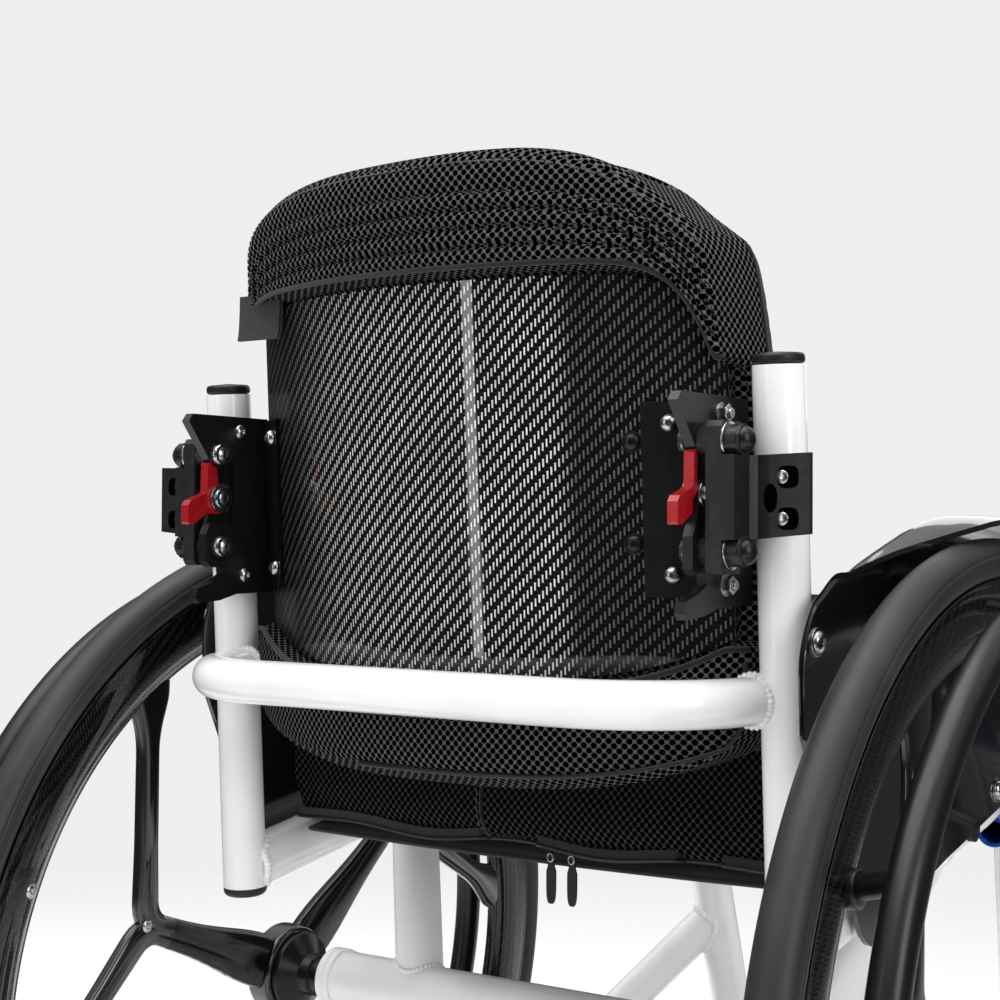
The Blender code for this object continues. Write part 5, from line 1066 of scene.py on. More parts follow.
def make_footrest(look):
    """Foot tube and footplate."""
    corners = []
    for side in (LEFT, RIGHT):
        low = at(side, *DOWN_TUBE_LOW)
        upward = down_tube_up(side)
        drop = (low.z - FOOT_TUBE_LOW_UP) / upward.z
        ends = [low + upward * (DOWN_TUBE_SOCKET - 0.001), low - upward * drop]
        corners += ends[::side]
    path = bent_path(corners, [FOOT_TUBE_BEND, FOOT_TUBE_BEND], 24)
    tube = tube_along(path, FOOT_TUBE_DIAMETER / 2, hint=REARWARD)
    add_piece("foot_rail", tube, "black metal", stands_for="foot_tube")
    dress_node("footplate", "black plastic", 0.0010)
    low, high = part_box("footplate")
    rear = high.y - 0.020
    front = low.y + 0.020
    reach = high.x - 0.022
    for count, share in enumerate(shares(6)):
        back = mixed(rear, front, share)
        ends = [Vector((out, back, high.z + 0.0002)) for out in (-reach, reach)]
        add_piece(f"grip_strip_{count}", rod(*ends, 0.0014, 20, 0.0008), "tyre")


def make_tyre(label, side):
    """Slick tyre with two fine moulded lines low on each flank."""
    small = TYRE_SECTION / 2
    middle = WHEEL_RADIUS - small
    flat = acos((middle - RIM_OUTER - 0.0003) / small)
    profile = []
    for angle in (-pi + flat + (2 * pi - 2 * flat) * share for share in shares(96)):
        size = small
        for line in TYRE_LINES:
            size -= 0.00050 * exp(-((abs(degrees(angle)) - line) / 2.4) ** 2)
        profile.append((middle + size * cos(angle), size * sin(angle)))
    tyre = turned(profile, WHEEL_SIDES, True, wheel_frame(side))
    add_piece(f"tyre_{label}", tyre, "tyre", f"rear_wheel_{label}", f"rear_tyre_{label}", sharp=70)


def make_rim(label, side):
    """Deep carbon rim: a rounded wedge in section."""
    half = RIM_WIDTH / 2
    nose = RIM_INNER_WIDTH / 2
    wide_at = RIM_OUTER - 0.0135
    line = [(RIM_OUTER, half * 0.88), (RIM_OUTER - 0.0020, half * 0.93), (RIM_OUTER - 0.0070, half * 0.99)]
    for share in shares(12):
        radius = wide_at - (wide_at - RIM_INNER - nose * 0.9) * share
        line.append((radius, nose + (half - nose) * cos(pi / 2 * share) ** 0.85))
    for angle in (pi / 2 * share for share in shares(8)[1:-1]):
        line.append((RIM_INNER + nose * 0.9 - nose * 0.9 * sin(angle), nose * cos(angle)))
    place = wheel_frame(side)
    rim = turned(mirrored(line, [(RIM_INNER, 0.0)]), WHEEL_SIDES, True, place)
    body = f"rear_wheel_{label}"
    add_piece(f"rim_{label}", rim, "wheel carbon", body, f"carbon_wheel_{label}")
    low = RIM_OUTER - 0.0014
    high = RIM_OUTER + 0.0010
    for sign, word in WHEEL_FACES:
        near, far = sign * half * 0.80, sign * half * 0.93
        bed = rounded([(low, far), (high, far), (high, near), (low, near)], 0.0004)
        lip = turned(bed, WHEEL_SIDES, True, place)
        add_piece(f"rim_lip_{word}_{label}", lip, "wheel carbon", body)


def arm_loop(centre, along, width, depth):
    """Softly squared section of a carbon arm."""
    across = LEFTWARD.cross(along).normalized()
    return [centre + across * (c * width) + Vector((s * depth, 0, 0)) for c, s in squared(36, 0.80)]


def make_arms(look, label, side):
    """Three arms that fork before the rim, each half a strand from hub to rim."""
    matrix = wheel_frame(side)
    outward = matrix.to_3x3() @ LEFTWARD
    body = f"rear_wheel_{label}"
    for count in range(SPOKE_COUNT):
        angle = wheel_turn(side, SPOKE_ANGLE[side] + 360 * count / SPOKE_COUNT)
        root = wheel_point(HUB_BOSS_RADIUS * 0.70, angle)
        fork = wheel_point(SPOKE_JUNCTION, angle)
        for word, turn in (("leading", SPOKE_SPLAY), ("trailing", -SPOKE_SPLAY)):
            end = wheel_point(RIM_INNER + 0.009, angle + turn)
            path = even_points(bent_path([root, fork, end], [look.fork_bend], 14), 60)
            loops = []
            for index, (centre, along) in enumerate(zip(path, tangents(path))):
                reach = centre.length
                width = 0.0098 + 0.0085 * exp(-((reach - HUB_BOSS_RADIUS) / 0.055) ** 2 * 1.1)
                width -= 0.0014 * smooth_step(reach, SPOKE_JUNCTION, SPOKE_JUNCTION + 0.03)
                width += look.arm_flare * smooth_step(reach, RIM_INNER - 0.032, RIM_INNER + 0.004) ** 1.6
                depth = 0.0088 - 0.0032 * smooth_step(reach, HUB_BOSS_RADIUS, SPOKE_JUNCTION)
                depth -= 0.0010 * smooth_step(index / (len(path) - 1), 0.6, 1.0)
                loops.append(arm_loop(centre, along, width, depth))
            strand = loft(loops)
            strand.transform(matrix)
            add_piece(f"arm_{count + 1}_{word}_{label}", strand, "arm lacquer", body, sharp=60)
        inner = matrix @ wheel_point(SPOKE_JUNCTION + 0.003, angle, -0.0052)
        add_button_head(f"arm_bolt_{count + 1}_{label}", inner, -outward, 0.0042, 0.0022, body=body)


def even_points(path, count):
    """The same path with evenly spaced points."""
    lengths = [0.0]
    for before, after in zip(path, path[1:]):
        lengths.append(lengths[-1] + (after - before).length)
    made = []
    index = 0
    for step in range(count):
        goal = lengths[-1] * step / (count - 1)
        while index < len(path) - 2 and lengths[index + 1] < goal:
            index += 1
        span = lengths[index + 1] - lengths[index]
        share = (goal - lengths[index]) / span if span else 0.0
        made.append(path[index].lerp(path[index + 1], min(share, 1.0)))
    return made


def make_hub(label, side):
    """Machined hub with its flanges and bolts."""
    half = HUB_BOSS_WIDTH / 2
    face = half + 0.0003
    barrel = HUB_BARREL_RADIUS
    inner = HUB_INNER_END
    body = f"rear_wheel_{label}"
    matrix = wheel_frame(side)
    boss = rounded(mirrored([(barrel + 0.0003, -half), (HUB_BOSS_RADIUS, -half)]), 0.004, 6)
    add_piece(f"hub_boss_{label}", turned(boss, WIDE_SIDES, place=matrix), "arm lacquer", body)
    profile = [
        (0.0064, inner), (barrel * 0.72, inner), (barrel * 0.74, inner + 0.006),
        (barrel * 0.66, inner + 0.0066), (barrel * 0.66, inner + 0.0082), (barrel * 0.78, inner + 0.0090),
        (barrel * 0.80, -face - 0.012), (barrel + 0.009, -face - 0.004), (barrel + 0.009, -face),
        (barrel, -face), (barrel, face), (barrel + 0.006, face), (barrel + 0.006, face + 0.003),
        (barrel * 0.84, face + 0.0045), (barrel * 0.78, face + 0.006), (barrel * 0.72, HUB_OUTER_END),
        (0.0064, HUB_OUTER_END),
    ]
    hub = turned(rounded(profile, 0.0008, 3), WIDE_SIDES, True, matrix)
    add_piece(f"hub_{label}", hub, "black alloy", body, f"wheel_hub_{label}")
    for count in range(6):
        for sign, word in WHEEL_FACES:
            along = face + (0.0028 if sign > 0 else 0.0038)
            place = matrix @ wheel_point(barrel + 0.0032, 150 - 60 * count, sign * along)
            along = matrix.to_3x3() @ LEFTWARD * sign
            add_button_head(f"hub_bolt_{word}_{count + 1}_{label}", place, along, 0.0026, 0.0016, body=body)
    make_axle(label, matrix)


def make_axle(label, matrix):
    """Quick-release axle head and its push button."""
    wide = AXLE_HEAD_RADIUS
    head_in = HUB_OUTER_END + 0.0003
    head_out = head_in + AXLE_HEAD_LENGTH
    well = BUTTON_RADIUS + 0.0003
    low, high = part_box(f"axle_{label}")
    inner_end = -(high.x - low.x) + head_out
    profile = [
        (0.0040, inner_end), (0.0063, inner_end + 0.003), (0.0063, head_in), (wide, head_in),
        (wide, head_in + 0.003), (wide * 0.93, head_in + 0.0035), (wide * 0.93, head_in + 0.0048),
        (wide, head_in + 0.0053), (wide, head_out - 0.001), (wide - 0.001, head_out), (well, head_out),
        (well, head_in + 0.0005), (0.0003, head_in + 0.0005),
    ]
    axle = turned([(0.0003, inner_end)] + rounded(profile, 0.0005, 2), place=matrix)
    add_piece(f"axle_pin_{label}", axle, "steel", BODY, f"axle_{label}")
    base = head_in + 0.0046
    top = head_out + BUTTON_PROUD
    button = [(0.0003, base), (BUTTON_RADIUS, base), (BUTTON_RADIUS, top), (0.0003, top + 0.0002)]
    made = turned(rounded(button, 0.0014, 5), SMALL_SIDES, place=matrix)
    add_piece(f"button_{label}", made, "steel", f"axle_release_{label}", f"axle_button_{label}")


def make_handrim(label, side):
    """Round hand rim on standoffs, each bolted to the wheel."""
    body = f"rear_wheel_{label}"
    tube = HANDRIM_TUBE / 2
    matrix = wheel_frame(side)
    outward = matrix.to_3x3() @ LEFTWARD
    profile = [(HANDRIM_RADIUS + tube * c, HANDRIM_OFFSET + tube * s) for c, s in circle(32)]
    ring = turned(profile, 288, True, matrix)
    add_piece(f"hand_rim_{label}", ring, "black metal", body, f"handrim_{label}", sharp=80)
    for count in range(STANDOFF_COUNT):
        angle = wheel_turn(side, STANDOFF_ANGLE[side] + 360 * count / STANDOFF_COUNT)
        depths = (0.0112, 0.0085, -0.0078)
        start, foot, inner = (matrix @ wheel_point(STANDOFF_CIRCLE, angle, depth) for depth in depths)
        end = matrix @ wheel_point(HANDRIM_RADIUS - 0.002, angle, HANDRIM_OFFSET)
        name = f"{count + 1}_{label}"
        add_piece(f"standoff_{name}", rod(start, end, 0.0058, 40), "black metal", body)
        pad = rod(foot, foot + outward * 0.0062, 0.0092, SMALL_SIDES, 0.0014)
        add_piece(f"standoff_foot_{name}", pad, "black metal", body)
        add_washer(f"standoff_washer_{name}", inner, -outward, 0.0015, 0.0056, 0.0010, body=body)
        bolt_at = inner - outward * 0.0009
        add_button_head(f"standoff_bolt_{name}", bolt_at, -outward, 0.0046, 0.0030, body=body)


def make_rear_wheels(look):
    """Both rear wheels."""
    for label, side in SIDES:
        make_tyre(label, side)
        make_rim(label, side)
        make_arms(look, label, side)
        make_hub(label, side)
        make_handrim(label, side)


def follow(points, place):
    """Value of a polyline of (place, value) points at a place along it."""
    for (low, before), (high, after) in zip(points, points[1:]):
        if place <= high:
            return before + (after - before) * (place - low) / (high - low)
    return points[-1][1]


def two_skins(skins):
    """A shell made of two matching grids of points with the rim between them closed."""
    bm = bmesh.new()
    grids = [[[bm.verts.new(point) for point in row] for row in skin] for skin in skins]
    for grid in grids:
        for low, high in zip(grid, grid[1:]):
            bridge(bm, low, high, closed=False)
    rims = [grid[0] + [row[-1] for row in grid[1:-1]] + grid[-1][::-1] + [row[0] for row in grid[-2:0:-1]]
            for grid in grids]
    bridge(bm, *rims)
    return bm


def guard_shift(side, fwd):
    """How far ahead a guard's rear edge is moved at a place along it."""
    first = GUARD_REAR_EDGE[0][0]
    last = GUARD_FENDER[0][0]
    return GUARD_REAR_SHIFT[side] * clamped((last - fwd) / (last - first))


def guard_columns(side):
    """Top of each guard column as (fwd, up, share of the fender's width), closely spaced."""
    columns = [(fwd + guard_shift(side, fwd), up, 0.03) for fwd, up in GUARD_REAR_EDGE]
    for fwd, share in GUARD_FENDER:
        rise = sqrt(GUARD_PLATE_RADIUS ** 2 - (fwd - HUB_FWD) ** 2)
        columns.append((fwd, HUB_UP + rise, share))
    return smooth_line(columns + [(fwd, up, 0.03) for fwd, up in GUARD_FRONT_EDGE], 6)


def guard_skin(side, depth):
    """Grid of points on a guard's inner face, or at a depth behind it: plate first, then fender lip."""
    lip = smooth_line([(wide, high, 0) for wide, high in GUARD_LIP], 5)[1:]
    edge = [(point.x, point.y) for point in smooth_line([(fwd, up, 0) for fwd, up in GUARD_LOW_EDGE], 6)]
    start = GUARD_LOW_EDGE[0][0]
    end = GUARD_LOW_EDGE[-1][0]
    columns = guard_columns(side)
    skin = []
    for index, (fwd, up, share) in enumerate(columns):
        share = max(share, 0.02)
        low_fwd = start + (end - start) * index / (len(columns) - 1)
        low_up = follow(edge, low_fwd)
        column = []
        for row in shares(8):
            column.append(at(side, GUARD_INNER_OUT + depth, mixed(low_fwd, fwd, row), mixed(low_up, up, row)))
        outward = Vector((fwd - HUB_FWD, up - HUB_UP)).normalized()
        for wide, high, _ in lip:
            curl = wide ** 0.35
            lift = high * GUARD_CROWN * share ** 1.3 + (GUARD_THICKNESS - depth) * curl
            reach = GUARD_INNER_OUT + wide * share * GUARD_FENDER_WIDTH + depth * (1 - curl)
            column.append(at(side, reach, fwd + outward.x * lift, up + outward.y * lift))
        skin.append(column)
    return skin


def make_guards(look):
    """Glossy side guards with a fender lip curved over each tyre."""
    touch = CANE_OUT + RAIL_DIAMETER / 2 + 0.0003
    for label, side in SIDES:
        plate = two_skins([guard_skin(side, depth) for depth in (0.0, GUARD_THICKNESS)])
        add_piece(f"guard_{label}", plate, "guard", stands_for=f"side_guard_{label}", sharp=50, bevel=0.0007)
        for count, fwd in enumerate(GUARD_SPACER_FWD):
            ends = (at(side, out, fwd, rail_up(fwd)) for out in (touch, GUARD_INNER_OUT + 0.0005))
            spacer = rod(*ends, 0.007, SMALL_SIDES)
            add_piece(f"guard_spacer_{count + 1}_{label}", spacer, "black plastic")
        outward = LEFTWARD * side
        for count, (fwd, up) in enumerate(GUARD_BOLTS):
            place = at(side, GUARD_INNER_OUT + GUARD_THICKNESS, fwd + guard_shift(side, fwd), up)
            add_washer(f"guard_washer_{count + 1}_{label}", place, outward, 0.002, 0.0075, 0.0010)
            place += outward * 0.0009
            add_button_head(f"guard_bolt_{count + 1}_{label}", place, outward, 0.0056, 0.0034)


def shell_curve(out):
    """How far the back shell sweeps forward at a distance from its middle."""
    return SHELL_RADIUS - sqrt(SHELL_RADIUS ** 2 - out ** 2)


def arc_rise(out, offset):
    """Forward sweep, at a distance out, of the shell's arc moved back by an offset."""
    radius = SHELL_RADIUS + offset
    return radius - sqrt(max(radius ** 2 - out ** 2, 0.0)) - offset


def edge_share(out):
    """How far out a place on the shell is, as a share of its half width."""
    return min(abs(out) / SHELL_HALF_WIDTH, 1.0)


def shell_low(out):
    """Height of the shell's lower edge."""
    return SHELL_BOTTOM_UP + SHELL_BOTTOM_RISE * edge_share(out) ** 4


def shell_high(out):
    """Height of the shell's upper edge, which falls away in a wide corner."""
    return SHELL_TOP_UP - SHELL_TOP_FALL[LEFT if out > 0 else RIGHT] * edge_share(out) ** 12


def shell_point(out, up, lift=0.0):
    """Point on the shell's rear face, or off it by a lift to the rear."""
    fwd = cane_fwd(up) - SHELL_BEHIND_CANES + shell_curve(out)
    turn = asin(min(abs(out) / SHELL_RADIUS, 1.0))
    return at(LEFT, out + copysign(lift, out) * sin(turn), fwd - lift * cos(turn), up)


def shell_normal(out):
    """Direction out of the shell's rear face."""
    turn = asin(min(abs(out) / SHELL_RADIUS, 1.0))
    return Vector((copysign(sin(turn), out), cos(turn), RAKE_SLOPE * -0.3)).normalized()


def make_shell(look):
    """Carbon back shell with a rounded lip round its edge."""
    outs = [-SHELL_HALF_WIDTH * cos(pi * share) for share in shares(96)]
    skins = []
    for depth in (0.0, SHELL_THICKNESS):
        skin = []
        for row in shares(40):
            ups = [mixed(shell_low(out), shell_high(out), row) for out in outs]
            skin.append([shell_point(out, up) - REARWARD * depth for out, up in zip(outs, ups)])
        skins.append(skin)
    add_piece("shell", two_skins(skins), "shell carbon", stands_for="back_shell", sharp=50, bevel=0.0014)
    out = RIGHT * SHELL_BOLT_OUT
    normal = shell_normal(out)
    for word, up in SHELL_BOLT_UP:
        place = shell_point(out, up, 0.0001)
        add_washer(f"shell_washer_{word}", place, normal, 0.002, 0.0056, 0.0008, "black metal")
        add_button_head(f"shell_bolt_{word}", place + normal * 0.0007, normal, 0.0044, 0.0024, "black metal")


def rounded_share(up, base, height, powers):
    """Share of full width that is left at a height inside a rounded end."""
    share = min(max((up - base) / height, 0.0), 0.999)
    return (1 - share ** powers[0]) ** (1 / powers[1])


def pad_half_width(up):
    """Half the pad's width at a height: rounded at both ends."""
    full = PAD_HALF_WIDTH - PAD_NARROWING * smooth_step(up, SHELL_TOP_UP, SHELL_TOP_UP + 0.02)
    top = rounded_share(up, PAD_TOP_UP - PAD_TOP_ROUNDING, PAD_TOP_ROUNDING, PAD_TOP_POWERS)
    base = -PAD_BOTTOM_UP - PAD_BOTTOM_ROUNDING
    return full * top * rounded_share(-up, base, PAD_BOTTOM_ROUNDING, PAD_BOTTOM_POWERS)


def pad_top(out):
    """Height of the pad's outline at a distance out, down to its upper corners."""
    share = min(abs(out) / (PAD_HALF_WIDTH - PAD_NARROWING), 1.0)
    rise = (1 - share ** PAD_TOP_POWERS[1]) ** (1 / PAD_TOP_POWERS[0])
    return max(PAD_TOP_UP - PAD_TOP_ROUNDING * (1 - rise), PAD_CORNER_UP) - PAD_TILT * out


def pad_edge(curve, out, half):
    """Height of one of the pad's four edge curves at a distance out."""
    if curve == 0:
        return PAD_BOTTOM_UP + PAD_BOTTOM_RISE * (abs(out) / half) ** 3.5
    return (shell_low, shell_high, pad_top)[curve - 1](out)


def pad_up(span, share, out, half):
    """Height of a ring that lies part of the way between two edge curves."""
    low = pad_edge(span, out, half) + (0.0, -PAD_HEM, PAD_HEM * 3)[span]
    high = pad_edge(span + 1, out, half) + (-PAD_HEM * 3, PAD_HEM, 0.0)[span]
    return mixed(low, high, share)


def pad_rings(look):
    """Rings of the pad: which edge curves they lie between, how far, how full and how far back."""
    rings = []
    for share in shares(18):
        full = 0.35 + 0.65 * sin(pi / 2 * min(share / 0.28, 1.0)) ** 0.8
        swell = look.pocket_swell * sin(pi * share) ** 0.7
        rings.append((0, share, full, -PAD_POCKET - swell))
    rings += [(1, share, 1.0, SHELL_THICKNESS + 0.0004) for share in shares(8)]
    height = PAD_TOP_UP - SHELL_TOP_UP
    for step in range(PAD_RIDGES * 8 + 1):
        ridge = abs(sin(pi * step / 8)) ** 0.7
        rings.append((2, PAD_RIDGE_PITCH * step / 8 / height, 1.0, -PAD_WRAP - look.ridge_height * ridge))
    last = PAD_RIDGE_PITCH * PAD_RIDGES / height
    for part in shares(16)[1:]:
        full = 0.40 + 0.60 * sqrt(max(1 - part ** 2.6, 0.0))
        rings.append((2, last + (1 - last) * part, full, -PAD_WRAP - 0.0022 * sin(pi * part) ** 0.8))
    return rings


def seat_limit(up):
    """How far ahead the pad may reach at a height, behind the cushion's rear face."""
    return CUSHION_REAR_FWD - 0.0022 + 0.08 * smooth_step(up, 0.512, 0.560)


def pad_lean(up):
    """Sideways lean of the pad's top."""
    return PAD_LEAN * smooth_step(up, PAD_LEAN_START_UP, PAD_LEAN_END_UP)


def pad_rear(out, up, behind):
    """How far ahead the pad's rear face is."""
    base = cane_fwd(up) - SHELL_BEHIND_CANES
    return base + (behind + shell_curve(out) if behind > 0 else arc_rise(out, -behind))


def pad_ring_points(span, share, full, behind, half):
    """Points round one ring: the rear from side to side, then the front back again."""
    rear = []
    front = []
    for column in range(PAD_COLUMNS + 1):
        out = -half * 0.966 * cos(pi * column / PAD_COLUMNS)
        up = pad_up(span, share, out, half)
        back = pad_rear(out, up, behind)
        corner = PAD_FRONT_CORNER * smooth_step(abs(out) / half, 0.80, 1.0)
        ahead = min(cane_fwd(up) - SHELL_BEHIND_CANES + arc_rise(out, -PAD_FRONT) - corner, seat_limit(up))
        middle = (back + ahead) / 2
        depth = (ahead - back) / 2 * (full + (1 - full) * 0.8 * (out / half) ** 2)
        rear.append(at(LEFT, out + pad_lean(up), middle - depth, up))
        front.append(at(LEFT, out + pad_lean(up), middle + depth, up))
    return rear, front


def pad_side_arc(side, rear_end, front_end, up, half):
    """Points that round the pad's side from its rear face to its front."""
    fwd = min(cane_fwd(up) - SHELL_BEHIND_CANES + PAD_SIDE_FRONT, seat_limit(up) - 0.008)
    pull = at(side, half + side * pad_lean(up), fwd, up) * 2 - (rear_end + front_end) / 2
    return [arc_point(rear_end, pull, front_end, t) for t in shares(PAD_SIDE_STEPS)[1:-1]]


def pad_ring(ring):
    """One closed ring of the pad."""
    span, share, full, behind = ring
    half = PAD_HALF_WIDTH
    for _ in range(8):
        half = pad_half_width(pad_up(span, share, half, half))
    rear, front = pad_ring_points(span, share, full, behind, half)
    left = pad_side_arc(LEFT, rear[-1], front[-1], pad_up(span, share, half, half), half)
    right = pad_side_arc(RIGHT, rear[0], front[0], pad_up(span, share, -half, half), half)
    return rear + left + front[::-1] + right[::-1]


def make_pad(look):
    """Back pad: mesh cover wrapped over the shell, with knit sides."""
    rings = pad_rings(look)
    loops = [pad_ring(ring) for ring in rings]
    bm = loft(loops)
    count = len(loops[0])
    for index, face in enumerate(bm.faces):
        place = index % count
        on_left = PAD_COLUMNS + SIDE_SEAM <= place < PAD_COLUMNS + PAD_SIDE_STEPS
        on_right = count - PAD_SIDE_STEPS <= place < count - SIDE_SEAM
        face.material_index = 1 if (on_left or on_right) and index < count * (len(loops) - 1) else 0
    made = add_piece("pad", bm, ("mesh", "side knit"), stands_for="back_pad", sharp=75)
    pad_lines(rings, loops)


def moved(points, out, back, up):
    """Points shifted by a little."""
    return [point + Vector((out, back, up)) for point in points]


def add_line(name, points, radius):
    """Thin cord along points, such as a piping or a seam."""
    add_piece(name, tube_along(points, radius, WIRE_SIDES), "piping", sharp=80)


def stitches(name, path):
    """A row of single stitches along a path."""
    pitch = STITCH_LENGTH + STITCH_GAP
    total = sum((after - before).length for before, after in zip(path, path[1:]))
    places = even_points(path, max(int(total / pitch), 2) + 1)
    bars = [rod(before, before.lerp(after, STITCH_LENGTH / pitch), STITCH_RADIUS, 8)
            for before, after in zip(places, places[1:])]
    add_piece(name, merged(bars), "thread")


def pad_lines(rings, loops):
    """Piping, seams, stitching and pocket zip of the back pad's cover."""
    spans = [ring[0] for ring in rings]
    for name, index in (("hem_piping", spans.index(2)), ("pocket_piping", spans.index(1) - 1)):
        add_line(name, moved(loops[index][:PAD_COLUMNS + 1], 0, 0.0006, 0), 0.0017)
    for label, place in (("right", len(loops[0]) - SIDE_SEAM), ("left", PAD_COLUMNS + SIDE_SEAM)):
        add_line(f"side_seam_{label}", smooth_line([loop[place] for loop in loops[3:-2]], 2), 0.0013)
    stitches("top_stitching", moved(loops[len(loops) - 7][2:PAD_COLUMNS - 1], 0, 0.0004, 0.0003))
    low = moved(loops[3][4:PAD_COLUMNS // 2 + 8], 0, 0.0010, -0.0005)
    side = moved([loop[3] for loop in loops[3:17]], -0.0006, 0.0010, 0)
    coil_zip("pocket_zip", even_points(smooth_line(low[::-1] + side, 3), 220))


def coil_zip(name, path):
    """Closed coil zip along a path: a flat tape with a ribbed coil down its middle."""
    sizes = [0.0013 + 0.00035 * (1 if index % 2 else -1) for index in range(len(path))]
    add_piece(name, tube_along(path, sizes, 10), "zip", sharp=80)


def make_tag(look):
    """Plain folded loop of webbing under the hem at the shell's left."""
    width, height = TAG_SIZE
    out, up = TAG_PLACE
    thick = REARWARD * 0.0009
    loops = []
    for share in shares(14):
        lift = 0.0012 + 0.0030 * (1 - abs(2 * share - 1)) + (0.0018 if share > 0.5 else 0.0)
        right = shell_point(out - width / 2, up - height * sin(pi * share) ** 0.8, lift)
        left = right + Vector((width, -0.002, 0))
        loops.append([left, right, right + thick, left + thick])
    add_piece("tag_loop", loft(loops), "webbing", bevel=0.0002)


def seat_point(out, along, height):
    """Point on the pitched seat: along from the cushion's rear, height above the rail tops."""
    pitch = radians(SEAT_PITCH)
    fwd = CUSHION_REAR_FWD + along * cos(pitch) - height * sin(pitch)
    base = rail_up(CUSHION_REAR_FWD) + (RAIL_DIAMETER / 2) / cos(pitch) + 0.0003
    up = base + along * sin(pitch) + height * cos(pitch)
    return at(LEFT, out, fwd, up)


def cushion_plan(u, v, inset):
    """Plan of the cushion: sides drawn in between its corners."""
    reach = CUSHION_WIDTH / 2 - inset
    length = CUSHION_DEPTH / 2 - inset
    out = u * reach * sqrt(1 - 0.02 * v * v) - u * CUSHION_DRAW_IN * (1 - v * v)
    back = v * length * sqrt(1 - 0.10 * u * u) - v * CUSHION_DRAW_IN * (1 - u * u)
    return out, CUSHION_DEPTH / 2 + back


def cushion_top(u, v):
    """Height of the cushion's top: crowned, with two sewn channels."""
    crown = CUSHION_CROWN * (1 - abs(u) ** 3) * (1 - abs(v) ** 3)
    seam = exp(-((abs(u) - 0.36) / 0.035) ** 2)
    return CUSHION_THICKNESS + crown - CUSHION_CHANNEL * seam * (1 - smooth_step(abs(v), 0.70, 0.95))


def cushion_mesh(draw_in):
    """Closed surface of the cushion, a little smaller than its cover if drawn in."""
    us = [sin(pi / 2 * (2 * share - 1)) for share in shares(56)]
    rim = [(u, -1.0) for u in us] + [(1.0, v) for v in us[1:]]
    rim += [(u, 1.0) for u in us[-2::-1]] + [(-1.0, v) for v in us[-2:0:-1]]
    edge = CUSHION_ROUNDING + draw_in
    bm = bmesh.new()

    def corner(u, v, inset, share):
        """Vertex on the cover at a share of the way from its underside to its top."""
        out, back = cushion_plan(u, v, inset)
        high = cushion_top(u, v) - draw_in
        return bm.verts.new(seat_point(out, back, mixed(draw_in, high, share)))

    sheets = [{(u, v): corner(u, v, edge, level) for u in us for v in us} for level in (0, 1)]
    for low_u, high_u in zip(us, us[1:]):
        for low_v, high_v in zip(us, us[1:]):
            for sheet in sheets:
                corners = [(low_u, low_v), (high_u, low_v), (high_u, high_v), (low_u, high_v)]
                bm.faces.new([sheet[place] for place in corners])
    loops = [[sheets[0][place] for place in rim]]
    for share in shares(14)[1:-1]:
        inset = edge - CUSHION_ROUNDING * sin(pi * share) ** 0.6
        loops.append([corner(u, v, inset, share) for u, v in rim])
    loops.append([sheets[1][place] for place in rim])
    for low, high in zip(loops, loops[1:]):
        bridge(bm, low, high)
    return bm


def puff(made, look):
    """Blow a closed cover out against its own cloth, hold back what moves too far and keep the result."""
    bpy.context.view_layer.objects.active = made
    remesh = made.modifiers.new("even cloth", "REMESH")
    remesh.mode = "VOXEL"
    remesh.voxel_size = CUSHION_GRAIN
    keep_evaluated(made)
    rest = [vert.co.copy() for vert in made.data.vertices]
    group = made.vertex_groups.new(name="sewn")
    group.add([index for index, place in enumerate(rest) if on_underside(place)], 1.0, "REPLACE")
    cloth = made.modifiers.new("stuffing", "CLOTH")
    for name, value in CLOTH.items():
        setattr(cloth.settings, name, value)
    cloth.settings.uniform_pressure_force = look.pressure
    cloth.settings.effector_weights.gravity = 0
    cloth.point_cache.frame_start = 1
    cloth.point_cache.frame_end = look.cloth_frames
    scene = bpy.context.scene
    for step in range(1, look.cloth_frames + 1):
        scene.frame_set(step)
    keep_evaluated(made)
    for vert, place in zip(made.data.vertices, rest):
        shift = vert.co - place
        if shift.length > CUSHION_MOST_PUFF:
            vert.co = place + shift.normalized() * CUSHION_MOST_PUFF
    scene.frame_set(1)


def keep_evaluated(made):
    """Make the shape that the modifiers give the object's own, and drop the modifiers."""
    graph = bpy.context.evaluated_depsgraph_get()
    graph.update()
    mesh = bpy.data.meshes.new_from_object(made.evaluated_get(graph), depsgraph=graph)
    old = made.data
    for one in old.materials:
        if one.name not in mesh.materials:
            mesh.materials.append(one)
    made.modifiers.clear()
    made.data = mesh
    mesh.shade_smooth()


def make_cushion(look):
    """Seat cushion in its mesh cover, blown out as cloth over foam."""
    shape = cushion_mesh(0.004)
    made = add_piece("cushion", shape, "seat mesh", stands_for="seat_cushion", sharp=80)
    puff(made, look)
    smooth = made.modifiers.new("smooth", "SUBSURF")
    smooth.levels = 1
    smooth.render_levels = 1
    cushion_lines(look, made)


def on_underside(place):
    """Whether a point of the cushion's cover rests on the sling, where the cover is held."""
    return place.z - (rail_up(CENTRE_FWD - place.y) + RAIL_DIAMETER / 2) < 0.006


def on_surface(tree, point, lift):
    """The point moved ahead until it lies on a surface, and lifted off it a little."""
    hit, normal, _, _ = tree.ray_cast(point + REARWARD * 0.05, -REARWARD)
    return point if hit is None else hit + normal * lift


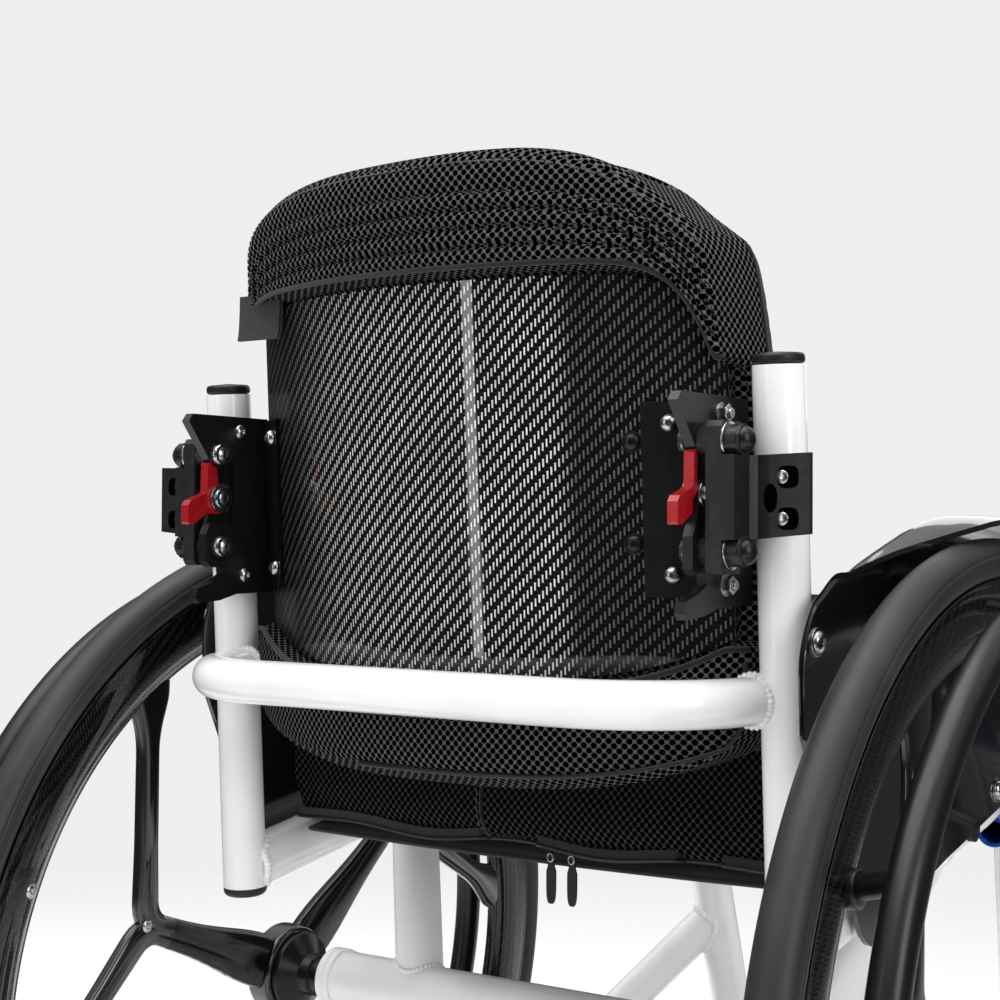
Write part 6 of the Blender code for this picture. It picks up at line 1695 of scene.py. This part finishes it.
def cushion_lines(look, made):
    """Piping, seam, stitching and zip sewn into the cushion's cover."""
    graph = bpy.context.evaluated_depsgraph_get()
    graph.update()
    tree = BVHTree.FromObject(made, graph)
    rear = []
    top = []
    for u in (-0.965 + 1.93 * share for share in shares(120)):
        wave = look.zip_wave * sin(u * 9.0 + 1.0) * (1 - u * u)
        out, back = cushion_plan(u, -1.0, 0.004)
        rear.append(on_surface(tree, seat_point(out, back, look.zip_height + wave), 0.0010))
        top.append(on_surface(tree, seat_point(out, back, cushion_top(u, -1.0) - 0.006), 0.0004))
    coil_zip("cushion_zip", even_points(rear, 300))
    tape = ribbon(moved(rear, 0, 0, ZIP_TAPE_RISE), REARWARD, ZIP_TAPE_WIDTH, 0.0006)
    add_piece("cushion_zip_tape", tape, "piping")
    add_line("cushion_top_piping", top, 0.0016)
    seam = []
    out, back = cushion_plan(look.cushion_seam / (CUSHION_WIDTH / 2), -1.0, 0.0)
    for share in shares(24):
        height = mixed(look.zip_height + 0.003, CUSHION_THICKNESS - 0.007, share)
        seam.append(on_surface(tree, seat_point(out, back, height), 0.0002))
    add_line("cushion_rear_seam", seam, 0.0010)
    stitches("cushion_seam_stitching", moved(seam, 0.0030, 0.0002, 0))


def make_zip_pulls(look):
    """Two pulls that hang from the cushion's zip."""
    for word in ("inner", "outer"):
        body = f"cushion_zip_{word}"
        node = f"zip_pull_{word}"
        low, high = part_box(node)
        middle = (low + high) / 2
        half = (high - low) / 2
        loops = []
        for depth in (-half.y, half.y):
            loops.append([middle + Vector((c * half.x * (0.72 if s > 0.45 else 1.0), depth, s * half.z))
                          for c, s in squared(32, 0.6)])
        add_piece(f"pull_{word}", loft(loops), "zip", body, node, bevel=0.0004)
        eye = Vector((middle.x, high.y + 0.0004, high.z - 0.001))
        path = [eye + Vector((0.0019 * c, 0, 0.0024 * s)) for c, s in circle(24)]
        add_piece(f"pull_ring_{word}", tube_along(path, 0.0005, 10, closed=True), "steel", body)


def make_sling(look):
    """Seat sling stretched between the rails, sagging a little."""
    bm = bmesh.new()
    grid = []
    width = 0.0
    for row in shares(40):
        fwd = mixed(SLING_REAR_FWD, SLING_FRONT_FWD, row)
        reach = rail_out(fwd) - 0.0120
        width = max(width, reach * 2)
        height = rail_up(fwd) + SLING_TOP - 0.0004
        across = [2 * share - 1 for share in shares(30)]
        line = [at(LEFT, u * reach, fwd, height - SLING_SAG * (1 - u * u)) for u in across]
        grid.append([bm.verts.new(point) for point in line])
    for low, high in zip(grid, grid[1:]):
        bridge(bm, low, high, closed=False)
    made = add_piece("sling", bm, "webbing", stands_for="seat_sling", sharp=80)
    thick = made.modifiers.new("thickness", "SOLIDIFY")
    thick.thickness = 0.0022
    thick.offset = -1


def add_acorn_nut(name, place, along):
    """Domed cap nut with a rounded waist."""
    profile = [(0.0075, 0.0), (0.0077, 0.0066), (0.0070, 0.0073)]
    for angle in (pi / 2 * share for share in shares(12)):
        profile.append((max(0.0067 * cos(angle), 0.0003), 0.0074 + 0.0060 * sin(angle)))
    profile = [(0.0003, 0.0)] + rounded(profile, 0.0008, 3)
    add_piece(name, standing(profile, 60, place, along), "black metal")


def add_hex_nut(name, place, along, radius, height):
    """Hexagonal nut with the end of its bolt standing out."""
    profile = [(0.0003, 0.0), (radius * 0.97, 0.0), (radius, height * 0.12), (radius, height * 0.88),
               (radius * 0.90, height), (0.0003, height)]
    add_piece(name, standing(profile, 6, place, along), "steel", bevel=0.0002)
    end = rod(place + along * height, place + along * (height + 0.0016), radius * 0.55, 32, 0.0004)
    add_piece(f"{name}_end", end, "steel")


def oval_shade(name, side, out, up, width, height, power):
    """Black sheet painted on the bent flange as the shade in the mouth of a slot through it."""
    loops = [[at(side, out + c * width / 2, -FLANGE_BACK - depth, up + s * height / 2)
              for c, s in squared(48, power)] for depth in (0.0, 0.00025)]
    add_piece(name, loft(loops), "hollow")


def make_back_hardware(look):
    """Hook plates, bars, pins, nuts and levers that hang the back on its canes."""
    for label, side in SIDES:
        dress_node(f"shell_bracket_{label}", "black metal", 0.0006)
        dress_node(f"cane_bracket_{label}", "satin metal", 0.0006)
        dress_node(f"cane_saddle_{label}", "black metal", 0.0008)
        dress_node(f"release_lever_{label}", "red metal", 0.0006)
        outward = LEFTWARD * side
        hook_end = HOOK_OUT + HOOK_THICKNESS
        for word, pin in PINS:
            head = at(side, HOOK_OUT - 0.0006, *pin)
            add_washer(f"pin_washer_{word}_{label}", head, -outward, 0.003, 0.0080, 0.0010, "black metal")
            add_button_head(f"pin_head_{word}_{label}", head - outward * 0.0008, -outward, 0.0066, 0.0056)
            face = at(side, BAR_OUT + BAR_THICKNESS, *pin)
            add_washer(f"bar_washer_{word}_{label}", face, outward, 0.004, 0.0092, 0.0012)
            add_acorn_nut(f"cap_nut_{word}_{label}", face + outward * 0.0010, outward)
        pivot = at(side, HOOK_OUT - 0.0003, *LEVER_PIVOT)
        add_washer(f"pivot_washer_{label}", pivot, -outward, 0.003, 0.0087, 0.0018)
        add_button_head(f"pivot_head_{label}", pivot - outward * 0.0017, -outward, 0.0062, 0.0034)
        end = at(side, hook_end, *LEVER_PIVOT)
        add_washer(f"pivot_back_washer_{label}", end, outward, 0.003, 0.0071, 0.0017)
        add_screw(f"pivot_end_{label}", end + outward * 0.0015, outward, 0.0050, 0.0028)
        for word, place in HOOK_BOLTS:
            add_button_head(f"hook_bolt_{word}_{label}", at(side, HOOK_OUT, *place), -outward, 0.0046, 0.0032)
            outer = at(side, hook_end, *place)
            add_washer(f"hook_washer_{word}_{label}", outer, outward, 0.002, 0.0058, 0.0009)
            add_hex_nut(f"hook_nut_{word}_{label}", outer + outward * 0.0008, outward, 0.0049, 0.0044)
        out = side * FLANGE_BOLT_OUT[side]
        for word, up in FLANGE_BOLT_UP:
            place = shell_point(out, up, 0.0033)
            add_button_head(f"flange_bolt_{word}_{label}", place, shell_normal(out), 0.0048, 0.0042)
        make_flange_slots(label, side)


def make_flange_slots(label, side):
    """Adjusting slots in the bent flange, their mouths painted as black shade, with the screws that show in
    them.
    """
    oval_shade(f"flange_oval_{label}", side, 0.1994, 0.6275, 0.0072, 0.0142, 1.0)
    for word, up in (("upper", 0.6378), ("lower", 0.6174)):
        oval_shade(f"flange_slot_{word}_{label}", side, 0.2088, up, 0.0112, 0.0110, 0.62)
        place = at(side, 0.2056, -FLANGE_BACK - 0.0002, up)
        add_button_head(f"flange_screw_{word}_{label}", place, REARWARD, 0.0034, 0.0009)


def make_locks(look):
    """Wheel locks under the seat rails."""
    radius = LOCK_BAR_DIAMETER / 2
    bore = radius - LOCK_BAR_WALL
    start = radius + 0.004
    end = LOCK_BAR_LENGTH
    profile = rounded([(0.0005, radius), (radius * 0.80, radius), (radius, start), (radius, end), (bore, end),
                       (bore, start + 0.012), (0.0005, start + 0.012)], 0.0008)
    back = Vector((0, cos(radians(SEAT_PITCH)), -sin(radians(SEAT_PITCH))))
    up = LEFTWARD.cross(back)
    for label, side in SIDES:
        pivot = Vector(JOINT[f"wheel_lock_swing_{label}"]["pos_m"])
        along = Matrix.Rotation(-side * radians(LOCK_BAR_SPLAY), 3, up) @ back
        turn = Matrix((along, up.cross(along), up)).transposed().to_4x4()
        eye = rod(UPWARD * -0.004, UPWARD * 0.004, radius * 0.9, 60, 0.0008)
        web = rod(Vector(), LEFTWARD * (start + 0.003), 0.0039, 32)
        shape = merged([turned(profile), eye, web])
        shape.transform(Matrix.Translation(pivot) @ turn)
        add_piece(f"lock_tube_{label}", shape, "blue metal", f"wheel_lock_{label}", f"lock_bar_{label}")
        dress_node(f"lock_handle_{label}", "black plastic", 0.0008)
        dress_node(f"lock_bracket_{label}", "black metal", 0.0006)
        add_screw(f"lock_screw_{label}", pivot - up * 0.0140, -up, 0.0050, 0.0026)


def staged(name, data):
    """An object of the stage, which isn't part of the chair."""
    made = bpy.data.objects.new(name, data)
    bpy.context.scene.collection.objects.link(made)
    return made


def add_softbox(name, place, aim, width, height, power, mirrored=True):
    """Rectangular studio light that faces a point."""
    light = bpy.data.lights.new(name, "AREA")
    light.shape = "RECTANGLE"
    light.size = width
    light.size_y = height
    light.energy = power
    made = staged(name, light)
    made.location = place
    made.visible_glossy = mirrored
    made.rotation_euler = (Vector(aim) - Vector(place)).to_track_quat("-Z", "Y").to_euler()


def make_world(look):
    """White surroundings: plain to the eye, dimmer where they light the chair."""
    world = bpy.data.worlds.new("studio")
    bpy.context.scene.world = world
    world.use_nodes = True
    nodes = Nodes(world.node_tree)
    world.node_tree.nodes.clear()
    path = nodes.add("ShaderNodeLightPath").outputs
    seen = nodes.math("MAXIMUM", path["Is Camera Ray"], path["Is Transmission Ray"])
    up = nodes.split(nodes.place("Generated"))[2]
    reflected = nodes.ease(up, 0.25, 0.80, look.reflection, look.overhead)
    unseen = nodes.between(path["Is Glossy Ray"], look.ambient, reflected)
    strength = nodes.between(seen, unseen, look.backdrop)
    surround = nodes.add("ShaderNodeBackground", (1.0, 1.0, 1.0), strength)
    nodes.add("ShaderNodeOutputWorld", surround.outputs[0])


def make_floor(look):
    """Pale floor that fades into the backdrop away from the chair."""
    bm = bmesh.new()
    bmesh.ops.create_grid(bm, x_segments=2, y_segments=2, size=6.0)
    mesh = bpy.data.meshes.new("floor")
    bm.to_mesh(mesh)
    bm.free()
    floor = staged("floor", mesh)
    made = bpy.data.materials.new("floor")
    made.use_nodes = True
    nodes = Nodes(made.node_tree)
    made.node_tree.nodes.clear()
    place = nodes.place()
    grain = nodes.ease(nodes.noise(place, 60.0, 3.0), 0.3, 0.7, 0.985, 1.0)
    tone = nodes.add("ShaderNodeCombineColor", *[nodes.times(grain, look.floor_shade)] * 3)
    pale = nodes.add("ShaderNodeBsdfDiffuse", tone.outputs[0])
    clear = nodes.add("ShaderNodeBsdfTransparent")
    away = nodes.ease(nodes.vector("LENGTH", place), 0.75, 2.4)
    blend = nodes.add("ShaderNodeMixShader", away, pale.outputs[0], clear.outputs[0])
    nodes.add("ShaderNodeOutputMaterial", blend.outputs[0])
    mesh.materials.append(made)


def make_camera():
    """Camera where the photograph was taken, behind the chair's right side."""
    yaw, pitch, roll = (radians(angle) for angle in (CAMERA_YAW, CAMERA_PITCH, CAMERA_ROLL))
    view = Vector((sin(yaw) * cos(pitch), -cos(yaw) * cos(pitch), sin(pitch)))
    level = Vector((-cos(yaw), -sin(yaw), 0.0))
    upright = level.cross(view)
    across = level * cos(roll) + upright * sin(roll)
    up = upright * cos(roll) - level * sin(roll)
    data = bpy.data.cameras.new("photo camera")
    data.lens = CAMERA_LENS
    data.sensor_width = CAMERA_SENSOR
    data.clip_start = 0.02
    made = staged("photo_camera", data)
    turn = Matrix((across, up, -view)).transposed().to_4x4()
    made.matrix_world = Matrix.Translation(at(RIGHT, -CAMERA_OUT, -CAMERA_BEHIND, CAMERA_UP)) @ turn
    bpy.context.scene.camera = made


def make_stage(look):
    """Floor, surroundings, lights and camera."""
    make_world(look)
    make_floor(look)
    make_camera()
    add_softbox("top softbox", (0.2, 0.5, 2.6), (0, 0.1, 0.4), 2.4, 2.4, look.top_power)
    add_softbox("left softbox", (2.4, -0.3, 1.3), (0.1, 0.2, 0.5), 0.9, 1.8, look.left_power, mirrored=False)
    add_softbox("strip light", (0.85, 2.4, 0.98), (0.0, 0.3, 0.6), 0.13, 1.85, look.strip_power)
    add_softbox("right softbox", (-2.6, 1.2, 1.4), (-0.1, 0.1, 0.4), 1.0, 2.0, look.right_power)
    add_softbox("front softbox", (0.4, -2.4, 1.6), (0, 0, 0.5), 1.6, 1.6, look.front_power)
    bpy.context.scene.view_settings.view_transform = "Standard"


class WheelchairLook(PropertyGroup):
    """Values that set the chair's finish, cloth, wheels and studio."""

    white: FloatVectorProperty(
        name="Frame White", description="Colour of the tubes", default=(0.92, 0.925, 0.93), subtype="COLOR")
    red: FloatVectorProperty(
        name="Lever Red", description="Colour of the levers", default=(0.37, 0.003, 0.008), subtype="COLOR")
    tyre: FloatVectorProperty(
        name="Tyre Grey", description="Colour of the tyres", default=(0.021, 0.021, 0.022), subtype="COLOR")
    tow: FloatProperty(
        name="Carbon Tow", description="Width of one tow of the carbon twill", default=0.0021, unit="LENGTH")
    mesh_pitch: FloatProperty(
        name="Mesh Pitch", description="Spacing of the mesh's holes", default=0.0049, unit="LENGTH")
    pocket_swell: FloatProperty(
        name="Pocket Swell", description="How far the pad's pocket bulges", default=0.004, unit="LENGTH")
    ridge_height: FloatProperty(
        name="Ridge Height", description="Height of the pad's ridges", default=0.0032, unit="LENGTH")
    pressure: FloatProperty(
        name="Stuffing Pressure", description="Pressure that fills the cushion's cover", default=4.0)
    cloth_frames: IntProperty(
        name="Cloth Frames", description="Frames for which the cover is blown out", default=20)
    zip_height: FloatProperty(
        name="Zip Height", description="Height of the zip on the cushion", default=0.0045, unit="LENGTH")
    zip_wave: FloatProperty(
        name="Zip Wave", description="How much the zip wanders up and down", default=0.0030, unit="LENGTH")
    cushion_seam: FloatProperty(
        name="Rear Seam", description="Place of the seam up the cushion's rear", default=0.030, unit="LENGTH")
    fork_bend: FloatProperty(
        name="Fork Bend", description="Radius where a carbon arm forks", default=0.022, unit="LENGTH")
    arm_flare: FloatProperty(
        name="Arm Flare", description="How much an arm widens at the rim", default=0.009, unit="LENGTH")
    backdrop: FloatProperty(name="Backdrop", description="Brightness of the backdrop", default=0.86)
    ambient: FloatProperty(name="Ambient", description="Strength of the light all round", default=0.86)
    reflection: FloatProperty(
        name="Reflection", description="Brightness of the reflected room", default=0.055)
    overhead: FloatProperty(name="Overhead", description="Brightness of the reflected ceiling", default=0.70)
    floor_shade: FloatProperty(name="Floor Shade", description="Lightness of the floor", default=0.74)
    top_power: FloatProperty(
        name="Top Light", description="Power of the softbox above", default=42.0, unit="POWER")
    left_power: FloatProperty(
        name="Left Light", description="Power of the softbox at the left", default=26.0, unit="POWER")
    strip_power: FloatProperty(
        name="Strip Light", description="Power of the narrow light behind", default=3.6, unit="POWER")
    right_power: FloatProperty(
        name="Right Light", description="Power of the softbox at the right", default=22.0, unit="POWER")
    front_power: FloatProperty(
        name="Front Light", description="Power of the softbox before the chair", default=10.0, unit="POWER")


class BuildStep:
    """What every step of the build shares."""

    bl_options = {"REGISTER", "UNDO"}

    def execute(self, context):
        """Run the step with the scene's settings."""
        type(self).build(context.scene.wheelchair_look)
        return {"FINISHED"}


class BuildMaterials(BuildStep, Operator):
    """Make every finish on the chair"""

    bl_idname = "wheelchair.materials"
    bl_label = "Materials"
    build = staticmethod(make_materials)


class BuildCanes(BuildStep, Operator):
    """Build the back canes with their caps and plugs"""

    bl_idname = "wheelchair.canes"
    bl_label = "Back Canes"
    build = staticmethod(make_canes)


class BuildRails(BuildStep, Operator):
    """Build the seat rails and down tubes with their welds"""

    bl_idname = "wheelchair.rails"
    bl_label = "Seat Rails"
    build = staticmethod(make_rails)


class BuildPushBar(BuildStep, Operator):
    """Build the push bar and its welds"""

    bl_idname = "wheelchair.push_bar"
    bl_label = "Push Bar"
    build = staticmethod(make_push_bar)


class BuildCrossTube(BuildStep, Operator):
    """Build the cross tube, its collars and posts"""

    bl_idname = "wheelchair.cross_tube"
    bl_label = "Cross Tube"
    build = staticmethod(make_camber_tube)


class BuildCasters(BuildStep, Operator):
    """Build the caster arms, forks, bolts and wheels"""

    bl_idname = "wheelchair.casters"
    bl_label = "Casters"
    build = staticmethod(make_casters)


class BuildFootrest(BuildStep, Operator):
    """Build the foot tube and finish the footplate"""

    bl_idname = "wheelchair.footrest"
    bl_label = "Footrest"
    build = staticmethod(make_footrest)


class BuildRearWheels(BuildStep, Operator):
    """Build the tyres, carbon wheels, hubs and hand rims"""

    bl_idname = "wheelchair.rear_wheels"
    bl_label = "Rear Wheels"
    build = staticmethod(make_rear_wheels)


class BuildGuards(BuildStep, Operator):
    """Build the side guards with their bolts"""

    bl_idname = "wheelchair.guards"
    bl_label = "Side Guards"
    build = staticmethod(make_guards)


class BuildShell(BuildStep, Operator):
    """Build the carbon back shell"""

    bl_idname = "wheelchair.shell"
    bl_label = "Back Shell"
    build = staticmethod(make_shell)


class BuildPad(BuildStep, Operator):
    """Build the back pad with its seams, piping and zip"""

    bl_idname = "wheelchair.pad"
    bl_label = "Back Pad"
    build = staticmethod(make_pad)


class BuildTag(BuildStep, Operator):
    """Build the plain webbing loop on the back"""

    bl_idname = "wheelchair.tag"
    bl_label = "Loop Tag"
    build = staticmethod(make_tag)


class BuildBackHardware(BuildStep, Operator):
    """Finish the brackets and build their bolts, nuts and washers"""

    bl_idname = "wheelchair.back_hardware"
    bl_label = "Back Hardware"
    build = staticmethod(make_back_hardware)


class BuildLocks(BuildStep, Operator):
    """Build the wheel locks"""

    bl_idname = "wheelchair.locks"
    bl_label = "Wheel Locks"
    build = staticmethod(make_locks)


class BuildSling(BuildStep, Operator):
    """Build the seat sling"""

    bl_idname = "wheelchair.sling"
    bl_label = "Seat Sling"
    build = staticmethod(make_sling)


class BuildCushion(BuildStep, Operator):
    """Build the seat cushion with its seams and zip"""

    bl_idname = "wheelchair.cushion"
    bl_label = "Seat Cushion"
    build = staticmethod(make_cushion)


class BuildZipPulls(BuildStep, Operator):
    """Build the two pulls of the cushion's zip"""

    bl_idname = "wheelchair.zip_pulls"
    bl_label = "Zip Pulls"
    build = staticmethod(make_zip_pulls)


class BuildStage(BuildStep, Operator):
    """Set up the floor, surroundings, lights and camera"""

    bl_idname = "wheelchair.stage"
    bl_label = "Stage"
    build = staticmethod(make_stage)


STEPS = (
    BuildMaterials, BuildCanes, BuildRails, BuildPushBar, BuildCrossTube, BuildCasters,
    BuildFootrest, BuildRearWheels, BuildGuards, BuildShell, BuildPad, BuildTag, BuildBackHardware,
    BuildLocks, BuildSling, BuildCushion, BuildZipPulls, BuildStage,
)


class WheelchairPanel(Panel):
    """Steps and settings of the chair's looks."""

    bl_idname = "VIEW3D_PT_wheelchair"
    bl_label = "Wheelchair"
    bl_space_type = "VIEW_3D"
    bl_region_type = "UI"
    bl_category = "Wheelchair"

    def draw(self, context):
        """Lay out the settings and a button for each step."""
        look = context.scene.wheelchair_look
        column = self.layout.column(align=True)
        for name in WheelchairLook.__annotations__:
            column.prop(look, name)
        column = self.layout.column(align=True)
        for step in STEPS:
            column.operator(step.bl_idname)


CLASSES = (WheelchairLook, *STEPS, WheelchairPanel)


def register():
    """Add the settings, steps and panel."""
    for one in CLASSES:
        bpy.utils.register_class(one)
    bpy.types.Scene.wheelchair_look = PointerProperty(type=WheelchairLook)


def unregister():
    """Take the settings, steps and panel away again."""
    del bpy.types.Scene.wheelchair_look
    for one in reversed(CLASSES):
        bpy.utils.unregister_class(one)


def main():
    """Build every piece in order."""
    register()
    for step in STEPS:
        group, name = step.bl_idname.split(".")
        getattr(getattr(bpy.ops, group), name)()


if __name__ == "__main__":
    main()
